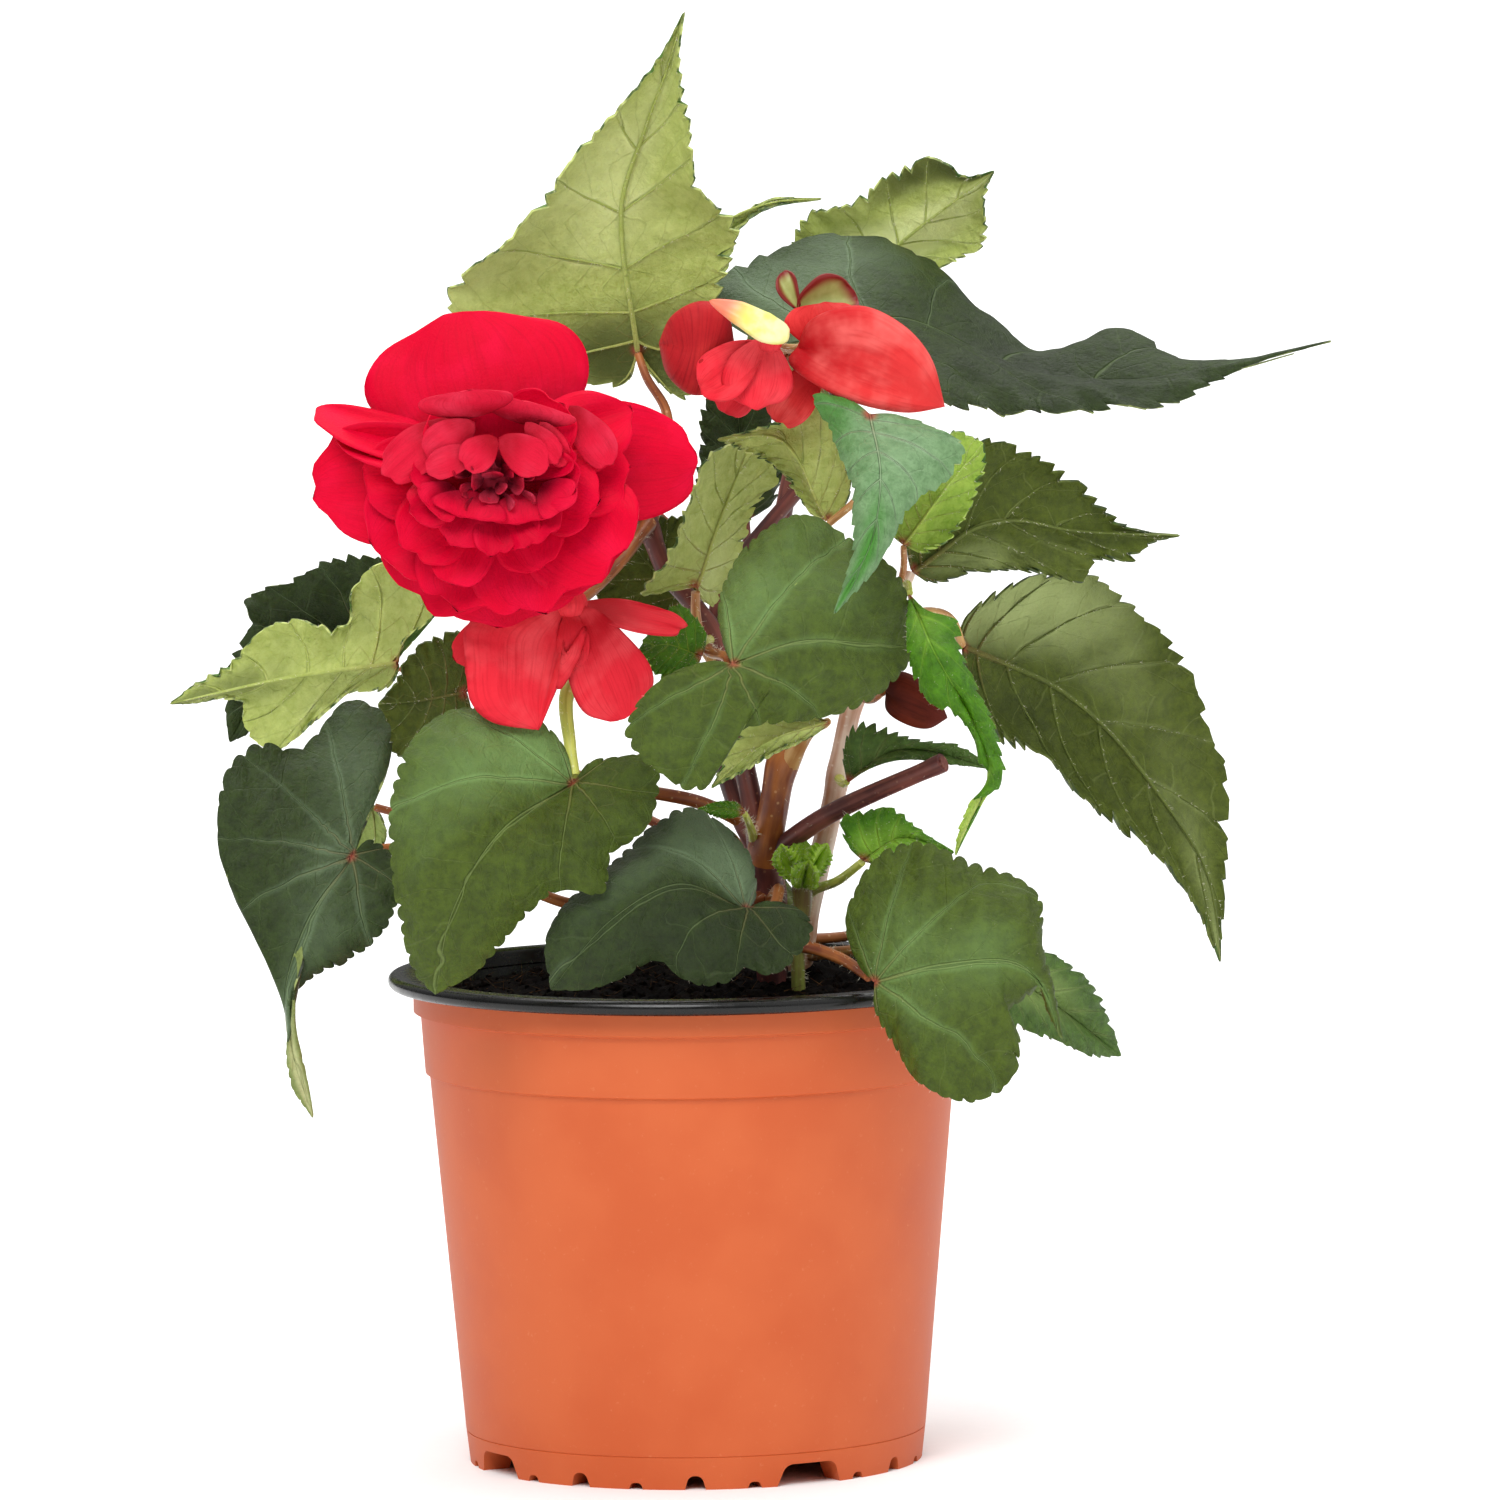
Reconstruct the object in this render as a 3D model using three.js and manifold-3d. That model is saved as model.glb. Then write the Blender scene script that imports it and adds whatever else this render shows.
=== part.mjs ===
// A red double begonia in a two-colour plastic nursery pot.
// Millimetres, +Z up. The origin is the middle of the pot's base; the front of the plant looks along -Y.

import * as THREE from 'three';
import { mergeVertices } from 'three/addons/utils/BufferGeometryUtils.js';
import Module from 'manifold-3d';

const wasm = await Module();
wasm.setup();

// Driving dimensions

const POT = {
  height: 105.5,
  rimRadius: 65,
  wallTop: 102.3,
  bandRadius: 59.6,
  shoulderHeight: 97.2,
  shoulderRadius: 58.1,
  grooveHeight: 84,
  grooveRadius: 56.3,
  footHeight: 6.8,
  footRadius: 49.4,
  baseRadius: 48.6,
  footRing: 6.2,
  wall: 1,
  padRadius: 12,
  floorUnderside: 4.8,
  floorTop: 6,
  drainRadius: 3,
  drainCircle: 30,
  drains: 6,
  segments: 36,
};
const LIP = { inner: 59, skirtThickness: 0.8, skirtBottom: 98.8, clearance: 0.3 };
const ARCH = { height: 4.7, halfBottom: 9.5, halfTop: 7 };
const NOTCH = { height: 3, halfBottom: 3, halfTop: 1.6 };
const NICK = { height: 1.4, halfBottom: 2.3, halfTop: 1.2 };
const SOIL = { level: 100.5, clearance: 0.3, middle: 102.5, lump: 0.9, segments: 24 };
const MOUND = { x: 28, y: 20, height: 4.5, radius: 15 };
const HOLE_CLEARANCE = 0.8;
const BLADE = { thickness: 0.7, tooth: 1.1 };
const PETAL = { thickness: 0.7 };

const COLOUR = {
  terracotta: 0xd97149,
  black: 0x15110f,
  soil: 0x2b1e16,
  darkLeaf: 0x34502f,
  leaf: 0x4b7134,
  greyLeaf: 0x7c9c84,
  paleLeaf: 0xa6b463,
  oliveLeaf: 0x6d7c38,
  youngLeaf: 0x7fae38,
  stem: 0x4d2824,
  paleStem: 0xb58f74,
  youngStem: 0x8f9a4c,
  petal: 0xd4002a,
  bud: 0xb81420,
  darkBud: 0x5c1714,
  ovary: 0xd9d873,
  bract: 0xb4553f,
};

const FRONT = [0, -1, 0.3];

// Solids

function toSolid(geometry) {
  const bare = geometry.index ? geometry.toNonIndexed() : geometry.clone();
  bare.deleteAttribute('normal');
  bare.deleteAttribute('uv');
  const merged = mergeVertices(bare, 1e-4);
  const source = merged.index.array;
  const triVerts = [];
  for (let i = 0; i < source.length; i += 3) {
    const [a, b, c] = [source[i], source[i + 1], source[i + 2]];
    if (a !== b && b !== c && c !== a) triVerts.push(a, b, c);
  }
  return new wasm.Manifold(new wasm.Mesh({
    numProp: 3,
    vertProperties: new Float32Array(merged.attributes.position.array),
    triVerts: new Uint32Array(triVerts),
  }));
}

function toGeometry(solid) {
  const { vertProperties, triVerts } = solid.getMesh();
  const geometry = new THREE.BufferGeometry();
  geometry.setAttribute('position', new THREE.BufferAttribute(vertProperties, 3));
  geometry.setIndex(new THREE.BufferAttribute(triVerts, 1));
  geometry.computeVertexNormals();
  return geometry;
}

const fuse = (solids) => solids.reduce((whole, next) => whole.add(next));

function closedGeometry(points, triangles) {
  const geometry = new THREE.BufferGeometry().setFromPoints(points);
  geometry.setIndex(triangles);
  geometry.computeVertexNormals();
  return geometry;
}

function turned(profile, segments) {
  const points = profile.map(([radius, height]) => new THREE.Vector2(radius, height));
  return new THREE.LatheGeometry(points, segments).rotateX(Math.PI / 2);
}

const vector = ([x, y, z]) => new THREE.Vector3(x, y, z);

const curveThrough = (points) => new THREE.CatmullRomCurve3(points.map(vector), false, 'centripetal');

// A leaf or petal: rows of points run from its midrib out to both edges, and the sheet gets its thickness
// along its own normals. Edges and midrib are smooth curves from the foot of the blade to its tip.

function sheetPoints(shape) {
  const { at, mids = [], tip, left, right, faces, hold, steps, rings, dome, wave, waves, tooth } = shape;
  const rib = curveThrough([at, ...mids, tip]);
  const edges = [left, right].map((edge) => curveThrough([at, ...edge, tip]));
  const up = outlineNormal(edges, faces);
  const points = [vector(at)];
  const rows = [Array(2 * rings + 1).fill(0)];
  for (let step = 1; step < steps; step += 1) {
    const along = step / steps;
    const swell = Math.sin(Math.PI * along);
    const onRib = rib.getPointAt(along ** hold);
    const row = [];
    for (let ring = -rings; ring <= rings; ring += 1) {
      const out = Math.abs(ring) / rings;
      const edge = edges[ring < 0 ? 0 : 1].getPointAt(along);
      const reach = edge.distanceTo(onRib);
      const cut = out === 1 && step % 2 === 1 ? Math.min(tooth, reach / 4) : 0;
      const point = onRib.clone().lerp(edge, out * (1 - cut / Math.max(reach, 1e-3)));
      const phase = 2 * Math.PI * waves * along + (ring < 0 ? 0 : 2);
      const rise = dome * (1 - out) * (4 * out - 0.4) + wave * out * out * Math.sin(phase);
      point.addScaledVector(up, rise * swell);
      row.push(points.length);
      points.push(point);
    }
    rows.push(row);
  }
  rows.push(Array(2 * rings + 1).fill(points.length));
  points.push(vector(tip));
  return { points, rows };
}

function outlineNormal(edges, faces) {
  const loop = [...edges[0].getSpacedPoints(12), ...edges[1].getSpacedPoints(12).reverse()];
  const area = new THREE.Vector3();
  loop.forEach((point, i) => area.add(point.clone().cross(loop[(i + 1) % loop.length])));
  area.normalize();
  return area.dot(vector(faces)) < 0 ? area.negate() : area;
}

function sheetTriangles(rows) {
  const triangles = [];
  for (let i = 0; i + 1 < rows.length; i += 1) {
    for (let c = 0; c + 1 < rows[i].length; c += 1) {
      const [a, b, d, e] = [rows[i][c], rows[i + 1][c], rows[i + 1][c + 1], rows[i][c + 1]];
      if (a !== e) triangles.push([a, b, e]);
      if (b !== d) triangles.push([b, d, e]);
    }
  }
  return triangles;
}

function faceArea(points, [a, b, c]) {
  const ab = points[b].clone().sub(points[a]);
  return ab.cross(points[c].clone().sub(points[a]));
}

function thickSheet({ points, rows }, { faces, thickness, plump }) {
  let triangles = sheetTriangles(rows);
  const total = triangles.reduce((sum, t) => sum.add(faceArea(points, t)), new THREE.Vector3());
  if (total.dot(vector(faces)) < 0) triangles = triangles.map(([a, b, c]) => [a, c, b]);

  const normals = points.map(() => new THREE.Vector3());
  triangles.forEach((t) => t.forEach((corner) => normals[corner].add(faceArea(points, t))));
  normals.forEach((normal) => normal.normalize());

  const half = points.map(() => thickness / 2);
  rows.slice(1, -1).forEach((row, i) => row.forEach((corner, c) => {
    const out = Math.abs(2 * c / (row.length - 1) - 1);
    const swell = Math.sin(Math.PI * (i + 1) / (rows.length - 1));
    half[corner] += plump * Math.sqrt((1 - out * out) * swell);
  }));
  const upper = points.map((point, i) => point.clone().addScaledVector(normals[i], half[i]));
  const under = points.map((point, i) => point.clone().addScaledVector(normals[i], -half[i]));
  return closedGeometry([...upper, ...under], thickened(triangles, points.length));
}

function blade(options) {
  const shape = {
    faces: FRONT, hold: 1.8, steps: 14, rings: 2, dome: 2, wave: 0, waves: 3, tooth: 0, plump: 0,
    thickness: BLADE.thickness, ...options,
  };
  return thickSheet(sheetPoints(shape), shape);
}

// A rounded petal. Its turn is its direction seen from the front, in degrees clockwise from straight up.
// It leans and curls towards the front, and tilt turns its width that way. The larger blunt is, the nearer
// to its tip it is broadest.

function petal(options) {
  const shape = {
    lean: 0, curl: 0, cup: 0, bend: 0, tilt: 0, blunt: 4, steps: 5, rings: 1, faces: FRONT, plump: 0,
    thickness: PETAL.thickness, ...options,
  };
  const { root, turn, reach, width, lean, curl, cup, bend, tilt, blunt, steps, rings } = shape;
  const [angle, roll] = [turn, tilt].map(THREE.MathUtils.degToRad);
  const front = new THREE.Vector3(0, -1, 0);
  const along = new THREE.Vector3(Math.sin(angle), 0, Math.cos(angle));
  const across = new THREE.Vector3(Math.cos(angle), 0, -Math.sin(angle)).multiplyScalar(Math.cos(roll));
  across.addScaledVector(front, Math.sin(roll));
  const points = [vector(root)];
  const rows = [Array(2 * rings + 1).fill(0)];
  for (let step = 1; step <= steps; step += 1) {
    const s = 1 - (1 - step / steps) ** 1.6;
    const breadth = petalBreadth(s, blunt);
    const row = [];
    for (let ring = -rings; ring <= rings; ring += 1) {
      const out = ring / rings;
      row.push(points.length);
      points.push(vector(root).addScaledVector(along, reach * s)
        .addScaledVector(across, out * breadth * width / 2 + bend * s * s)
        .addScaledVector(front, lean * s + curl * s * s + cup * out * out * breadth));
    }
    rows.push(row);
  }
  const tip = points[points.length - rings - 1];
  points.length -= 2 * rings + 1;
  rows[steps].fill(points.push(tip) - 1);
  return thickSheet({ points, rows }, shape);
}

// From 0 at the foot to 1 where the petal is broadest, and back to 0 at the tip.

function petalBreadth(s, blunt) {
  const rise = 0.6;
  const share = rise / (rise + blunt / 2);
  const most = share ** (rise / blunt) * Math.sqrt(1 - share);
  return (s ** rise * Math.sqrt(1 - s ** blunt)) / most;
}

// Both faces of a sheet are split into triangles alike, and its open edges are joined by a narrow rim.

function thickened(triangles, count) {
  const directed = new Set(triangles.flatMap(([a, b, c]) => [`${a},${b}`, `${b},${c}`, `${c},${a}`]));
  const faces = [];
  for (const [a, b, c] of triangles) {
    faces.push(a, b, c, c + count, b + count, a + count);
    for (const [from, to] of [[a, b], [b, c], [c, a]]) {
      if (!directed.has(`${to},${from}`)) {
        faces.push(to, from, from + count, to, from + count, to + count);
      }
    }
  }
  return faces;
}

// A stem or stalk along a smooth curve. Its radius runs evenly through the radii given.

function tube(path, radii, sides = 6) {
  const curve = curveThrough(path);
  const steps = Math.max(3, Math.ceil(1.2 * (path.length - 1)));
  const corner = (side) => (2 * Math.PI * side) / sides;
  const round = new THREE.Shape(Array.from({ length: sides }, (_, side) => (
    new THREE.Vector2(Math.cos(corner(side)), Math.sin(corner(side))))));
  const body = new THREE.ExtrudeGeometry(round, { steps, extrudePath: curve, bevelEnabled: false });
  const centres = curve.getSpacedPoints(steps);
  const place = body.attributes.position;
  const point = new THREE.Vector3();
  for (let i = 0; i < place.count; i += 1) {
    point.fromBufferAttribute(place, i);
    const far = centres.map((centre) => centre.distanceTo(point));
    const ring = far.indexOf(Math.min(...far));
    point.lerpVectors(centres[ring], point, radiusAt(radii, ring / steps));
    place.setXYZ(i, point.x, point.y, point.z);
  }
  return body;
}

function radiusAt(radii, along) {
  const reached = along * (radii.length - 1);
  const before = Math.min(Math.floor(reached), radii.length - 2);
  return THREE.MathUtils.lerp(radii[before], radii[before + 1], reached - before);
}

// Pot

function footCut({ height, halfBottom, halfTop }, degrees) {
  const bottom = POT.baseRadius * THREE.MathUtils.degToRad(halfBottom);
  const top = POT.baseRadius * THREE.MathUtils.degToRad(halfTop);
  const depth = POT.footRing + 4;
  const shape = new THREE.Shape([
    new THREE.Vector2(-bottom, -1),
    new THREE.Vector2(bottom, -1),
    new THREE.Vector2(top, height),
    new THREE.Vector2(-top, height),
  ]);
  const cut = new THREE.ExtrudeGeometry(shape, { depth, bevelEnabled: false, steps: 1 });
  cut.rotateX(Math.PI / 2);
  cut.translate(0, -(POT.baseRadius - POT.footRing - 1), 0);
  return toSolid(cut.rotateZ(THREE.MathUtils.degToRad(degrees)));
}

function footCuts() {
  const cuts = [];
  for (let degrees = -180; degrees < 180; degrees += 15) {
    const onArch = (degrees + 60 + 360) % 90 === 0;
    const besideArch = (degrees + 60 + 360) % 90 === 15 || (degrees + 60 + 360) % 90 === 75;
    if (onArch) cuts.push(footCut(ARCH, degrees));
    else if (degrees % 30 === 0) cuts.push(footCut(NOTCH, degrees));
    else if (!besideArch) cuts.push(footCut(NICK, degrees));
  }
  return cuts;
}

function drainCuts() {
  const cuts = [];
  for (let i = 0; i < POT.drains; i += 1) {
    const hole = new THREE.CylinderGeometry(POT.drainRadius, POT.drainRadius, 10, 10);
    hole.rotateX(Math.PI / 2).translate(POT.drainCircle, 0, POT.floorTop);
    cuts.push(toSolid(hole.rotateZ((2 * Math.PI * (i + 0.5)) / POT.drains)));
  }
  return cuts;
}

function innerRadiusAt(height) {
  const corners = [
    [POT.floorTop + 1.4, POT.footRadius - POT.wall],
    [POT.grooveHeight - 0.4, POT.grooveRadius - POT.wall],
    [POT.shoulderHeight - 0.4, POT.shoulderRadius - POT.wall],
    [POT.shoulderHeight + 0.9, POT.bandRadius - POT.wall],
    [POT.wallTop, POT.bandRadius - POT.wall],
  ];
  const above = corners.findIndex(([z]) => z >= height);
  if (above <= 0) return corners[0][1];
  const [[z0, r0], [z1, r1]] = [corners[above - 1], corners[above]];
  return THREE.MathUtils.mapLinear(height, z0, z1, r0, r1);
}

function potWall() {
  const { grooveHeight: groove, shoulderHeight: shoulder, footHeight: foot } = POT;
  const inner = [POT.wallTop, shoulder + 0.9, shoulder - 0.4, groove - 0.4, POT.floorTop + 1.4];
  const profile = [
    [0, 0],
    [POT.padRadius, 0],
    [POT.padRadius + 1.5, POT.floorUnderside],
    [POT.baseRadius - POT.footRing - 0.6, POT.floorUnderside],
    [POT.baseRadius - POT.footRing, 0],
    [POT.baseRadius, 0],
    [POT.footRadius, foot],
    [POT.grooveRadius, groove - 0.2],
    [POT.grooveRadius + 0.9, groove + 0.2],
    [POT.shoulderRadius, shoulder - 0.2],
    [POT.bandRadius, shoulder + 0.2],
    [POT.bandRadius, POT.wallTop],
    ...inner.map((height) => [innerRadiusAt(height), height]),
    [POT.footRadius - 2.4, POT.floorTop],
    [0, POT.floorTop],
  ];
  const wall = toSolid(turned(profile, POT.segments));
  return toGeometry(wall.subtract(fuse([...footCuts(), ...drainCuts()])));
}

function potRim() {
  const skirtOuter = POT.bandRadius - POT.wall - LIP.clearance;
  const skirtInner = skirtOuter - LIP.skirtThickness;
  const edge = POT.rimRadius;
  const profile = [
    [skirtOuter, LIP.skirtBottom],
    [skirtOuter, POT.wallTop],
    [edge - 0.8, POT.wallTop],
    [edge, POT.wallTop + 0.9],
    [edge, POT.height - 0.9],
    [edge - 0.8, POT.height],
    [LIP.inner + 0.8, POT.height],
    [LIP.inner, POT.height - 0.8],
    [skirtInner, LIP.skirtBottom],
    [skirtOuter, LIP.skirtBottom],
  ];
  return turned(profile, POT.segments);
}

// Soil

function soilLift(x, y) {
  const radius = Math.hypot(x, y);
  const fromMound = Math.hypot(x - MOUND.x, y - MOUND.y) / MOUND.radius;
  const mound = MOUND.height * Math.exp(-fromMound * fromMound);
  const crumb = SOIL.lump * Math.sin(0.43 * x + 1.7 * Math.sin(0.31 * y)) * Math.cos(0.37 * y + 0.21 * x);
  const fade = THREE.MathUtils.clamp((55 - radius) / 8, 0, 1);
  return fade * (crumb + mound + (SOIL.middle - SOIL.level) * (1 - radius / 56));
}

function soilBody(stems) {
  const skirtInner = POT.bandRadius - POT.wall - LIP.clearance - LIP.skirtThickness;
  const edgeRadius = skirtInner - SOIL.clearance - 0.2;
  const below = [POT.floorTop + 1.4, POT.grooveHeight - 0.4, POT.shoulderHeight - 0.4];
  const profile = [
    [0, POT.floorTop],
    [POT.footRadius - 2.9, POT.floorTop],
    ...below.map((height) => [innerRadiusAt(height) - SOIL.clearance, height]),
    [edgeRadius, SOIL.level - 0.5],
    [edgeRadius - 0.8, SOIL.level],
    ...[46, 35, 24, 12, 0].map((radius) => [radius, SOIL.level]),
  ];
  const body = turned(profile, SOIL.segments);
  const place = body.attributes.position;
  for (let i = 0; i < place.count; i += 1) {
    const onTop = place.getZ(i) > SOIL.level - 0.1;
    if (onTop) place.setZ(i, place.getZ(i) + soilLift(place.getX(i), place.getY(i)));
  }
  const holes = stems.map(({ path, radius }) => {
    const [[x, y, z]] = path;
    const wide = radius + HOLE_CLEARANCE;
    return toSolid(tube([[x, y, z - 1], ...path], [wide, wide], 8));
  });
  return toGeometry(toSolid(body).subtract(fuse(holes)));
}

// Stems. Every path is chosen by hand and starts inside the stem that it grows from.

const MAIN_ROOT = { path: [[18, 4, 90], [17.6, 3.6, 100], [17, 3, 112]], radius: 3.4 };
const PALE_ROOT = { path: [[23, 13, 90], [23.2, 12, 100], [24, 10, 110]], radius: 2.6 };
const BACK_ROOT = { path: [[11, 26, 90], [12, 27, 101], [13, 28, 112]], radius: 3 };
const SHOOT_ROOT = { path: [[23, -6, 92], [23, -8, 102], [23, -9, 111]], radius: 1.7 };

const MAIN_STEM = [
  [[...MAIN_ROOT.path, [17, 1, 121], [16, -2, 132]], [3.4, 3.4, 3.3, 3.2]],
  [[[16, -2, 129], [12, -6, 149], [6, -7, 176], [1, -7, 185], [-4, -7, 191], [-10, -10, 206], [-18, -30, 213],
    [-26, -46, 215], [-38, -54.3, 216.8]], [2.6, 2.3, 2, 1.7]],
  [[[17, 0, 127], [11, 0, 139], [8, 1, 148], [7, 2, 163], [7, 3, 185], [14, 3, 196], [24, 2, 208], [31, -2, 217],
    [33, -8, 227], [30, -16, 234], [26, -28, 240]], [2.4, 2, 1.7, 1.5]],
  [[[16, -4, 129], [18, -8, 140], [20, -10, 150], [22, -10, 154]], [3.4, 3.3]],
  [[[21, -10, 150], [25, -18, 157], [29, -36, 161], [29.5, -42.5, 162]], [2.4, 1.2, 0.9]],
  [[[17, -4, 130], [30, -16, 140], [54, -30, 152]], [2.4, 1.9]],
  [[[-8, -8.4, 201], [-4, 2, 214], [-4, 7, 225], [-8, 7.6, 232], [-9.9, 9.2, 237.2]], [1.6, 1.3, 0.9]],
  [[[6, -7, 172], [3, -12, 177], [2, -14, 183], [2, -15.7, 187.7]], [1.4, 1]],
  [[[4, -6, 179], [2, 0, 181], [1, 5.2, 183.5]], [1.1, 0.8]],
  [[[13, 3, 194], [13, 9, 198], [13, 13.4, 200.4]], [1.2, 0.8]],
  [[[28, 0, 211], [37, -12, 213], [38, -33, 211], [35.6, -39.4, 208], [30.5, -35.1, 203.4]], [1.2, 0.8]],
  [[[33, -6, 223], [36, -18, 222], [38, -34, 220], [39, -46, 224.6], [39, -50, 226.6]], [1.2, 0.9]],
  [[[4, -7, 176], [5, -30, 176], [8, -54, 177], [8.8, -63.4, 177]], [1.4, 1]],
  [[[5, -7, 177], [4, -20, 177], [3, -28.5, 176]], [1, 0.7]],
  [[[12, 0, 137], [2, -6, 142], [-6, -8, 144], [-19, -8, 146], [-40, -4, 157], [-55, 0, 167], [-61.4, 0, 171.3]],
    [1.6, 1.4, 1.1]],
  [[[-32, -6, 152], [-41, -14, 161], [-45.5, -20, 166]], [1.1, 0.8]],
  [[[17, 0, 121], [2, -14, 119], [-11, -24, 120], [-26, -30, 123], [-34, -31, 126], [-53, -30, 132],
    [-61, -29, 135], [-67, -32, 135], [-70.3, -36.6, 134.3]], [1.7, 1.5, 1.2, 0.9]],
  [[[8, -7, 164], [-6, -20, 173], [-18, -34, 174], [-25, -43, 169], [-24.6, -46.6, 158], [-23.6, -50.2, 151.8]],
    [1.6, 1.6, 1.9, 1.2]],
  [[[17, 1, 119], [19, -16, 124], [17, -36, 121], [12.3, -51.1, 122.1]], [1.6, 1]],
  [[[17, 2, 108], [15, -12, 111], [24, -28, 113], [32, -40, 111.5], [37.6, -52, 109]], [1.7, 1.5, 1.2]],
  [[[14, -3, 133], [13, -18, 138], [12, -29, 141.4]], [1.1, 0.7]],
  [[[31, -2, 217], [29, 2, 227], [27.5, 3, 235], [28.3, 2.6, 240]], [1.5, 1.1]],
  [[[-8, -9, 202], [-14, -24, 195], [-20, -42, 190], [-22.3, -47.2, 188.8]], [1.7, 1.4]],
  [[[26, -27, 239.6], [19, -34, 238], [11.4, -37.5, 239.8]], [1.2, 0.9]],
  [[[26, -26, 239.5], [21, -36, 240.5], [18.6, -44.6, 242]], [1.2, 1]],
  [[[26, -26, 239.5], [26.4, -33, 240.6], [26, -37, 241.2]], [1.3, 1.1]],
];

const PALE_STEM = [
  [[...PALE_ROOT.path, [27, 7, 124], [31, -2, 142], [33, -6, 153], [35, -8, 162], [39, -14, 173],
    [44, -24, 184], [47.6, -20.2, 191.5]], [2.6, 2.6, 2.3, 1.2]],
  [[[43.4, -22.6, 182], [46, -31, 193], [46, -37.5, 198.3]], [1, 0.7]],
  [[[42, -22, 181], [50, -20, 183], [56, -9, 181], [58.8, 1.3, 174.6]], [1.4, 1]],
  [[[43, -21.6, 180.4], [46.4, -34, 190], [47, -49.3, 189.5]], [1, 0.8]],
  [[[24, 10, 112], [25, -3, 121], [32, -26, 127], [36.6, -35.3, 131.5]], [1.4, 0.9]],
  [[[23.4, 11, 107], [33, 4, 108.4], [51, -8, 111], [62.3, -21.5, 109.3]], [1.5, 1]],
  [[[32, -5, 147], [33, -11, 146], [33.8, -15.2, 146.7]], [1.1, 0.7]],
  [[[36, -9, 165], [39, -24, 165], [41.4, -34.4, 167.4]], [1.1, 0.8]],
];

const BACK_STEM = [
  [[...BACK_ROOT.path, [15, 30, 128], [12, 30, 144], [11, 32, 156], [14, 34, 171], [19, 34, 191],
    [25, 38, 219], [32, 42, 236], [35.8, 45.4, 245.4]], [3, 2.8, 2.2, 1.2]],
  [[[14, 34, 171], [3, 36, 191], [-10, 39, 204], [-13.3, 40, 207.4]], [1.5, 1]],
  [[[19, 34, 192], [22, 37, 191], [24.2, 39.3, 190.3]], [1.4, 1]],
  [[[17, 34, 182], [38, 44, 181], [55, 50, 172], [67, 52, 169.2]], [1.5, 1]],
  [[[15, 30, 125], [2, 37, 129], [-15, 42, 137], [-27.6, 44.6, 144]], [1.5, 0.9]],
  [[[15, 30, 125], [13, 42, 127], [11.2, 49, 128]], [1.5, 1]],
  [[[13, 28, 108], [24, 34, 108], [35, 38, 108.5], [43, 40.4, 111], [50.6, 42.9, 114.4]], [1.5, 0.9]],
  [[[13, 28, 112], [-9, 32, 121], [-28, 31, 125], [-48, 28, 130], [-62, 24, 137], [-68, 22.8, 139]], [1.5, 0.9]],
  [[[32, 42, 235], [25, 49, 241], [21.6, 51.6, 245.4]], [1.3, 0.9]],
  [[[28, 40, 228], [16, 41, 234], [3, 38.6, 239.4], [-1, 39.2, 243.2]], [1.3, 0.8]],
  [[[11, 31, 152], [-19, 38, 163], [-36, 38, 178], [-54, 37, 183], [-67, 34.4, 177.4]], [1.5, 0.9]],
];

// A thin stalk has fewer sides than a stem.

const branches = (list) => fuse(list.map(([path, radii]) => (
  toSolid(tube(path, radii, radii[0] > 1.75 ? 5 : 4)))));

function shootYoung() {
  const stalk = toSolid(tube([...SHOOT_ROOT.path, [24, -12, 120], [24, -14, 127]], [1.7, 1.5, 2.4], 6));
  const tufts = [
    { root: [24, -14.5, 125], turn: -22, reach: 10, width: 6, lean: 3 },
    { root: [24, -14, 125], turn: 28, reach: 9.5, width: 6, lean: -2 },
    { root: [24, -15, 125], turn: 4, reach: 8.5, width: 5, lean: 9 },
  ];
  const leaves = tufts.map((tuft) => toSolid(petal({ ...tuft, steps: 4 })));
  return toGeometry(fuse([stalk, ...leaves]));
}

// Leaves. Each gives the foot of the blade, its tip, the way of its midrib, the points that its two edges pass
// through, and the side that its upper face looks to.

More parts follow.
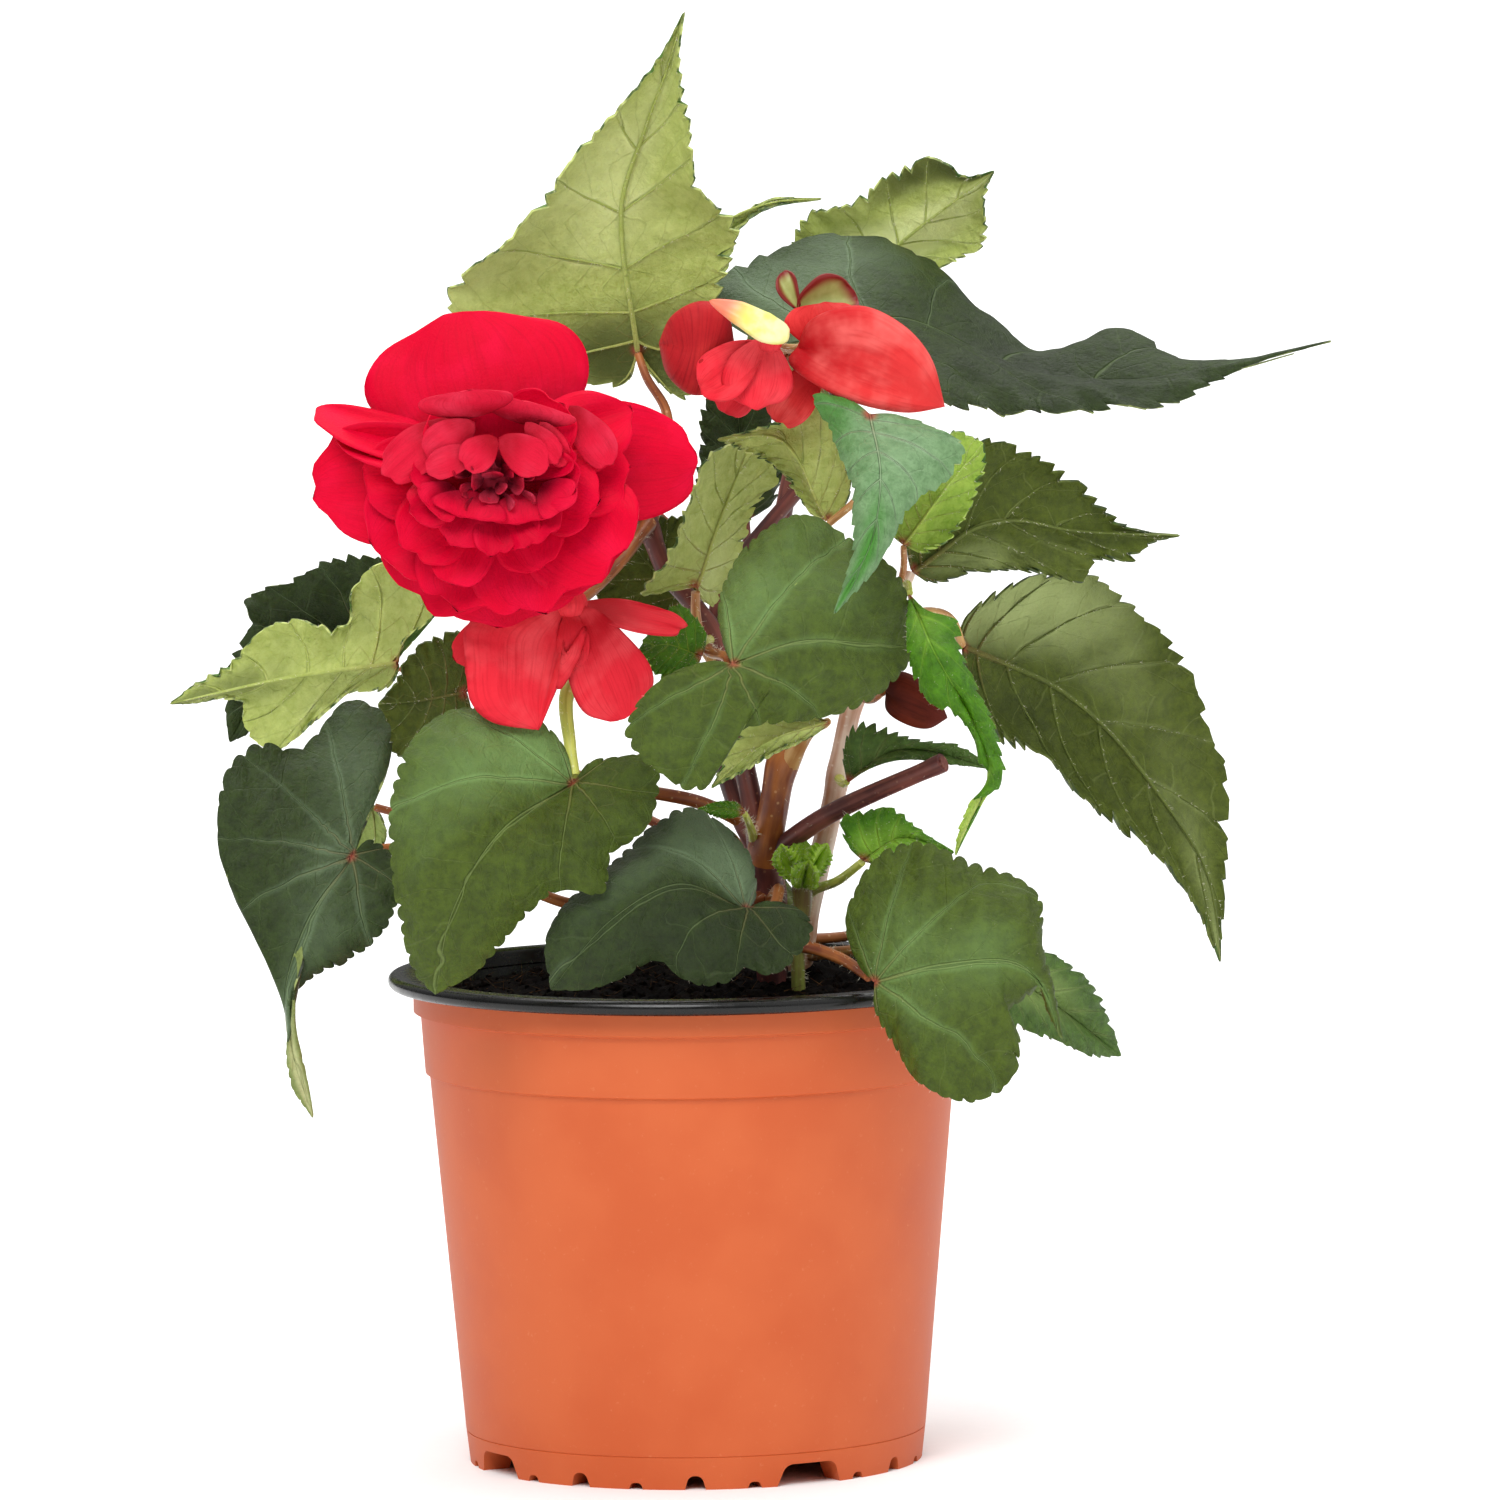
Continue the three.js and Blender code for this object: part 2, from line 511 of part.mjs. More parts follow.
const LEAVES = [
  {
    name: 'leaf_top', colour: 'paleLeaf', faces: [-0.2, 1, 0.1], steps: 15, dome: 3, wave: 0.8, tooth: 1.6,
    at: [-10, 10, 238], mids: [[-13, 4, 270], [-5, -8, 293]], tip: [1, -24, 311],
    left: [[-13, 14, 230], [-27, 12, 232], [-44, 4, 240], [-51, 0, 250], [-38, -4, 262], [-23, -9, 280],
      [-12, -14, 292], [-3, -19, 304]],
    right: [[-6, 14, 231], [1, 12, 227], [6, 8, 239], [9, 4, 252], [12, -2, 265], [4, -8, 272], [2, -14, 288],
      [0, -20, 302]],
  },
  {
    name: 'leaf_top_behind', colour: 'leaf', faces: [0.2, 0.9, 0.5], steps: 9, rings: 1,
    at: [-1, 40, 244], mids: [[4, 44, 258], [16, 38, 267]], tip: [30, 34, 269],
    left: [[-5, 46, 247], [-7, 50, 255], [-1, 50, 263], [12, 42, 265.5], [19, 37, 269]],
    right: [[3, 42, 243], [8, 40, 250], [12, 40, 262], [18, 37, 267]],
  },
  {
    name: 'leaf_upper_right', colour: 'paleLeaf', faces: [-0.3, 0.9, 0.3], steps: 11, dome: 2.5,
    at: [36, 46, 246], mids: [[45, 42, 257]], tip: [67, 22, 275],
    left: [[28, 50, 245], [23, 50, 255], [26, 44, 265], [36, 38, 268], [44, 34, 274], [54, 28, 278],
      [61, 24, 274]],
    right: [[42, 46, 241], [51, 42, 247], [55, 36, 253], [65, 30, 259], [65, 26, 268]],
  },
  {
    name: 'leaf_dark_right', colour: 'darkLeaf', faces: [0, -0.75, 0.65], steps: 14, dome: 2, wave: 1,
    at: [29, 2, 241], mids: [[46, 4, 245], [75, 0, 233], [106, -2, 232]], tip: [138, -4, 239],
    left: [[19, 6, 239], [8, 12, 244], [4, 18, 251], [18, 26, 258], [34, 30, 261], [53, 28, 255], [68, 22, 242],
      [76, 17, 236], [95, 14, 240], [106, 8, 235], [121, 2, 235]],
    right: [[31, -6, 234], [41, -14, 228], [54, -18, 226], [76, -16, 225], [93, -12, 225], [104, -10, 226],
      [118, -6, 233]],
  },
  {
    name: 'leaf_grey_centre', colour: 'greyLeaf', faces: [0, -1, 0.3], steps: 11, dome: 1.5,
    at: [39, -51, 227], mids: [[41, -62, 216], [39, -69, 202]], tip: [31, -72, 187],
    left: [[35, -49, 230], [27, -48, 231], [30, -49, 225], [33, -55, 218], [35, -60, 213], [35, -64, 206],
      [35, -67, 200], [33, -70, 193]],
    right: [[44, -50, 227], [53, -49, 224], [59, -50, 220], [55, -55, 213], [48, -61, 209], [44, -66, 203],
      [38, -70, 194]],
  },
  {
    name: 'leaf_lime', colour: 'youngLeaf', faces: [0.2, 0.9, 0.4], steps: 9, rings: 1,
    at: [46, -38, 199], mids: [[54, -38, 210]], tip: [63, -34, 220],
    left: [[43, -38, 202], [44, -40, 211], [51, -40, 219], [57, -38, 223]],
    right: [[51, -38, 197], [58, -36, 202], [62, -34, 210], [64, -33, 216]],
  },
  {
    name: 'leaf_olive_small', colour: 'paleLeaf', faces: [0, 0.9, 0.5], steps: 9, rings: 1,
    at: [30, -34, 204], mids: [[21, -33, 221]], tip: [7, -30, 221],
    left: [[27, -33, 205], [23, -31, 210], [19, -30, 215], [13, -30, 218]],
    right: [[34, -34, 207], [35, -36, 217], [32, -37, 228], [27, -36, 232], [21, -34, 226], [14, -31, 223]],
  },
  {
    name: 'leaf_right_mid', colour: 'oliveLeaf', faces: [0.1, 0.8, 0.6], steps: 13, dome: 2.5, tooth: 1.5,
    at: [48, -20, 192], mids: [[64, -12, 202], [84, -2, 199]], tip: [106, 8, 197],
    left: [[47, -22, 198], [49, -24, 206], [55, -22, 215], [62, -18, 220], [73, -12, 217], [84, -6, 210],
      [93, 0, 201], [99, 5, 198]],
    right: [[53, -18, 189], [61, -14, 191], [69, -10, 191], [76, -7, 190], [85, -3, 188], [87, -2, 192],
      [96, 2, 192], [99, 5, 195]],
  },
  {
    name: 'leaf_centre', colour: 'leaf', faces: [0, -0.85, 0.5], steps: 13, dome: 2.5, wave: 0.8,
    at: [10, -66, 176], mids: [[24, -67, 181], [37, -60, 180]], tip: [48, -52, 178],
    left: [[8, -62, 180], [7, -58, 188], [13, -52, 200], [25, -47, 206], [36, -48, 200], [45, -50, 193]],
    right: [[5, -68, 177], [-6, -70, 173], [-13, -70, 162], [-5, -68, 153], [3, -66, 150], [11, -66, 162],
      [24, -64, 164], [37, -60, 167], [45, -56, 173]],
  },
  {
    name: 'leaf_pale_under', colour: 'paleLeaf', faces: [0, 0.3, 0.9], steps: 7, rings: 1, dome: 1,
    at: [30, -44, 162], mids: [[17, -47, 158]], tip: [5, -50, 149],
    left: [[24, -42, 164], [15, -42, 164], [9, -46, 158]],
    right: [[26, -44, 159], [17, -48, 155], [11, -50, 152]],
  },
  {
    name: 'leaf_young_bright', colour: 'youngLeaf', faces: [-0.1, -0.9, 0.2], steps: 12, dome: 1.2, hold: 1.2,
    at: [47, -50, 189], mids: [[52, -64, 178], [59, -64, 165], [63, -62, 152]], tip: [56, -58, 135],
    left: [[46, -60, 183], [47, -60, 174], [50, -61, 168], [55, -62, 165], [60, -62, 160], [61, -62, 154],
      [62, -60, 147]],
    right: [[51, -56, 186], [57, -58, 184], [58, -60, 178], [61, -62, 170], [65, -62, 161], [66, -60, 150],
      [62, -58, 141]],
  },
  {
    name: 'leaf_right_big', colour: 'oliveLeaf', faces: [0.3, 0.9, 0.3], steps: 15, dome: 4, wave: 0.8, tooth: 1.6,
    at: [59, 2, 174], mids: [[82, 16, 161], [100, 28, 140], [112, 36, 120]], tip: [115, 36, 102],
    left: [[59, 4, 179], [67, 8, 186], [78, 14, 189], [87, 20, 188], [96, 26, 182], [107, 34, 170],
      [114, 40, 151], [118, 42, 142], [117, 40, 124], [116, 38, 112]],
    right: [[60, 0, 169], [63, 0, 160], [69, 4, 152], [77, 8, 150], [84, 14, 140], [99, 22, 128],
      [109, 30, 115]],
  },
  {
    name: 'leaf_front_left', colour: 'leaf', faces: [-0.2, -0.9, 0.4], steps: 14, dome: 3, wave: 0.8,
    at: [-24, -52, 150], mids: [[-39, -68, 142], [-49, -74, 126]], tip: [-53, -68, 108],
    left: [[-26, -50, 158], [-33, -50, 165], [-42, -50, 167], [-52, -54, 165], [-59, -58, 158], [-62, -62, 148],
      [-62, -66, 134], [-60, -68, 122], [-57, -68, 112]],
    right: [[-20, -52, 155], [-13, -52, 156], [-7, -52, 156], [-6, -54, 149], [-9, -58, 141], [-16, -60, 136],
      [-18, -62, 128], [-27, -64, 129], [-34, -66, 124], [-44, -68, 113]],
  },
  {
    name: 'leaf_front_low', colour: 'darkLeaf', faces: [0, -0.8, 0.6], steps: 14, dome: 2.5, wave: 0.8,
    at: [12, -52, 123], mids: [[-2, -60, 130], [-16, -64, 123]], tip: [-29, -62, 108],
    left: [[14, -48, 126], [13, -46, 134], [7, -44, 141], [0, -44, 144], [-8, -46, 140], [-19, -52, 131],
      [-26, -56, 125], [-30, -60, 118]],
    right: [[16, -52, 125], [22, -52, 124], [26, -54, 120], [23, -57, 114], [17, -60, 110], [12, -61, 112],
      [7, -62, 109], [0, -62, 109], [-7, -62, 114], [-13, -62, 111], [-21, -62, 108]],
  },
  {
    name: 'leaf_left', colour: 'darkLeaf', faces: [-0.4, -0.8, 0.4], steps: 15, dome: 1.5, wave: 0.5, hold: 1.5,
    at: [-71, -38, 134], mids: [[-80, -46, 122], [-85, -48, 107], [-84, -45, 94]], tip: [-80, -40, 79],
    left: [[-69, -37, 139], [-66, -33, 146], [-63, -28, 154], [-64, -24, 163], [-72, -22, 166], [-82, -24, 156],
      [-92, -28, 157], [-98, -34, 151], [-99, -40, 136], [-95, -44, 125], [-90, -46, 112], [-88, -46, 101],
      [-85, -44, 90]],
    right: [[-67, -40, 138], [-61, -40, 133], [-61, -42, 126], [-64, -44, 119], [-72, -46, 113],
      [-80, -47, 109], [-84, -47, 104], [-83, -45, 95], [-80, -42, 86]],
  },
  {
    name: 'leaf_left_pale', colour: 'paleLeaf', faces: [-0.2, 0.8, 0.5], steps: 14, dome: 2,
    at: [-62, 0, 172], mids: [[-83, 8, 169]], tip: [-112, 22, 162],
    left: [[-61, 0, 177], [-53, -2, 184], [-58, 0, 194], [-64, 2, 194], [-71, 4, 189], [-73, 6, 180],
      [-85, 10, 181], [-91, 12, 179], [-98, 16, 172], [-106, 20, 167]],
    right: [[-62, 0, 170], [-65, 2, 166], [-73, 6, 165], [-80, 10, 159], [-90, 14, 152], [-96, 16, 158],
      [-96, 17, 162], [-101, 19, 163], [-107, 21, 162]],
  },
  {
    name: 'leaf_left_dark', colour: 'darkLeaf', faces: [-0.3, -0.8, 0.5], steps: 11,
    at: [-68, 34, 177], mids: [[-87, 40, 172]], tip: [-100, 40, 152],
    left: [[-64, 32, 183], [-65, 30, 192], [-76, 30, 193], [-86, 31, 188], [-96, 33, 184], [-95, 34, 178],
      [-100, 37, 170], [-101, 39, 160]],
    right: [[-71, 36, 170], [-80, 38, 163], [-90, 40, 156]],
  },
  {
    name: 'leaf_olive_left', colour: 'oliveLeaf', faces: [-0.2, 0.8, 0.5], steps: 9, rings: 1,
    at: [-47, -18, 167], mids: [[-56, -14, 165]], tip: [-66, -10, 164],
    left: [[-44, -18, 176], [-46, -18, 180], [-54, -16, 179], [-60, -14, 174], [-63, -12, 168]],
    right: [[-46, -22, 159], [-57, -18, 152], [-63, -14, 154]],
  },
  {
    name: 'leaf_narrow', colour: 'paleLeaf', faces: [0, 0.8, 0.5], steps: 10, rings: 1, dome: 1,
    at: [2, -16, 189], mids: [[6, -12, 201]], tip: [14, -12, 220],
    left: [[-4, -18, 188], [-10, -22, 188], [-5, -24, 194], [1, -24, 208], [5, -22, 217]],
    right: [[4, -10, 185], [6, -8, 184], [12, -6, 195], [16, -4, 206], [20, -4, 211]],
  },
  {
    name: 'leaf_mid_olive', colour: 'oliveLeaf', faces: [0.1, 0.9, 0.4], steps: 7, rings: 1, dome: 1,
    at: [1, 6, 184], mids: [[-7, 4, 191]], tip: [-14, -2, 201],
    left: [[-3, 6, 182], [-12, 4, 182], [-19, 2, 185], [-19, 0, 192]],
    right: [[4, 8, 191], [3, 6, 199], [1, 4, 202], [-8, 0, 203]],
  },
  {
    name: 'leaf_upright', colour: 'darkLeaf', faces: [0, -0.9, 0.4], steps: 7, rings: 1, dome: 1.5,
    at: [13, 14, 201], mids: [[12, 14, 216]], tip: [11, 8, 232],
    left: [[8, 14, 203], [2, 12, 205], [3, 10, 216], [4, 8, 227]],
    right: [[19, 16, 205], [21, 16, 216], [18, 12, 226]],
  },
  {
    name: 'leaf_low_right', colour: 'leaf', faces: [0.1, -0.85, 0.5], steps: 15, dome: 2.5, wave: 0.8, hold: 1.5,
    at: [39, -54, 108], mids: [[53, -66, 113], [68, -64, 113], [74, -61, 107]], tip: [78, -58, 96],
    left: [[36, -52, 111], [33, -50, 120], [36, -50, 129], [41, -50, 135], [48, -50, 137], [60, -54, 133],
      [69, -56, 130], [74, -58, 125], [74, -60, 116], [76, -60, 108]],
    right: [[39, -58, 102], [43, -62, 95], [48, -66, 88], [58, -68, 84], [67, -68, 89], [69, -66, 97],
      [65, -64, 101], [71, -62, 106], [73, -60, 108], [75, -59, 102]],
  },
  {
    name: 'leaf_low_behind', colour: 'oliveLeaf', faces: [0.5, -0.6, 0.5], steps: 10,
    at: [63, -22, 109], mids: [[77, -13, 99]], tip: [92, -2, 86],
    left: [[66, -20, 114], [76, -14, 110], [86, -8, 102], [90, -4, 93]],
    right: [[63, -26, 103], [68, -24, 96], [79, -14, 90], [87, -6, 86]],
  },
  {
    name: 'leaf_young_low', colour: 'youngLeaf', faces: [0, -0.9, 0.3], steps: 9, rings: 1, dome: 1, tooth: 0.8,
    at: [37, -36, 132], mids: [[45, -40, 137]], tip: [56, -42, 134],
    left: [[34, -36, 135], [32, -36, 141], [39, -36, 143], [44, -38, 143], [49, -40, 139]],
    right: [[41, -38, 131], [48, -41, 132]],
  },
  {
    name: 'leaf_young_mid', colour: 'oliveLeaf', faces: [0, -0.8, 0.4], steps: 9, rings: 1, dome: 1, tooth: 1.3,
    at: [34, -16, 147], mids: [[45, -19, 154]], tip: [64, -22, 150],
    left: [[33, -16, 154], [36, -17, 160], [42, -18, 159], [50, -20, 156], [58, -21, 155]],
    right: [[38, -17, 150], [46, -19, 152], [54, -21, 151]],
  },
  {
    name: 'leaf_young_left', colour: 'youngLeaf', faces: [0, -0.9, 0.4], steps: 7, rings: 1, dome: 0.8, tooth: 0.8,
    at: [3, -30, 175], mids: [[-4, -34, 178]], tip: [-10, -36, 177],
    left: [[4, -28, 180], [-1, -28, 186], [-7, -31, 183]],
    right: [[1, -32, 172], [-6, -34, 171]],
  },
  {
    name: 'leaf_bract', colour: 'youngLeaf', faces: [0, -0.5, 0.8], steps: 5, rings: 1, dome: 0.4, tooth: 0.4,
    at: [12, -30, 142], mids: [[7, -32, 143]], tip: [2, -34, 143],
    left: [[10, -30, 144], [6, -32, 144.4]],
    right: [[10, -31, 141], [6, -33, 141.4]],
  },
  {
    name: 'leaf_back_left', colour: 'leaf', faces: [0, 0.7, 0.7], steps: 10, dome: 3,
    at: [-14, 40, 208], mids: [[-39, 66, 209]], tip: [-63, 84, 208],
    left: [[-19, 44, 217], [-27, 50, 225], [-47, 66, 231], [-61, 80, 222]],
    right: [[-19, 40, 200], [-23, 44, 189], [-46, 60, 183], [-61, 78, 193]],
  },
  {
    name: 'leaf_back_middle', colour: 'leaf', faces: [0, 0.6, 0.8], steps: 10, dome: 3,
    at: [25, 40, 190], mids: [[25, 76, 179]], tip: [22, 96, 157],
    left: [[20, 40, 194], [14, 50, 190], [11, 66, 178], [14, 86, 163]],
    right: [[30, 40, 192], [38, 50, 187], [42, 66, 175], [33, 86, 160]],
  },
  {
    name: 'leaf_back_right', colour: 'darkLeaf', faces: [0.4, 0.8, 0.4], steps: 10, dome: 3,
    at: [68, 52, 169], mids: [[90, 70, 152]], tip: [110, 84, 122],
    left: [[70, 54, 177], [81, 60, 180], [95, 72, 170], [108, 84, 146]],
    right: [[69, 54, 160], [75, 60, 150], [86, 70, 141], [99, 80, 128]],
  },
  {
    name: 'leaf_back_low_left', colour: 'darkLeaf', faces: [-0.2, 0.8, 0.5], steps: 10, dome: 3,
    at: [-28, 46, 145], mids: [[-44, 76, 131]], tip: [-56, 92, 105],
    left: [[-33, 48, 152], [-46, 58, 152], [-60, 72, 145], [-62, 86, 124]],
    right: [[-22, 48, 143], [-11, 52, 137], [-20, 64, 125], [-38, 82, 113]],
  },
  {
    name: 'leaf_back_low', colour: 'leaf', faces: [0, 0.8, 0.6], steps: 10, dome: 2.5,
    at: [11, 50, 128], mids: [[0, 80, 117]], tip: [-12, 98, 97],
    left: [[6, 50, 132], [-5, 58, 129], [-20, 78, 115], [-23, 94, 101]],
    right: [[16, 50, 126], [23, 60, 112], [13, 78, 99], [2, 90, 95]],
  },
  {
    name: 'leaf_back_low_right', colour: 'leaf', faces: [0.2, 0.8, 0.4], steps: 9, dome: 2,
    at: [51, 44, 115], mids: [[60, 62, 98]], tip: [69, 66, 78],
    left: [[52, 44, 122], [62, 50, 121], [72, 58, 112], [74, 66, 95]],
    right: [[46, 46, 113], [41, 52, 104], [48, 60, 90], [57, 66, 79]],
  },
  {
    name: 'leaf_back_far_left', colour: 'leaf', faces: [-0.4, 0.7, 0.4], steps: 10, dome: 2,
    at: [-69, 24, 140], mids: [[-81, 42, 128]], tip: [-94, 52, 107],
    left: [[-69, 24, 146], [-80, 30, 148], [-96, 42, 141], [-99, 50, 123]],
    right: [[-66, 26, 134], [-70, 34, 122], [-81, 44, 112]],
  },
  {
    name: 'leaf_back_top', colour: 'darkLeaf', faces: [0.1, 0.6, 0.8], steps: 10, dome: 2.5,
    at: [21, 52, 246], mids: [[32, 82, 237]], tip: [45, 98, 223],
    left: [[23, 52, 252], [36, 60, 254], [50, 78, 247], [54, 92, 233]],
    right: [[16, 54, 242], [13, 62, 234], [23, 80, 226], [34, 92, 222]],
  },
];

// Flowers. The big double bloom has its petals in layers, the outer ones furthest back. All of them start
// inside a small core on the bloom's own axis, so a petal gives only how far forward its foot is.

const BLOOM = { x: -38.5, z: 217, core: { centre: [-38.5, -71, 217], radii: [6.5, 16, 6.5] } };
const BLOOM_PETALS = [
  { turn: -13, front: 58, reach: 32, width: 45, lean: -8, cup: -2, bend: -1, blunt: 2, steps: 6, rings: 2 },
  { turn: -71, front: 62, reach: 38.5, width: 20, tilt: -60, blunt: 2 },
  { turn: -91, front: 64, reach: 37, width: 23, bend: 1, blunt: 2.6, steps: 6, rings: 2 },
  { turn: 211, front: 65.5, reach: 30.5, width: 26, lean: -1, tilt: -6, blunt: 3, steps: 6 },
  { turn: 174, front: 63, reach: 32, width: 33, cup: -1, blunt: 3, steps: 6, rings: 2 },
  { turn: 129, front: 65, reach: 31, width: 26, lean: -1, tilt: 6, blunt: 3, steps: 6 },
  { turn: 83, front: 61, reach: 41, width: 25, lean: -7, cup: -2, bend: 3, blunt: 2.2, steps: 6, rings: 2 },
  { turn: 66, front: 67, reach: 28, width: 21, tilt: 30, blunt: 3 },
  { turn: -78, front: 67, reach: 30, width: 15, tilt: -40 },
  { turn: 262, front: 67, reach: 26, width: 18, lean: 3, tilt: -12 },
  { turn: 221, front: 68.5, reach: 23, width: 21, lean: 4, tilt: -10 },
  { turn: 181, front: 66.5, reach: 28.5, width: 20, lean: 4 },
  { turn: 147, front: 69, reach: 28, width: 18, lean: 4, tilt: 8 },
  { turn: 117, front: 70, reach: 25, width: 17, lean: 4, tilt: 16 },
  { turn: -16, front: 74, reach: 14.5, width: 20, lean: 5 },
  { turn: 40, front: 72, reach: 19, width: 17, lean: 3, tilt: 20 },
  { turn: 197, front: 71, reach: 20.5, width: 14, lean: 6.5, tilt: -6, steps: 4 },
  { turn: 161, front: 73, reach: 20, width: 13, lean: 6, tilt: 6, steps: 4 },
  { turn: 242, front: 73, reach: 18, width: 13, lean: 6, tilt: -20, steps: 4 },
  { turn: 122, front: 75, reach: 16.5, width: 12, lean: 6, tilt: 20, steps: 4 },
  { turn: 284, front: 74, reach: 20, width: 13, lean: 3, tilt: -35, steps: 4 },
  { turn: 70, front: 76, reach: 16.5, width: 12, lean: 4, tilt: 30, steps: 4 },
  { turn: 178, front: 75.5, reach: 15, width: 12, lean: 8, steps: 4 },
  { turn: 312, front: 78, reach: 13, width: 11, lean: 7, tilt: -25, steps: 4 },
  { turn: 38, front: 79, reach: 12, width: 10, lean: 7, tilt: 30, steps: 4 },
  { turn: 92, front: 79, reach: 10.5, width: 9, lean: 8, tilt: 35, steps: 4 },
  { turn: 262, front: 79, reach: 11.5, width: 9, lean: 8, tilt: -35, steps: 4 },
  { turn: 208, front: 80, reach: 9.5, width: 9, lean: 9, steps: 4 },
  { turn: 148, front: 80.5, reach: 9, width: 8, lean: 9, steps: 4 },
  { turn: 2, front: 82, reach: 7.5, width: 8, lean: 8, steps: 4 },
];

const LOW_CORE = { centre: [-24, -51.5, 188], radii: [3.6, 4.4, 3.6] };
const LOW_SIDE_PETAL = {
  at: [-24, -53, 188], left: [[-39, -55, 187], [-46, -55, 184], [-46, -57, 176], [-45, -57, 168]],
  tip: [-31, -55, 162], right: [[-27, -55, 170], [-22, -55, 178], [-21, -54, 184]], steps: 8, hold: 1.3,
};
const LOW_PETALS = [
  { root: [-24, -50.5, 188], turn: 243, reach: 27, width: 13, lean: -3 },
  { root: [-22, -54, 188], turn: 159, reach: 25.5, width: 17, lean: 1.5, cup: -1, steps: 6 },
  { root: [-22, -51, 188], turn: 104, reach: 22.5, width: 12, lean: -4, tilt: 55 },
  { root: [-24, -55.5, 187], turn: 176, reach: 13, width: 8, lean: 2.5, steps: 4 },
];

const BUD_LEFT = {
  at: [11, -38, 240], tip: [-5, -40, 242], plump: 7, steps: 10, dome: 0, hold: 1,
  left: [[9, -40, 249], [4, -42, 251], [-2, -42, 248]],
  right: [[9, -40, 233], [2, -42, 231], [-3, -42, 235]],
};
const BUD_RIGHT = {
  at: [24, -41, 241], tip: [55, -40, 228], plump: 6, steps: 9, dome: 0, hold: 1,
  left: [[27, -45, 247], [37, -47, 250], [46, -46, 246], [52, -44, 239]],
  right: [[22, -43, 238], [28, -46, 233], [37, -46, 229], [47, -43, 227]],
};
const BUD_RIGHT_PETALS = [
  { root: [30, -40, 240], turn: -8, reach: 10, width: 15, lean: -2 },
  { root: [29, -40.5, 238], turn: 216, reach: 16, width: 10, lean: -2 },
];
const SMALL_CORE = { centre: [18.4, -48.6, 242.6], radii: [2.6, 3.4, 2.4] };
const BLOOM_SMALL = [
  { root: [17.5, -48.4, 243.4], turn: 198, reach: 14.5, width: 16, lean: 2, cup: -1, rings: 2 },
  { root: [17, -46.4, 242], turn: 242, reach: 16.5, width: 12, lean: 1.5 },
];
const OVARY = {
  path: [[22.4, -53, 243.9], [17.5, -55.4, 245.4], [12, -56.2, 248.6], [5.6, -54.6, 251.6]],
  radii: [2.4, 3.4, 2.6, 0.8],
};
const BRACTS = [
  { root: [25.5, -36.6, 248.8], turn: -60, reach: 9, width: 5.5, lean: -1, steps: 4 },
  { root: [24.5, -36.6, 249.2], turn: 62, reach: 10, width: 6.5, lean: -1, bend: 1.5 },
];
const BUD_LOW = {
  at: [42, -36, 168], tip: [55, -36, 162], plump: 3.4, steps: 8, dome: 0, hold: 1,
  left: [[41, -36, 170], [45, -38, 172], [52, -38, 168]],
  right: [[42, -36, 164], [46, -36, 161], [51, -36, 160]],
};

function core({ centre, radii }) {
  const ball = new THREE.SphereGeometry(1, 8, 6).scale(...radii);
  return toSolid(ball.translate(...centre));
}

const petals = (list) => list.map((shape) => toSolid(petal(shape)));

function bloomMain() {
  const onAxis = BLOOM_PETALS.map((shape) => ({ ...shape, root: [BLOOM.x, -shape.front, BLOOM.z] }));
  return toGeometry(fuse([core(BLOOM.core), ...petals(onAxis)]));
}

function bloomLow() {
  return toGeometry(fuse([core(LOW_CORE), toSolid(blade(LOW_SIDE_PETAL)), ...petals(LOW_PETALS)]));
}

// The scene graph

const group = new THREE.Group();

function addPiece(name, geometry, colour, roughness = 0.6) {
  const material = new THREE.MeshStandardMaterial({ color: COLOUR[colour], roughness, metalness: 0 });
  const mesh = new THREE.Mesh(geometry, material);
  mesh.name = name;
  group.add(mesh);
}

addPiece('pot_wall', potWall(), 'terracotta', 0.45);
addPiece('pot_rim', potRim(), 'black', 0.35);
addPiece('soil', soilBody([MAIN_ROOT, PALE_ROOT, BACK_ROOT, SHOOT_ROOT]), 'soil', 1);
addPiece('stem_main', toGeometry(branches(MAIN_STEM)), 'stem');
addPiece('stem_pale', toGeometry(branches(PALE_STEM)), 'paleStem');
addPiece('stem_back', toGeometry(branches(BACK_STEM)), 'stem');
addPiece('shoot_young', shootYoung(), 'youngStem');
for (const { name, colour, ...shape } of LEAVES) {
  addPiece(name, blade({ tooth: BLADE.tooth, ...shape }), colour, 0.5);
}
addPiece('bloom_main', bloomMain(), 'petal', 0.55);
addPiece('bloom_low', bloomLow(), 'petal', 0.55);
addPiece('bud_left', blade(BUD_LEFT), 'bud', 0.5);
addPiece('bud_right', toGeometry(fuse([toSolid(blade(BUD_RIGHT)), ...petals(BUD_RIGHT_PETALS)])), 'bud', 0.5);
addPiece('bloom_small', toGeometry(fuse([core(SMALL_CORE), ...petals(BLOOM_SMALL)])), 'petal', 0.5);
addPiece('ovary', toGeometry(toSolid(tube(OVARY.path, OVARY.radii))), 'ovary', 0.5);
addPiece('bracts', toGeometry(fuse(petals(BRACTS))), 'bract', 0.5);
addPiece('bud_low', blade(BUD_LOW), 'darkBud', 0.5);

export default group;
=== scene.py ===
"""A red double begonia in a two-colour plastic nursery pot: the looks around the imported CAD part.

Points and sizes are millimetres, as in the part's source. Each mesh is scaled to metres when it is finished.
Only the camera and the paper are given in metres.
"""

import math
import random

import bmesh
import bpy
import numpy as np
from mathutils import Matrix, Vector, noise


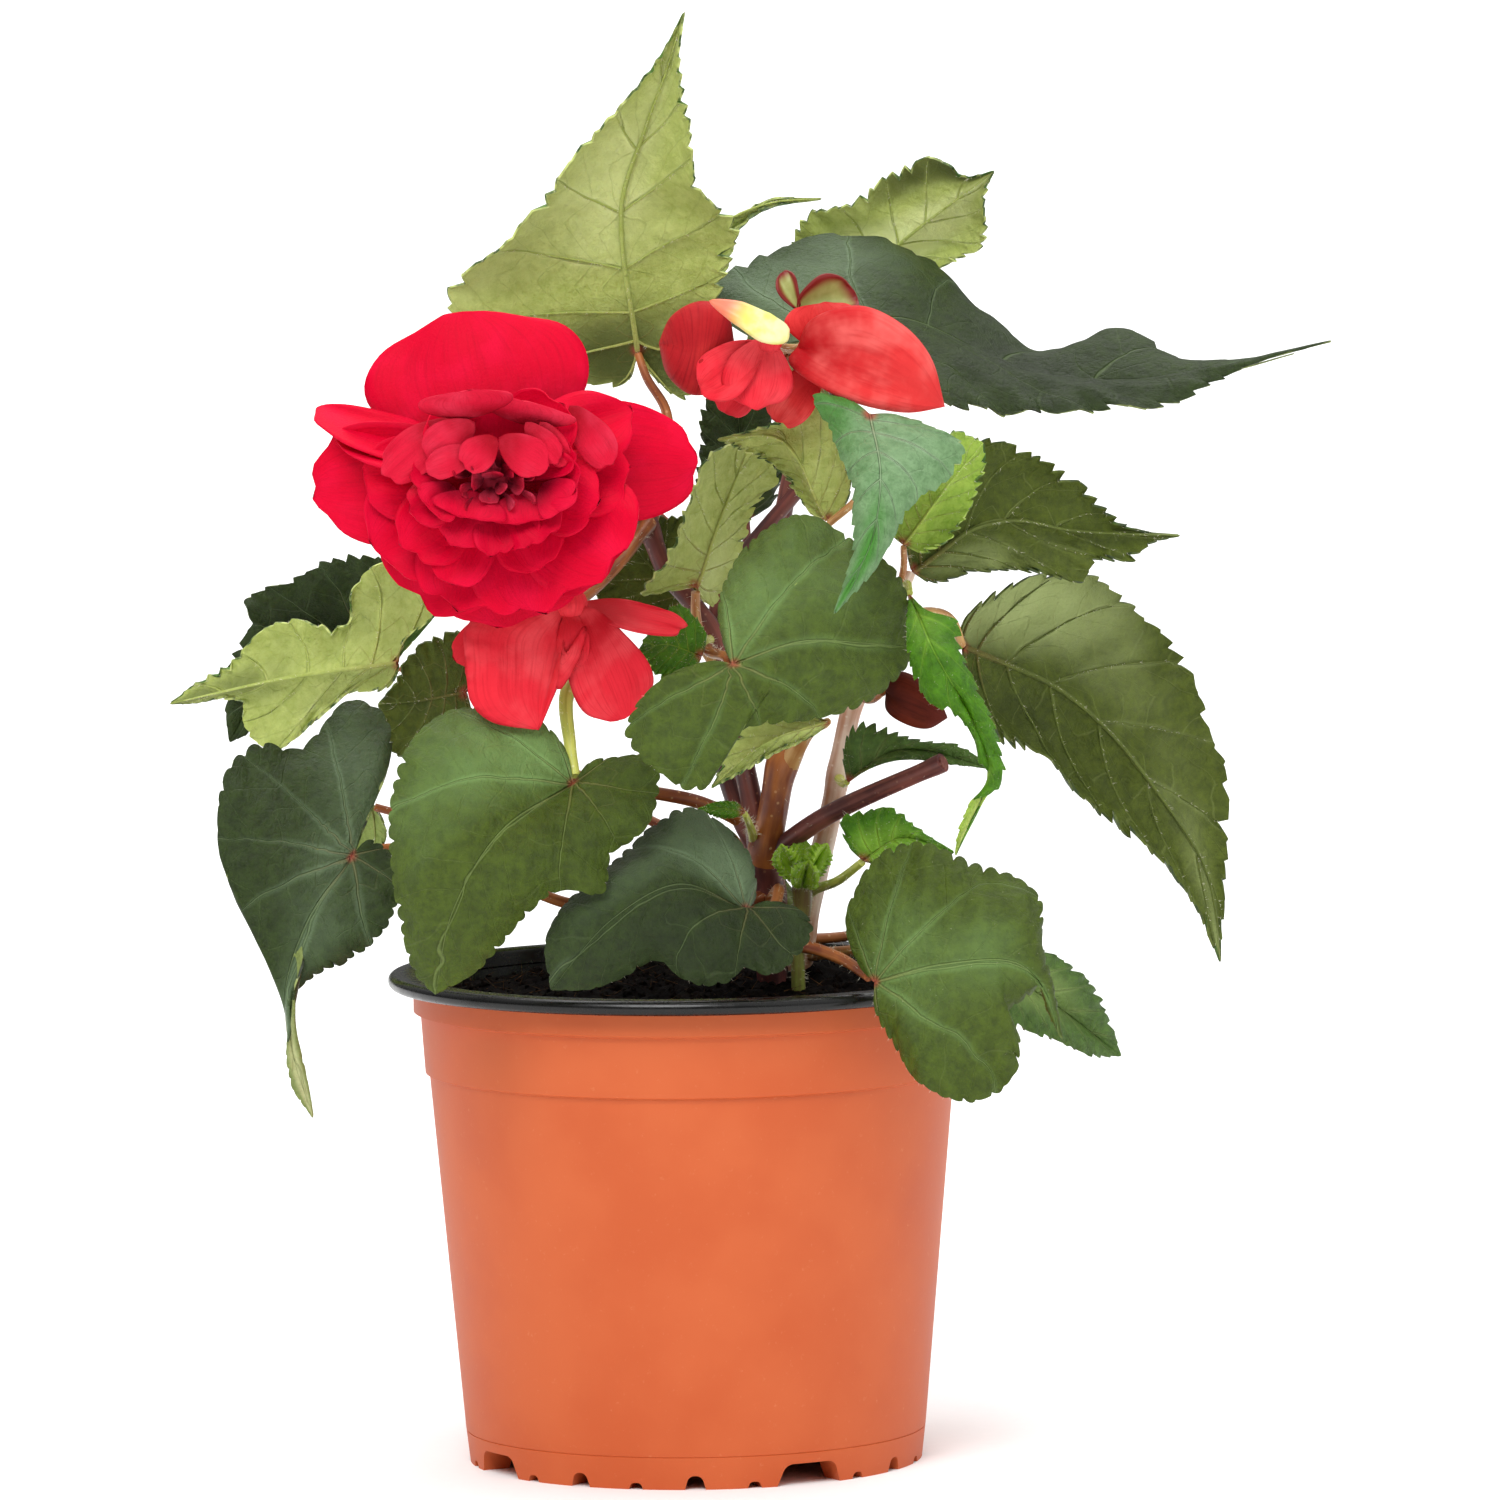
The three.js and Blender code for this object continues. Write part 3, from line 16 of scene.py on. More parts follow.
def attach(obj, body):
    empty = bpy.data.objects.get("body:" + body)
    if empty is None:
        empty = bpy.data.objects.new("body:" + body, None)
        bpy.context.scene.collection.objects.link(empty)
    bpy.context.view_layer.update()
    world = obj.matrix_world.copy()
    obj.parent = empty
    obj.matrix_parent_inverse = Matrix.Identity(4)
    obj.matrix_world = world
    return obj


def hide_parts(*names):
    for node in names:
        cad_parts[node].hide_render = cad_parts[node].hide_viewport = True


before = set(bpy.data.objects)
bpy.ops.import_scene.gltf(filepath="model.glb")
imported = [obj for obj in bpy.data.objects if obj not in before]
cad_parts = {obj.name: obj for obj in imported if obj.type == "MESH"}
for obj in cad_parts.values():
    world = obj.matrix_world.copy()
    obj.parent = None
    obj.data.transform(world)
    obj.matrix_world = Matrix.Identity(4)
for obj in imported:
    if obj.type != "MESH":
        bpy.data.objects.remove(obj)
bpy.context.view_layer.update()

rng = random.Random(11)

MILLIMETRE = 0.001
BODY = "root"

# Pot sizes, as in the part's source

POT_HEIGHT = 105.5
RIM_RADIUS = 65
WALL_TOP = 102.3
BAND_RADIUS = 59.6
SHOULDER_HEIGHT = 97.2
SHOULDER_RADIUS = 58.1
GROOVE_HEIGHT = 84
GROOVE_RADIUS = 56.3
FOOT_HEIGHT = 6.8
FOOT_RADIUS = 49.4
BASE_RADIUS = 48.6
FOOT_RING = 6.2
POT_WALL = 1
PAD_RADIUS = 12
FLOOR_UNDERSIDE = 4.8
FLOOR_TOP = 6
DRAIN_RADIUS = 3
DRAIN_CIRCLE = 30
DRAIN_COUNT = 6
POT_STEPS = 180
LIP_INNER = 59
LIP_CLEARANCE = 0.3
SKIRT_THICKNESS = 0.8
SKIRT_BOTTOM = 98.8
LIP_BEND = 0.8
LIP_BEVEL = 0.25
ROLL_TURN = 15

# The inside of the wall bends at these heights, from the floor up, and follows these outside radii. At the
# floor it turns in by the corner; at each step it bends a little below the outside.
FLOOR_CORNER = 2.4
FLOOR_BEND = 1.4
INNER_LAG = 0.4
SHOULDER_BEND = 0.9
INNER_HEIGHTS = [
    FLOOR_TOP + FLOOR_BEND, GROOVE_HEIGHT - INNER_LAG, SHOULDER_HEIGHT - INNER_LAG,
    SHOULDER_HEIGHT + SHOULDER_BEND, WALL_TOP,
]
FOLLOWED_RADII = [FOOT_RADIUS, GROOVE_RADIUS, SHOULDER_RADIUS, BAND_RADIUS, BAND_RADIUS]

# Each step in the wall rises this far, and the wall steps out this far at its groove. The shallow line round
# the foot is this deep, and the wall stands out this much more above it.
STEP_RISE = 0.4
GROOVE_DEPTH = 0.9
FOOT_LINE = 0.15
FOOT_LINE_FLARE = 0.05

# The pad and the ring under the floor widen by this much from the ground to the floor's under side.
PAD_SLOPE = 1.5
RING_SLOPE = 0.6

# Cuts in the foot ring: heights and roundings in millimetres, half widths and spacings in degrees.
# An arch takes the place of every third notch, and nicks lie halfway between.
ARCH = dict(height=4.7, half_bottom=9.5, half_top=7, rounding=1.6)
NOTCH = dict(height=3, half_bottom=3, half_top=1.6, rounding=1.1)
NICK = dict(height=1.4, half_bottom=2.3, half_top=1.2, rounding=0.6)
CUT_SPACING = 15
NOTCH_SPACING = 30
ARCH_SPACING = 90
FIRST_ARCH = 30
CUT_INSIDE = 1
CUT_OUTSIDE = 3
CUT_BELOW = 1

# Rings this far from each corner of the outline keep smooth shading even between them.
GUARD_REACH = 1.2

# Soil

SOIL_LEVEL = 100.5
SOIL_MIDDLE = 102.5
SOIL_EDGE = 57.3
SOIL_STEPS = 220
SOIL_RINGS = 64
SOIL_GAP = 0.3
SOIL_BEVEL = 0.5
SOIL_INSET = 0.4
SOIL_FLAT_FROM = 57.5
SOIL_UNEVEN_FROM = 49
SOIL_DOME_RADIUS = 56
MOUND = dict(x=28, y=20, height=4.5, radius=15)
CRUMB_COUNT = 1500
FIBRE_COUNT = 260

# Leaves and petals

LEAF_THICKNESS = 0.5
PETAL_THICKNESS = 0.35
TOOTH_SPACING = 3.6
ROWS_A_TOOTH = 6
MOST_ROWS = 198
BITES = (0.2, 0.5, 0.8, 1.2, 1.9)
VEIN_LEAN = 0.13
BRANCH_SPACING = 7
HAIR_RADIUS = 0.045
HAIRS_ON_VEINS = 0.6
FACE_HAIRS = 90
FIBRE_RADIUS = 0.11
RIB_SAMPLES = 30
STALK_SAMPLES = 40
BUD_SKIN = 0.35
FURROW_WIDTH = 0.16

# A leaf with edges this long has its full relief; on shorter ones it is shallower.
FULL_LENGTH = 110

# Next to each side vein a painted sheen makes the green lighter, out to this many times half the vein's
# width;
# further out it is painted a little darker, as shade between the veins.
VEIN_SHEEN_REACH = 5

# Layers that tell a leaf's material where its veins are, and its painted light and shade.
# NO_VEIN stands for a point with none near.
NO_VEIN = 90
LEAF_LAYERS = ("vein_count", "vein_gap", "branch_count", "branch_gap", "rib_off", "foot_mm", "painted_shading")

# What a leaf gives where it differs from the rest. The larger hold is, the longer the midrib stays near the
# foot while the edges run out. dome is how far each half arches, wave and waves the height and number of
# waves along an edge, tooth the depth of its teeth, which are round with scallops. veins is how many side
# veins leave each side of the midrib; palm, where not 0, how many would fill a circle round the foot.
# quilt is how far the skin puffs up between veins, ruffle and crumple how uneven the edge and the skin
# are, plump how thick a bud is to each side. faces is the way that the upper side looks.
# tones are places, across from -1 to 1 and along from 0 to 1, each with its painted light,
# above 0, which makes the green lighter where light falls on it and where light shines through it, and its
# painted shade, below 0, which makes it darker. twist gives the share of the length at which the tip starts
# to turn over, and the degrees. downy is how hairy it is, and columns how many cells lie from the midrib to
# an edge.
LEAF_DEFAULTS = dict(
    mids=[], hold=1.8, dome=2, wave=0, waves=3, tooth=1.1, scallops=False, veins=7, palm=0, quilt=0.6,
    ruffle=0.5, crumple=0.25, plump=0, faces=[0, -1, 0.3], columns=12, tones=(), twist=(1, 0), downy=1,
)
LOBED_BACK_LEAF = dict(
    colour="leaf", palm=9, tooth=0.9, scallops=True, quilt=1.1, crumple=0.9,
    tones=[(-0.4, 0.3, 0.7), (0.4, 0.6, -0.3)],
)
PETAL_DEFAULTS = dict(lean=0, cup=0, bend=0, tilt=0, blunt=4, fold=0.5, wave=0.9)

# Light: a white sky, brighter overhead, and three broad suns. Azimuth 0 shines from the front and 90 from
# the right.

LOW_SKY = 0.14
HIGH_SKY = 0.8
PAPER_HALF_METRES = 60
SUNS = [
    dict(name="key", azimuth=-15, elevation=46, strength=2.0, spread_degrees=32),
    dict(name="fill", azimuth=60, elevation=26, strength=0.4, spread_degrees=60),
    dict(name="top", azimuth=168, elevation=70, strength=1.85, spread_degrees=60),
]

# Camera, as the photograph was taken: a long lens a little above the flowers. Target and distance are in
# metres; a pixel is its width in millimetres at the pot's middle.

CAMERA_TARGET = (0.0132, 0, 0.1525)
CAMERA_DISTANCE = 2.5095
CAMERA_ELEVATION = 5
CAMERA_ROLL = 0.62
SENSOR_WIDTH = 36
PICTURE_WIDTH = 1500
PICTURE_PIXEL = 0.2142
LENS = SENSOR_WIDTH * CAMERA_DISTANCE / (PICTURE_WIDTH * PICTURE_PIXEL * MILLIMETRE)

# Stems: every path is given and starts inside the stem that it grows from. Each has its radii from
# foot to end and its skin.

MAIN_ROOT = [(18, 4, 90), (17.6, 3.6, 100), (17, 3, 112)]
PALE_ROOT = [(23, 13, 90), (23.2, 12, 100), (24, 10, 110)]
BACK_ROOT = [(11, 26, 90), (12, 27, 101), (13, 28, 112)]
SHOOT_ROOT = [(23, -6, 92), (23, -8, 102), (23, -9, 111)]

MAIN_STEM = [
    ([*MAIN_ROOT, (17, 1, 121), (16, -2, 132)], [3.4, 3.4, 3.3, 3.2], "dark"),
    ([(16, -2, 129), (12, -6, 149), (6, -7, 176), (1, -7, 185), (-4, -7, 191), (-10, -10, 206),
      (-18, -30, 213), (-26, -46, 215), (-38, -54.3, 216.8)], [2.6, 2.3, 2, 1.7], "dark"),
    ([(17, 0, 127), (11, 0, 139), (8, 1, 148), (7, 2, 163), (7, 3, 185), (14, 3, 196), (24, 2, 208),
      (31, -2, 217), (33, -8, 227), (30, -16, 234), (26, -28, 240)], [2.4, 2, 1.7, 1.5], "dark"),
    ([(16, -4, 129), (18, -8, 140), (20, -10, 150), (22, -10, 154)], [3.4, 3.3], "red"),
    ([(21, -10, 150), (25, -18, 157), (29, -36, 161), (29.5, -42.5, 162)], [2.4, 1.2, 0.9], "tan"),
    ([(17, -4, 130), (30, -16, 140), (54, -30, 152)], [2.4, 1.9], "dark"),
    ([(53.4, -29.7, 151.7), (54.3, -30.15, 152.15)], [1.45, 1.35], "pith"),
    ([(-8, -8.4, 201), (-4, 2, 214), (-4, 7, 225), (-8, 7.6, 232), (-9.9, 9.2, 237.2)],
     [1.6, 1.3, 0.9], "red"),
    ([(6, -7, 172), (3, -12, 177), (2, -14, 183), (2, -15.7, 187.7)], [1.4, 1], "tan"),
    ([(4, -6, 179), (2, 0, 181), (1, 5.2, 183.5)], [1.1, 0.8], "tan"),
    ([(13, 3, 194), (13, 9, 198), (13, 13.4, 200.4)], [1.2, 0.8], "dark"),
    ([(28, 0, 211), (37, -12, 213), (38, -33, 211), (35.6, -39.4, 208), (30.5, -35.1, 203.4)],
     [1.2, 0.8], "tan"),
    ([(33, -6, 223), (36, -18, 222), (38, -34, 220), (39, -46, 224.6), (39, -50, 226.6)],
     [1.2, 0.9], "tan"),
    ([(4, -7, 176), (5, -30, 176), (8, -54, 177), (8.8, -63.4, 177)], [1.4, 1], "red"),
    ([(5, -7, 177), (4, -20, 177), (3, -28.5, 176)], [1, 0.7], "green"),
    ([(12, 0, 137), (2, -6, 142), (-6, -8, 144), (-19, -8, 146), (-40, -4, 157), (-55, 0, 167),
      (-61.4, 0, 171.3)], [1.6, 1.4, 1.1], "red"),
    ([(-32, -6, 152), (-41, -14, 161), (-45.5, -20, 166)], [1.1, 0.8], "tan"),
    ([(17, 0, 121), (2, -14, 119), (-11, -24, 120), (-26, -30, 123), (-34, -31, 126), (-53, -30, 132),
      (-61, -29, 135), (-67, -32, 135), (-70.3, -36.6, 134.3)], [1.7, 1.5, 1.2, 0.9], "red"),
    ([(8, -7, 164), (-6, -20, 173), (-18, -34, 174), (-25, -43, 169), (-24.6, -46.6, 158),
      (-23.6, -50.2, 151.8)], [1.6, 1.6, 1.9, 1.2], "green"),
    ([(17, 1, 119), (19, -16, 124), (17, -36, 121), (12.3, -51.1, 122.1)], [1.6, 1], "red"),
    ([(17, 2, 108), (15, -12, 111), (24, -28, 113), (32, -40, 111.5), (37.6, -52, 109)],
     [1.7, 1.5, 1.2], "red"),
    ([(14, -3, 133), (13, -18, 138), (12, -29, 141.4)], [1.1, 0.7], "green"),
    ([(31, -2, 217), (29, 2, 227), (27.5, 3, 235), (28.3, 2.6, 240)], [1.5, 1.1], "red"),
    ([(-8, -9, 202), (-14, -24, 195), (-20, -42, 190), (-22.3, -47.2, 188.8)], [1.7, 1.4], "red"),
    ([(26, -27, 239.6), (19, -34, 238), (11.4, -37.5, 239.8)], [1.2, 0.9], "red"),
    ([(26, -26, 239.5), (21, -36, 240.5), (18.6, -44.6, 242)], [1.2, 1], "tan"),
    ([(26, -26, 239.5), (26.4, -33, 240.6), (26, -37, 241.2)], [1.3, 1.1], "red"),
]

PALE_STEM = [
    ([*PALE_ROOT, (27, 7, 124), (31, -2, 142), (33, -6, 153), (35, -8, 162), (39, -14, 173),
      (44, -24, 184), (47.6, -20.2, 191.5)], [2.6, 2.6, 2.3, 1.2], "pale"),
    ([(43.4, -22.6, 182), (46, -31, 193), (46, -37.5, 198.3)], [1, 0.7], "tan"),
    ([(42, -22, 181), (50, -20, 183), (56, -9, 181), (58.8, 1.3, 174.6)], [1.4, 1], "tan"),
    ([(43, -21.6, 180.4), (46.4, -34, 190), (47, -49.3, 189.5)], [1, 0.8], "green"),
    ([(24, 10, 112), (25, -3, 121), (32, -26, 127), (36.6, -35.3, 131.5)], [1.4, 0.9], "green"),
    ([(23.4, 11, 107), (33, 4, 108.4), (51, -8, 111), (62.3, -21.5, 109.3)], [1.5, 1], "tan"),
    ([(32, -5, 147), (33, -11, 146), (33.8, -15.2, 146.7)], [1.1, 0.7], "green"),
    ([(36, -9, 165), (39, -24, 165), (41.4, -34.4, 167.4)], [1.1, 0.8], "red"),
]

BACK_STEM = [
    ([*BACK_ROOT, (15, 30, 128), (12, 30, 144), (11, 32, 156), (14, 34, 171), (19, 34, 191),
      (25, 38, 219), (32, 42, 236), (35.8, 45.4, 245.4)], [3, 2.8, 2.2, 1.2], "dark"),
    ([(14, 34, 171), (3, 36, 191), (-10, 39, 204), (-13.3, 40, 207.4)], [1.5, 1], "red"),
    ([(19, 34, 192), (22, 37, 191), (24.2, 39.3, 190.3)], [1.4, 1], "red"),
    ([(17, 34, 182), (38, 44, 181), (55, 50, 172), (67, 52, 169.2)], [1.5, 1], "red"),
    ([(15, 30, 125), (2, 37, 129), (-15, 42, 137), (-27.6, 44.6, 144)], [1.5, 0.9], "red"),
    ([(15, 30, 125), (13, 42, 127), (11.2, 49, 128)], [1.5, 1], "red"),
    ([(13, 28, 108), (24, 34, 108), (35, 38, 108.5), (43, 40.4, 111), (50.6, 42.9, 114.4)],
     [1.5, 0.9], "red"),
    ([(13, 28, 112), (-9, 32, 121), (-28, 31, 125), (-48, 28, 130), (-62, 24, 137), (-68, 22.8, 139)],
     [1.5, 0.9], "red"),
    ([(32, 42, 235), (25, 49, 241), (21.6, 51.6, 245.4)], [1.3, 0.9], "red"),
    ([(28, 40, 228), (16, 41, 234), (3, 38.6, 239.4), (-1, 39.2, 243.2)], [1.3, 0.8], "red"),
    ([(11, 31, 152), (-19, 38, 163), (-36, 38, 178), (-54, 37, 183), (-67, 34.4, 177.4)],
     [1.5, 0.9], "red"),
]

STEM_ORDER = ["dark", "red", "tan", "pale", "green", "young", "pith"]
HAIRS_A_MM = dict(dark=0.3, red=0.8, tan=1.4, pale=1.0, green=3.5, young=5.0, pith=0)

SHOOT_STALK = dict(path=[*SHOOT_ROOT, (24, -12, 120), (24, -14, 127)], radii=[1.7, 1.5, 2.4])
SHOOT_LEAF = dict(
    hold=1.4, dome=1.4, tooth=0.7, quilt=1.6, ruffle=1.1, crumple=1.6, downy=3, faces=[0, -1, 0.3],
)
SHOOT_LEAVES = [
    dict(at=(24, -14.5, 124.5), tip=(19.6, -18, 134), left=[(20, -15, 127), (17.8, -17, 131)],
         right=[(24, -18, 128), (23, -19, 132)]),
    dict(at=(24, -14, 125), tip=(29.5, -13, 133.5), left=[(24.4, -16, 130), (26.5, -15, 133.5)],
         right=[(27.5, -14, 126), (30.5, -13, 130)]),
    dict(at=(24, -15, 124.5), tip=(25.5, -23, 131), left=[(21.5, -18, 125.5), (22, -21.5, 129)],
         right=[(27, -18, 125.5), (27.6, -21.5, 128.5)]),
    dict(at=(24, -13.5, 125), tip=(24.5, -11, 134.5), left=[(21, -12, 128), (21.5, -11, 132.5)],
         right=[(27, -12, 128), (27, -11, 132)]),
]

# Leaves: the foot of the blade, its tip, the way of its midrib, the points that its two edges pass through,
# and the side that its upper face looks to

LEAVES = [
    dict(
        name="leaf_top", colour="paleLeaf", faces=[-0.2, 1, 0.1], dome=3, wave=0.8, tooth=1.9,
        crumple=0.7,
        tones=[(0, 0.6, 0.7), (-0.6, 0.5, 0.6), (0.5, 0.5, 0.1), (-0.5, 0.1, -1.4), (0.5, 0.1, -1.2),
               (0, 0.1, -1)],
        at=(-10, 10, 238), mids=[(-13, 4, 270), (-5, -8, 293)], tip=(1, -24, 311),
        left=[(-13, 14, 230), (-27, 12, 232), (-44, 4, 240), (-51, 0, 250), (-38, -4, 262),
              (-23, -9, 280), (-12, -14, 292), (-3, -19, 304)],
        right=[(-6, 14, 231), (1, 12, 227), (6, 8, 239), (9, 4, 252), (12, -2, 265), (4, -8, 272),
               (2, -14, 288), (0, -20, 302)],
    ),
    dict(
        name="leaf_top_behind", colour="paleLeaf", faces=[0.2, 0.9, 0.5],
        at=(-1, 40, 244), mids=[(4, 44, 258), (16, 38, 267)], tip=(30, 34, 269),
        left=[(-5, 46, 247), (-7, 50, 255), (-1, 50, 263), (12, 42, 265.5), (19, 37, 269)],
        right=[(3, 42, 243), (8, 40, 250), (12, 40, 262), (18, 37, 267)],
    ),
    dict(
        name="leaf_upper_right", colour="paleLeaf", faces=[-0.3, 0.9, 0.3], dome=2.5,
        tooth=1.3, crumple=1.5, tones=[(0, 0.4, 1.4), (0, 0.8, 0.9), (-0.7, 0.9, -1.2)],
        at=(36, 46, 246), mids=[(45, 42, 257)], tip=(67, 22, 275),
        left=[(28, 50, 245), (23, 50, 255), (26, 44, 265), (36, 38, 268), (44, 34, 274), (54, 28, 278),
              (61, 24, 274)],
        right=[(42, 46, 241), (51, 42, 247), (55, 36, 253), (65, 30, 259), (65, 26, 268)],
    ),
    dict(
        name="leaf_dark_right", colour="darkLeaf", faces=[0, -0.75, 0.65], dome=2, wave=1,
        tooth=1.3, crumple=0.8,
        tones=[(-0.5, 0.15, 0.8), (0.6, 0.1, 0.6), (0, 0.35, 0.5), (0, 0.62, -1.1), (0.5, 0.5, -0.8),
               (0, 0.97, 0.7)],
        at=(29, 2, 241), mids=[(46, 4, 245), (75, 0, 233), (106, -2, 232)], tip=(138, -4, 239),
        left=[(19, 6, 239), (8, 12, 244), (4, 18, 251), (18, 26, 258), (34, 30, 261), (53, 28, 255),
              (68, 22, 242), (76, 17, 236), (95, 14, 240), (106, 8, 235), (121, 2, 235)],
        right=[(31, -6, 234), (41, -14, 228), (54, -18, 226), (76, -16, 225), (93, -12, 225),
               (104, -10, 226), (118, -6, 233)],
    ),
    dict(
        name="leaf_grey_centre", colour="greyLeaf", faces=[0, -1, 0.3], dome=1.5,
        tooth=0.7, crumple=0.6, tones=[(0.3, 0.3, 0.5), (0, 0.95, -1.1), (-0.9, 0.1, -0.9)],
        at=(39, -51, 227), mids=[(41, -62, 216), (39, -69, 202)], tip=(31, -72, 187),
        left=[(35, -49, 230), (27, -48, 231), (30, -49, 225), (33, -55, 218), (35, -60, 213),
              (35, -64, 206), (35, -67, 200), (33, -70, 193)],
        right=[(44, -50, 227), (53, -49, 224), (59, -50, 220), (55, -55, 213), (48, -61, 209),
               (44, -66, 203), (38, -70, 194)],
    ),
    dict(
        name="leaf_lime", colour="youngLeaf", faces=[0.2, 0.9, 0.4],
        crumple=0.8,
        at=(46, -38, 199), mids=[(54, -38, 210)], tip=(63, -34, 220),
        left=[(43, -38, 202), (44, -40, 211), (51, -40, 219), (57, -38, 223)],
        right=[(51, -38, 197), (58, -36, 202), (62, -34, 210), (64, -33, 216)],
    ),
    dict(
        name="leaf_olive_small", colour="paleLeaf", faces=[0, 0.9, 0.5],
        crumple=1, tones=[(-0.5, 0.6, -0.3), (0.5, 0.4, 0.2)],
        at=(30, -34, 204), mids=[(21, -33, 221)], tip=(7, -30, 221),
        left=[(27, -33, 205), (23, -31, 210), (19, -30, 215), (13, -30, 218)],
        right=[(34, -34, 207), (35, -36, 217), (32, -37, 228), (27, -36, 232), (21, -34, 226),
               (14, -31, 223)],
    ),
    dict(
        name="leaf_right_mid", colour="oliveLeaf", faces=[0.1, 0.8, 0.6], dome=2.5, tooth=1.5,
        crumple=1.1, tones=[(-0.3, 0.5, -0.4), (0.6, 0.3, 0.6), (0.6, 0.7, 0.1)],
        at=(48, -20, 192), mids=[(64, -12, 202), (84, -2, 199)], tip=(106, 8, 197),
        left=[(47, -22, 198), (49, -24, 206), (55, -22, 215), (62, -18, 220), (73, -12, 217),
              (84, -6, 210), (93, 0, 201), (99, 5, 198)],
        right=[(53, -18, 189), (61, -14, 191), (69, -10, 191), (76, -7, 190), (85, -3, 188),
               (87, -2, 192), (96, 2, 192), (99, 5, 195)],
    ),
    dict(
        name="leaf_centre", colour="leaf", faces=[0, -0.85, 0.5], dome=2.5, wave=0.8,
        palm=9, tooth=0.7, scallops=True, quilt=1.1, crumple=0.9,
        tones=[(-0.4, 0.25, 0.6), (-0.7, 0.55, 0.5), (0.4, 0.3, 0.1), (0.6, 0.6, 0.15)],
        at=(10, -66, 176), mids=[(24, -67, 181), (37, -60, 180)], tip=(48, -52, 178),
        left=[(8, -62, 180), (7, -58, 188), (13, -52, 200), (25, -47, 206), (36, -48, 200),
              (45, -50, 193)],
        right=[(5, -68, 177), (-6, -70, 173), (-13, -70, 162), (-5, -68, 153), (3, -66, 150),
               (11, -66, 162), (24, -64, 164), (37, -60, 167), (45, -56, 173)],
    ),
    dict(
        name="leaf_pale_under", colour="paleLeaf", faces=[0, 0.9, -0.3], dome=1,
        crumple=0.8,
        at=(30, -44, 162), mids=[(17, -47, 158)], tip=(5, -50, 149),
        left=[(24, -42, 164), (15, -42, 164), (9, -46, 158)],
        right=[(26, -44, 159), (17, -48, 155), (11, -50, 152)],
    ),
    dict(
        name="leaf_young_bright", colour="youngLeaf", faces=[-0.1, -0.9, 0.2], hold=1.2, dome=1.2,
        tooth=1.6, crumple=1.5, twist=(0.66, 170), downy=3,
        tones=[(0, 0.2, 0.7), (0, 0.45, -0.4), (0, 0.9, 1)],
        at=(47, -50, 189), mids=[(52, -64, 178), (59, -64, 165), (63, -62, 152)], tip=(56, -58, 135),
        left=[(46, -60, 183), (47, -60, 174), (50, -61, 168), (55, -62, 165), (60, -62, 160),
              (61, -62, 154), (62, -60, 147)],
        right=[(51, -56, 186), (57, -58, 184), (58, -60, 178), (61, -62, 170), (65, -62, 161),
               (66, -60, 150), (62, -58, 141)],
    ),
    dict(
        name="leaf_right_big", colour="oliveLeaf", faces=[0.3, 0.9, 0.3], dome=4, wave=0.8, tooth=1.6,
        crumple=1.2,
        tones=[(-0.6, 0.12, 1), (-0.2, 0.2, 0.8), (0.3, 0.3, -0.8), (0.2, 0.55, -0.5), (-0.3, 0.6, 0.3),
               (0, 0.9, 0.6)],
        at=(59, 2, 174), mids=[(82, 16, 161), (100, 28, 140), (112, 36, 120)], tip=(115, 36, 102),
        left=[(59, 4, 179), (67, 8, 186), (78, 14, 189), (87, 20, 188), (96, 26, 182), (107, 34, 170),
              (114, 40, 151), (118, 42, 142), (117, 40, 124), (116, 38, 112)],
        right=[(60, 0, 169), (63, 0, 160), (69, 4, 152), (77, 8, 150), (84, 14, 140), (99, 22, 128),
               (109, 30, 115)],
    ),
    dict(
        name="leaf_front_left", colour="leaf", faces=[-0.2, -0.9, 0.4], dome=3, wave=0.8,
        palm=9, tooth=0.7, scallops=True, quilt=1.1, crumple=0.9,
        tones=[(-0.5, 0.25, 0.9), (-0.6, 0.5, 0.5), (0.5, 0.3, -0.4), (0, 0.75, -0.3)],
        at=(-24, -52, 150), mids=[(-39, -68, 142), (-49, -74, 126)], tip=(-53, -68, 108),
        left=[(-26, -50, 158), (-33, -50, 165), (-42, -50, 167), (-52, -54, 165), (-59, -58, 158),
              (-62, -62, 148), (-62, -66, 134), (-60, -68, 122), (-57, -68, 112)],
        right=[(-20, -52, 155), (-13, -52, 156), (-7, -52, 156), (-6, -54, 149), (-9, -58, 141),
               (-16, -60, 136), (-18, -62, 128), (-27, -64, 129), (-34, -66, 124), (-44, -68, 113)],
    ),
    dict(
        name="leaf_front_low", colour="darkLeaf", faces=[0, -0.8, 0.6], dome=2.5, wave=0.8,
        palm=9, tooth=0.6, scallops=True, quilt=1, crumple=0.8,
        tones=[(-0.5, 0.3, 0.8), (-0.5, 0.6, 0.3), (0.5, 0.4, -0.7), (0.5, 0.7, -0.5)],
        at=(12, -52, 123), mids=[(-2, -60, 130), (-16, -64, 123)], tip=(-29, -62, 108),
        left=[(14, -48, 126), (13, -46, 134), (7, -44, 141), (0, -44, 144), (-8, -46, 140),
              (-19, -52, 131), (-26, -56, 125), (-30, -60, 118)],
        right=[(16, -52, 125), (22, -52, 124), (26, -54, 120), (23, -57, 114), (17, -60, 110),
               (12, -61, 112), (7, -62, 109), (0, -62, 109), (-7, -62, 114), (-13, -62, 111),
               (-21, -62, 108)],
    ),
    dict(
        name="leaf_left", colour="darkLeaf", faces=[-0.4, -0.8, 0.4], hold=1.5, dome=1.5, wave=0.5,
        palm=9, tooth=0.8, scallops=True, quilt=0.9, crumple=1.2, twist=(0.68, 180),
        tones=[(-0.4, 0.25, 0.6), (0.4, 0.5, 0.5), (-0.5, 0.55, 0), (0, 0.95, 1.3)],
        at=(-71, -38, 134), mids=[(-80, -46, 122), (-85, -48, 107), (-84, -45, 94)], tip=(-80, -40, 79),
        left=[(-69, -37, 139), (-66, -33, 146), (-63, -28, 154), (-64, -24, 163), (-72, -22, 166),
              (-82, -24, 156), (-92, -28, 157), (-98, -34, 151), (-99, -40, 136), (-95, -44, 125),
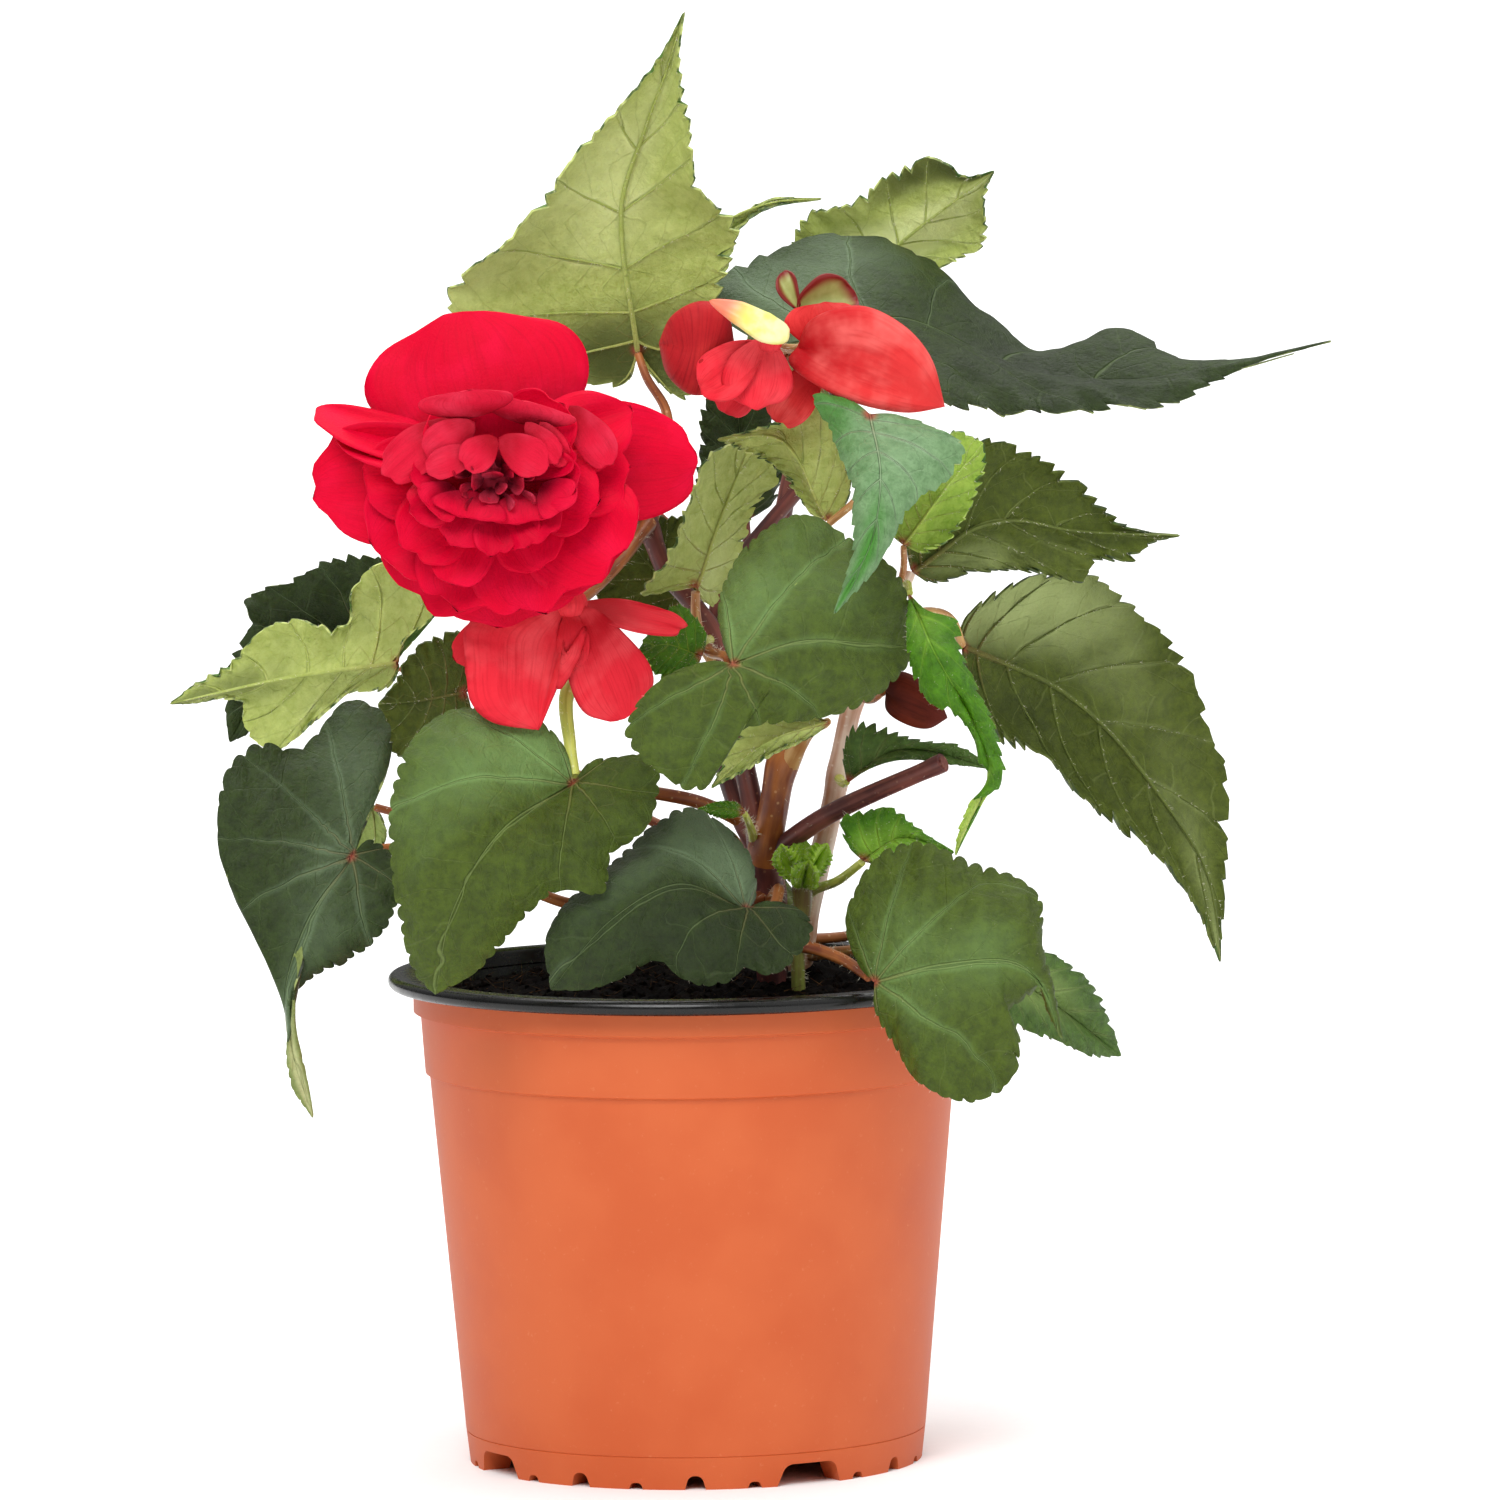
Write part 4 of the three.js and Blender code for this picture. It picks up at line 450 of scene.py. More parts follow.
              (-90, -46, 112), (-88, -46, 101), (-85, -44, 90)],
        right=[(-67, -40, 138), (-61, -40, 133), (-61, -42, 126), (-64, -44, 119), (-72, -46, 113),
               (-80, -47, 109), (-84, -47, 104), (-83, -45, 95), (-80, -42, 86)],
    ),
    dict(
        name="leaf_left_pale", colour="paleLeaf", faces=[-0.2, 0.8, 0.5], dome=2,
        crumple=1.2, tones=[(0.3, 0.3, 0.3), (-0.5, 0.35, -0.4), (0, 0.9, -0.8)],
        at=(-62, 0, 172), mids=[(-83, 8, 169)], tip=(-112, 22, 162),
        left=[(-61, 0, 177), (-53, -2, 184), (-58, 0, 194), (-64, 2, 194), (-71, 4, 189), (-73, 6, 180),
              (-85, 10, 181), (-91, 12, 179), (-98, 16, 172), (-106, 20, 167)],
        right=[(-62, 0, 170), (-65, 2, 166), (-73, 6, 165), (-80, 10, 159), (-90, 14, 152),
               (-96, 16, 158), (-96, 17, 162), (-101, 19, 163), (-107, 21, 162)],
    ),
    dict(
        name="leaf_left_dark", colour="darkLeaf", faces=[-0.3, -0.8, 0.5],
        crumple=1, tones=[(0, 0.5, -0.7)],
        at=(-68, 34, 177), mids=[(-87, 40, 172)], tip=(-100, 40, 152),
        left=[(-64, 32, 183), (-65, 30, 192), (-76, 30, 193), (-86, 31, 188), (-96, 33, 184),
              (-95, 34, 178), (-100, 37, 170), (-101, 39, 160)],
        right=[(-71, 36, 170), (-80, 38, 163), (-90, 40, 156)],
    ),
    dict(
        name="leaf_olive_left", colour="oliveLeaf", faces=[-0.2, 0.8, 0.5],
        crumple=0.8,
        at=(-47, -18, 167), mids=[(-56, -14, 165)], tip=(-66, -10, 164),
        left=[(-44, -18, 176), (-46, -18, 180), (-54, -16, 179), (-60, -14, 174), (-63, -12, 168)],
        right=[(-46, -22, 159), (-57, -18, 152), (-63, -14, 154)],
    ),
    dict(
        name="leaf_narrow", colour="paleLeaf", faces=[0, 0.8, 0.5], dome=1,
        crumple=0.8, tones=[(0.5, 0.3, 0.6)],
        at=(2, -16, 189), mids=[(6, -12, 201)], tip=(14, -12, 220),
        left=[(-4, -18, 188), (-10, -22, 188), (-5, -24, 194), (1, -24, 208), (5, -22, 217)],
        right=[(4, -10, 185), (6, -8, 184), (12, -6, 195), (16, -4, 206), (20, -4, 211)],
    ),
    dict(
        name="leaf_mid_olive", colour="oliveLeaf", faces=[0.1, 0.9, 0.4], dome=1,
        at=(1, 6, 184), mids=[(-7, 4, 191)], tip=(-14, -2, 201),
        left=[(-3, 6, 182), (-12, 4, 182), (-19, 2, 185), (-19, 0, 192)],
        right=[(4, 8, 191), (3, 6, 199), (1, 4, 202), (-8, 0, 203)],
    ),
    dict(
        name="leaf_upright", colour="darkLeaf", faces=[0, -0.9, 0.4], dome=1.5,
        at=(13, 14, 201), mids=[(12, 14, 216)], tip=(11, 8, 232),
        left=[(8, 14, 203), (2, 12, 205), (3, 10, 216), (4, 8, 227)],
        right=[(19, 16, 205), (21, 16, 216), (18, 12, 226)],
    ),
    dict(
        name="leaf_low_right", colour="leaf", faces=[0.1, -0.85, 0.5], hold=1.5, dome=2.5, wave=0.8,
        palm=9, tooth=0.9, scallops=True, quilt=1, crumple=1.1, downy=2,
        tones=[(0, 0.3, 0.55), (0, 0.7, 0.5)],
        at=(39, -54, 108), mids=[(53, -66, 113), (68, -64, 113), (74, -61, 107)], tip=(78, -58, 96),
        left=[(36, -52, 111), (33, -50, 120), (36, -50, 129), (41, -50, 135), (48, -50, 137),
              (60, -54, 133), (69, -56, 130), (74, -58, 125), (74, -60, 116), (76, -60, 108)],
        right=[(39, -58, 102), (43, -62, 95), (48, -66, 88), (58, -68, 84), (67, -68, 89), (69, -66, 97),
               (65, -64, 101), (71, -62, 106), (73, -60, 108), (75, -59, 102)],
    ),
    dict(
        name="leaf_low_behind", colour="oliveLeaf", faces=[0.5, -0.6, 0.5],
        tooth=0.8, tones=[(0, 0.5, 0.9)],
        at=(63, -22, 109), mids=[(77, -13, 99)], tip=(92, -2, 86),
        left=[(66, -20, 114), (76, -14, 110), (86, -8, 102), (90, -4, 93)],
        right=[(63, -26, 103), (68, -24, 96), (79, -14, 90), (87, -6, 86)],
    ),
    dict(
        name="leaf_young_low", colour="youngLeaf", faces=[0, -0.9, 0.3], dome=1, tooth=1.2,
        quilt=1.4, crumple=1.4, downy=4, tones=[(0, 0.3, 1), (0, 0.7, 0.6)],
        at=(37, -36, 132), mids=[(45, -40, 137)], tip=(56, -42, 134),
        left=[(34, -36, 135), (32, -36, 141), (39, -36, 143), (44, -38, 143), (49, -40, 139)],
        right=[(41, -38, 131), (48, -41, 132)],
    ),
    dict(
        name="leaf_young_mid", colour="oliveLeaf", faces=[0, -0.8, 0.4], dome=1, tooth=2.6,
        quilt=1.2, crumple=1.6, downy=3, tones=[(0, 0.4, 0.4)],
        at=(34, -16, 147), mids=[(45, -19, 154)], tip=(64, -22, 150),
        left=[(33, -16, 154), (36, -17, 160), (42, -18, 159), (50, -20, 156), (58, -21, 155)],
        right=[(38, -17, 150), (46, -19, 152), (54, -21, 151)],
    ),
    dict(
        name="leaf_young_left", colour="youngLeaf", faces=[0, -0.9, 0.4], dome=0.8, tooth=0.8,
        quilt=1, crumple=1, downy=3,
        at=(3, -30, 175), mids=[(-4, -34, 178)], tip=(-10, -36, 177),
        left=[(4, -28, 180), (-1, -28, 186), (-7, -31, 183)],
        right=[(1, -32, 172), (-6, -34, 171)],
    ),
    dict(
        name="leaf_bract", colour="youngLeaf", faces=[0, -0.5, 0.8], dome=0.4, tooth=0.4,
        crumple=0.5, downy=2,
        at=(12, -30, 142), mids=[(7, -32, 143)], tip=(2, -34, 143),
        left=[(10, -30, 144), (6, -32, 144.4)],
        right=[(10, -31, 141), (6, -33, 141.4)],
    ),
    dict(
        **LOBED_BACK_LEAF, name="leaf_back_left", faces=[0, 0.7, 0.7], dome=3,
        at=(-14, 40, 208), mids=[(-39, 66, 209)], tip=(-63, 84, 208),
        left=[(-19, 44, 217), (-27, 50, 225), (-47, 66, 231), (-61, 80, 222)],
        right=[(-19, 40, 200), (-23, 44, 189), (-46, 60, 183), (-61, 78, 193)],
    ),
    dict(
        **LOBED_BACK_LEAF, name="leaf_back_middle", faces=[0, 0.6, 0.8], dome=3,
        at=(25, 40, 190), mids=[(25, 76, 179)], tip=(22, 96, 157),
        left=[(20, 40, 194), (14, 50, 190), (11, 66, 178), (14, 86, 163)],
        right=[(30, 40, 192), (38, 50, 187), (42, 66, 175), (33, 86, 160)],
    ),
    dict(
        name="leaf_back_right", colour="darkLeaf", faces=[0.4, 0.8, 0.4], dome=3,
        at=(68, 52, 169), mids=[(90, 70, 152)], tip=(110, 84, 122),
        left=[(70, 54, 177), (81, 60, 180), (95, 72, 170), (108, 84, 146)],
        right=[(69, 54, 160), (75, 60, 150), (86, 70, 141), (99, 80, 128)],
    ),
    dict(
        name="leaf_back_low_left", colour="darkLeaf", faces=[-0.2, 0.8, 0.5], dome=3,
        at=(-28, 46, 145), mids=[(-44, 76, 131)], tip=(-56, 92, 105),
        left=[(-33, 48, 152), (-46, 58, 152), (-60, 72, 145), (-62, 86, 124)],
        right=[(-22, 48, 143), (-11, 52, 137), (-20, 64, 125), (-38, 82, 113)],
    ),
    dict(
        **LOBED_BACK_LEAF, name="leaf_back_low", faces=[0, 0.8, 0.6], dome=2.5,
        at=(11, 50, 128), mids=[(0, 80, 117)], tip=(-12, 98, 97),
        left=[(6, 50, 132), (-5, 58, 129), (-20, 78, 115), (-23, 94, 101)],
        right=[(16, 50, 126), (23, 60, 112), (13, 78, 99), (2, 90, 95)],
    ),
    dict(
        name="leaf_back_low_right", colour="leaf", faces=[0.2, 0.8, 0.4], dome=2,
        at=(51, 44, 115), mids=[(60, 62, 98)], tip=(69, 66, 78),
        left=[(52, 44, 122), (62, 50, 121), (72, 58, 112), (74, 66, 95)],
        right=[(46, 46, 113), (41, 52, 104), (48, 60, 90), (57, 66, 79)],
    ),
    dict(
        **LOBED_BACK_LEAF, name="leaf_back_far_left", faces=[-0.4, 0.7, 0.4], dome=2,
        at=(-69, 24, 140), mids=[(-81, 42, 128)], tip=(-94, 52, 107),
        left=[(-69, 24, 146), (-80, 30, 148), (-96, 42, 141), (-99, 50, 123)],
        right=[(-66, 26, 134), (-70, 34, 122), (-81, 44, 112)],
    ),
    dict(
        name="leaf_back_top", colour="darkLeaf", faces=[0.1, 0.6, 0.8], dome=2.5,
        at=(21, 52, 246), mids=[(32, 82, 237)], tip=(45, 98, 223),
        left=[(23, 52, 252), (36, 60, 254), (50, 78, 247), (54, 92, 233)],
        right=[(16, 54, 242), (13, 62, 234), (23, 80, 226), (34, 92, 222)],
    ),
]

# Flowers and buds. A petal gives where it starts, its turn seen from the front in degrees from straight up,
# its reach and width, and how it leans and tilts. The larger blunt is, the nearer its tip it is broadest.
# In the large bloom, at moves a petal's foot sideways and up, and front is how far out it is.

BLOOM = dict(x=-38.5, z=217, core=dict(centre=(-38.5, -66, 217), radii=(6, 9, 6)))
BLOOM_OUTER = [
    dict(turn=-11, front=58, reach=33, width=47, lean=-8, cup=-2.5, bend=-1, blunt=1.7),
    dict(turn=-72, front=61, reach=40, width=17, tilt=-60, blunt=1.7),
    dict(turn=-77, front=65, reach=35, width=14, tilt=-55, blunt=1.8, lean=-1),
    dict(turn=-96, front=62.5, reach=38.5, width=26, bend=1, blunt=2.4),
    dict(turn=213, front=64, reach=32.5, width=27, lean=-1, tilt=-6, blunt=2.8),
    dict(turn=176, front=62, reach=32.5, width=32, cup=-1, blunt=2.8),
    dict(turn=134, front=64, reach=31.5, width=27, lean=-1, tilt=6, blunt=2.8),
    dict(turn=85, front=60, reach=41, width=25, lean=-7, cup=-2, bend=3, blunt=2),
    dict(turn=67, front=65.5, reach=29.5, width=20, tilt=32, blunt=2.4),
]
BLOOM_MIDDLE = [
    dict(turn=268, front=61, reach=28, width=18, lean=8, tilt=-14),
    dict(turn=238, front=60, reach=29.5, width=24, lean=9, cup=1),
    dict(turn=201, front=61, reach=29.5, width=21, lean=9),
    dict(turn=166, front=61.5, reach=30, width=23, lean=9),
    dict(turn=127, front=62, reach=30.5, width=27, lean=10, blunt=4.6),
    dict(turn=92, front=62, reach=27, width=18, lean=9, tilt=10),
    dict(turn=40, front=65, reach=20, width=17, lean=10, tilt=22, cup=1.2),
    dict(turn=-38, front=65, reach=19, width=16, lean=10, tilt=-24, cup=1.2),
    dict(turn=4, front=66, reach=15, width=24, lean=10, cup=1.5),
    dict(turn=231, front=65, reach=24.5, width=17, lean=10.5),
    dict(turn=206, front=64.5, reach=25, width=14, lean=10.5),
    dict(turn=157, front=65, reach=21.5, width=15, lean=10.5),
    dict(turn=109, front=65.5, reach=21.5, width=17, lean=11, tilt=8),
]
BLOOM_INNER = [
    dict(turn=183, front=68, reach=16.5, width=9.5, lean=12),
    dict(turn=160, front=68.4, reach=16, width=9.5, lean=12),
    dict(turn=138, front=68, reach=16.5, width=11, lean=12, tilt=6),
    dict(turn=215, front=68, reach=17, width=11.5, lean=12, tilt=-6),
    dict(turn=248, front=67.5, reach=19.5, width=11, lean=12, tilt=-12),
    dict(turn=97, front=68.5, reach=17, width=13, lean=13, tilt=10, cup=1.5),
    dict(turn=272, front=68, reach=18, width=9, lean=12, tilt=-26),
    dict(turn=72, front=68, reach=17, width=10, lean=12, tilt=30),
    dict(at=(-5, -3.2), turn=194, front=77.5, reach=5.5, width=16, lean=4, cup=0.6, blunt=2.4),
    dict(at=(5, -3.4), turn=174, front=76.5, reach=6.5, width=15, lean=4, cup=0.6, blunt=2.4),
    dict(at=(-9, -2), turn=226, front=76.5, reach=7, width=10, lean=4.5, cup=1),
    dict(at=(9, -2), turn=132, front=77, reach=6.5, width=10, lean=4.5, cup=1),
]
BLOOM_FOLDED = [
    dict(at=(-6, 11.8), turn=-5, front=77, reach=6, width=20, lean=7, cup=-1, blunt=2.6),
    dict(at=(5, 10.5), turn=14, front=75, reach=5, width=22, lean=5, cup=-1, blunt=2.6),
    dict(at=(-9, 11.5), turn=231, front=76, reach=18, width=10, lean=3, tilt=-10, cup=-0.8, blunt=2.6),
    dict(at=(-4.5, 11), turn=238, front=78, reach=12, width=9, lean=2.5, cup=-0.8, blunt=2.4),
    dict(at=(-3.5, 5.5), turn=250, front=79.5, reach=12, width=6.5, lean=2, cup=-0.8, blunt=2.2),
    dict(at=(0, 8), turn=229, front=80.5, reach=9, width=7.5, lean=2, cup=-0.8, blunt=2.2),
    dict(at=(0.5, 8), turn=124, front=80.5, reach=11.5, width=8.5, lean=2, cup=-0.8, blunt=2.4),
    dict(at=(6, 11), turn=140, front=79.5, reach=10.5, width=5.5, lean=2, cup=-0.6, blunt=2),
    dict(at=(9, 11), turn=150, front=78, reach=10.5, width=5.5, lean=2, cup=-0.6, blunt=2),
    dict(at=(15, 14), turn=146, front=73, reach=15, width=8.5, lean=2, tilt=14, cup=-0.6, blunt=2.6),
]
HEART_FOLDS = 15
GOLDEN_ANGLE = 137.5
LOW_CORE = dict(centre=(-24, -51.5, 188), radii=(3.6, 4.4, 3.6))
LOW_SIDE_PETAL = dict(
    at=(-24, -53, 188), tip=(-31, -55, 162), hold=1.3,
    left=[(-39, -55, 187), (-46, -55, 184), (-46, -57, 176), (-45, -57, 168), (-41, -56, 164)],
    right=[(-27, -55, 170), (-22, -55, 178), (-21, -54, 184)],
)
LOW_PETALS = [
    dict(root=(-24, -50.5, 188), turn=243, reach=27, width=13, lean=-3),
    dict(root=(-22, -54, 188), turn=159, reach=25.5, width=17, lean=1.5, cup=-1, blunt=3.4),
    dict(root=(-22, -51, 188), turn=104, reach=22.5, width=12, lean=-4, tilt=62, blunt=1.6),
    dict(root=(-24, -54.6, 187), turn=176, reach=12, width=7, lean=1, cup=-1.5, blunt=2),
]
BUD_LEFT = dict(
    at=(11, -38, 240), tip=(-5, -40, 242), plump=7, hold=1,
    left=[(9, -40, 249), (4, -42, 251), (-2, -42, 248)],
    right=[(9, -40, 233), (2, -42, 231), (-3, -42, 235)],
)
BUD_RIGHT = dict(
    at=(24, -41, 241), tip=(55, -40, 228), plump=6, hold=1,
    left=[(27, -45, 247), (37, -47, 250), (46, -46, 246), (52, -44, 239)],
    right=[(22, -43, 238), (28, -46, 233), (37, -46, 229), (47, -43, 227)],
)
BUD_RIGHT_PETALS = [
    dict(root=(30, -40, 240), turn=-8, reach=10, width=15, lean=-2),
    dict(root=(29, -40.5, 238), turn=216, reach=16, width=10, lean=-2),
]
SMALL_CORE = dict(centre=(18.4, -48.6, 242.6), radii=(2.6, 3.4, 2.4))
BLOOM_SMALL = [
    dict(root=(17.5, -48.4, 243.4), turn=192, reach=14.5, width=15, lean=3.5, cup=-2.5, blunt=2.8),
    dict(root=(17, -46.4, 242), turn=236, reach=16.5, width=12, lean=1.5, tilt=-28, cup=2.5, blunt=2.6),
    dict(root=(17, -46, 241), turn=212, reach=16, width=9, lean=-0.5, cup=1),
]
OVARY = dict(
    path=[(22.4, -53, 243.9), (17.5, -55.4, 245.4), (12, -56.2, 248.6), (5.6, -54.6, 251.6)],
    radii=[2.4, 3.4, 2.6, 0.8],
)
BRACTS = [
    dict(root=(24.5, -36.6, 248.6), turn=-30, reach=8.5, width=4.4, lean=-1, bend=1, cup=1.2),
    dict(root=(24, -36.6, 248.6), turn=62, reach=12.5, width=10, lean=-1, bend=2.6, cup=2.4),
]
BUD_LOW = dict(
    at=(42, -36, 168), tip=(55, -36, 162), plump=3.4, hold=1,
    left=[(41, -36, 170), (45, -38, 172), (52, -38, 168)],
    right=[(42, -36, 164), (46, -36, 161), (51, -36, 160)],
)

# Smooth lines

class SmoothLine:
    """A smooth curve through points, read by its share of the length."""

    STEPS = 24

    def __init__(self, points):
        self.points = np.array([tuple(point) for point in self.samples([Vector(p) for p in points])])
        spans = np.linalg.norm(np.diff(self.points, axis=0), axis=1)
        self.reached = np.concatenate([[0], np.cumsum(spans)])
        self.length = float(self.reached[-1])
        self.known = {}

    def samples(self, knots):
        """A centripetal spline through the knots, which doesn't overshoot between close ones."""
        padded = [knots[0] * 2 - knots[1], *knots, knots[-1] * 2 - knots[-2]]
        found = [knots[0]]
        for i in range(len(knots) - 1):
            p0, p1, p2, p3 = padded[i:i + 4]
            d0, d1, d2 = (math.sqrt((b - a).length) for a, b in ((p0, p1), (p1, p2), (p2, p3)))
            leave = ((p1 - p0) / d0 - (p2 - p0) / (d0 + d1) + (p2 - p1) / d1) * d1
            arrive = ((p2 - p1) / d1 - (p3 - p1) / (d1 + d2) + (p3 - p2) / d2) * d1
            for k in range(1, self.STEPS + 1):
                t = k / self.STEPS
                bend = (p2 - p1) * 3 - leave * 2 - arrive
                ease = (p1 - p2) * 2 + leave + arrive
                found.append(p1 + leave * t + bend * t * t + ease * t ** 3)
        return found

    def at(self, share):
        """The point at this share of the length."""
        key = round(share, 6)
        if key not in self.known:
            goal = min(max(share, 0), 1) * self.length
            spot = [float(np.interp(goal, self.reached, self.points[:, k])) for k in range(3)]
            self.known[key] = Vector(spot)
        return self.known[key]

    def frames(self, rows):
        """Centre, two cross directions and tangent at even steps, without twist."""
        centres = [self.at(row / rows) for row in range(rows + 1)]
        side = None
        found = []
        for row, centre in enumerate(centres):
            before = centres[max(row - 1, 0)]
            after = centres[min(row + 1, rows)]
            ahead = (after - before).normalized()
            if side is None:
                side = ahead.orthogonal()
            side = (side - ahead * side.dot(ahead)).normalized()
            found.append((centre, side, ahead.cross(side), ahead))
        return found


def mix(a, b, share):
    return a + (b - a) * share


def smooth_step(low, high, value):
    t = min(max((value - low) / (high - low), 0), 1)
    return t * t * (3 - 2 * t)


def through(values, share):
    """Runs evenly through a list of values."""
    reached = share * (len(values) - 1)
    before = min(int(reached), len(values) - 2)
    return mix(values[before], values[before + 1], reached - before)


# Mesh making

def new_mesh():
    bm = bmesh.new()
    bm.loops.layers.uv.verify()
    return bm


def lay_grid(bm, columns, rows, place, material=0):
    """Adds a sheet of columns by rows cells, each point moved to place(across, along), both 0 to 1."""
    made = bmesh.ops.create_grid(bm, x_segments=columns, y_segments=rows, size=0.5, calc_uvs=True)
    verts = made["verts"]
    for vert in verts:
        vert.co = place(vert.co.x + 0.5, vert.co.y + 0.5)
    for face in {face for vert in verts for face in vert.link_faces}:
        face.material_index = material
        face.smooth = True
    return verts


def object_from(bm, name):
    """An object with this mesh, in the scene."""
    mesh = bpy.data.meshes.new(name)
    bm.to_mesh(mesh)
    bm.free()
    made = bpy.data.objects.new(name, mesh)
    bpy.context.scene.collection.objects.link(made)
    return made


def evaluated(body, *tools):
    """The body's mesh with its modifiers applied; the body and the tools are removed."""
    mesh = bpy.data.meshes.new_from_object(body.evaluated_get(bpy.context.evaluated_depsgraph_get()))
    for item in (body, *tools):
        old = item.data
        bpy.data.objects.remove(item)
        bpy.data.meshes.remove(old)
    result = bmesh.new()
    result.from_mesh(mesh)
    bpy.data.meshes.remove(mesh)
    return result


def close_up(bm, verts, distance=0.002):
    """Merges the seam and the poles of a rolled sheet."""
    bmesh.ops.remove_doubles(bm, verts=verts, dist=distance)


def turn_towards(bm, faces, direction):
    """Turns faces over if on the whole they look away from a direction."""
    total = Vector()
    for face in faces:
        total += face.calc_area() * face.normal
    if total.dot(Vector(direction)) < 0:
        bmesh.ops.reverse_faces(bm, faces=faces)


def add_tube(bm, line, radii, sides=10, step=1.2, material=0, swelling=None):
    """Adds a round stalk along a line, with flat closed ends."""
    rows = max(4, round(line.length / step))
    frames = line.frames(rows)

    def place(across, along):
        ring = round(along * (rows + 2)) - 1
        held = min(max(ring, 0), rows)
        centre, side, top, ahead = frames[held]
        if ring != held:
            return centre
        angle = math.tau * across
        radius = through(radii, held / rows)
        if swelling:
            radius *= swelling(centre)
        return centre + (side * math.cos(angle) + top * math.sin(angle)) * radius

    verts = lay_grid(bm, sides, rows + 2, place, material)
    close_up(bm, verts)
    return [vert for vert in verts if vert.is_valid]


def copies_of(shape, count):
    """A mesh with count copies of a small shape, 0 to 1 high, stacked up so that each can be told."""
    spacing = 2
    bm = new_mesh()
    shape(bm)
    total = 1
    while total < count:
        made = bmesh.ops.duplicate(bm, geom=bm.verts[:] + bm.edges[:] + bm.faces[:])
        fresh = [item for item in made["geom"] if isinstance(item, bmesh.types.BMVert)]
        bmesh.ops.translate(bm, verts=fresh, vec=(0, 0, spacing * total))
        total *= 2
    spare = [vert for vert in bm.verts if vert.co.z > spacing * count - 0.5]
    bmesh.ops.delete(bm, geom=spare, context="VERTS")
    return bm, spacing


def scatter(shape, placements):
    """A mesh with one copy of a small shape at each placement."""
    bm, spacing = copies_of(shape, len(placements))
    for vert in bm.verts:
        index = int((vert.co.z + 0.25) // spacing)
        local = vert.co - Vector((0, 0, index * spacing))
        vert.co = placements[index] @ local
    return bm


def spike(bm):
    """A three-sided hair, one high and one in radius."""
    lift = Matrix.Translation((0, 0, 0.5))
    bmesh.ops.create_cone(bm, cap_ends=True, segments=3, radius1=1, radius2=0, depth=1, matrix=lift)


def hair_placement(foot, direction, length, radius=HAIR_RADIUS):
    """Turns, stretches and moves a spike so that it stands on its foot as a hair."""
    turn = Vector(direction).to_track_quat("Z", "Y").to_matrix().to_4x4()
    return Matrix.Translation(foot) @ turn @ Matrix.Diagonal((radius, radius, length, 1))


def solidified(bm, thickness, materials):
    """The sheet with its thickness: its upper side keeps its material, the rest takes the next."""
    holder = object_from(bm, "sheet")
    for _ in range(materials):
        holder.data.materials.append(None)
    thick = holder.modifiers.new("thickness", "SOLIDIFY")
    thick.thickness = thickness
    thick.offset = 0
    thick.use_even_offset = False
    thick.material_offset = 1 if materials > 1 else 0
    thick.material_offset_rim = 2 if materials > 2 else 0
    return evaluated(holder)


def mark_corners(bm, degrees):
    """Edges that fold by more than this stay crisp under smooth shading."""
    limit = math.radians(degrees)
    for edge in bm.edges:
        edge.smooth = edge.calc_face_angle(0) < limit


def finish_piece(name, bm, materials, stands_for=(), corners=50):
    """Scales a mesh to metres, makes it a piece that rides on the part and gives it its materials. Edges
    that fold by more than corners degrees stay crisp."""
    bmesh.ops.scale(bm, verts=bm.verts, vec=(MILLIMETRE, MILLIMETRE, MILLIMETRE))
    mark_corners(bm, corners)
    for face in bm.faces:
        face.smooth = True
    piece = object_from(bm, name)
    for material in materials:
        piece.data.materials.append(material)
    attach(piece, BODY)
    if stands_for:
        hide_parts(*stands_for)


# Materials

# What the nodes of a kind are set to, which sockets a list of inputs fills and which output is given back.
NODE_SETTINGS = dict(MapRange=dict(interpolation_type="SMOOTHSTEP"), Mix=dict(data_type="RGBA"))
NODE_SOCKETS = dict(Mix=(0, 6, 7))
NODE_OUTPUTS = dict(Mix=2, Attribute="Fac")


def paint(colour):
    """An sRGB hex colour as Blender's linear one."""
    channels = [int(colour[i:i + 2], 16) / 255 for i in (0, 2, 4)]
    linear = [c / 12.92 if c <= 0.04045 else ((c + 0.055) / 1.055) ** 2.4 for c in channels]
    return (*linear, 1)


def per_mm(size):
    """Texture scale on Object coordinates for a pattern of this size in millimetres."""
    return 1 / (size * MILLIMETRE)


def add_node(tree, kind, inputs=(), take=None, **settings):
    """Adds one node with its settings and links, and gives back one of its outputs."""
    node = tree.nodes.new(f"ShaderNode{kind}")
    for name, value in {**NODE_SETTINGS.get(kind, {}), **settings}.items():
        setattr(node, name, value)
    pairs = inputs.items() if isinstance(inputs, dict) else zip(NODE_SOCKETS.get(kind, range(9)), inputs)
    for socket, value in pairs:
        if isinstance(value, bpy.types.NodeSocket):
            tree.links.new(value, node.inputs[socket])
        else:
            node.inputs[socket].default_value = value
    return node.outputs[NODE_OUTPUTS.get(kind, 0) if take is None else take]


def start_material(name, **shader_values):
    """A material, its node tree and shader, and the place on the piece that its patterns read."""
    material = bpy.data.materials.new(name)
    material.use_nodes = True
    tree = material.node_tree
    shader = tree.nodes["Principled BSDF"]
    for socket, value in shader_values.items():
        shader.inputs[socket.replace("_", " ")].default_value = value
    return material, tree, shader, add_node(tree, "TexCoord", take="Object")


def finish_material(tree, shader, colour, roughness, height, depth_mm, strength):
    """Links a material's colour, roughness and relief to its shader."""
    tree.links.new(colour, shader.inputs["Base Color"])
    tree.links.new(roughness, shader.inputs["Roughness"])
    depth = depth_mm * MILLIMETRE
    relief = add_node(tree, "Bump", {"Height": height, "Distance": depth, "Strength": strength})
    tree.links.new(relief, shader.inputs["Normal"])


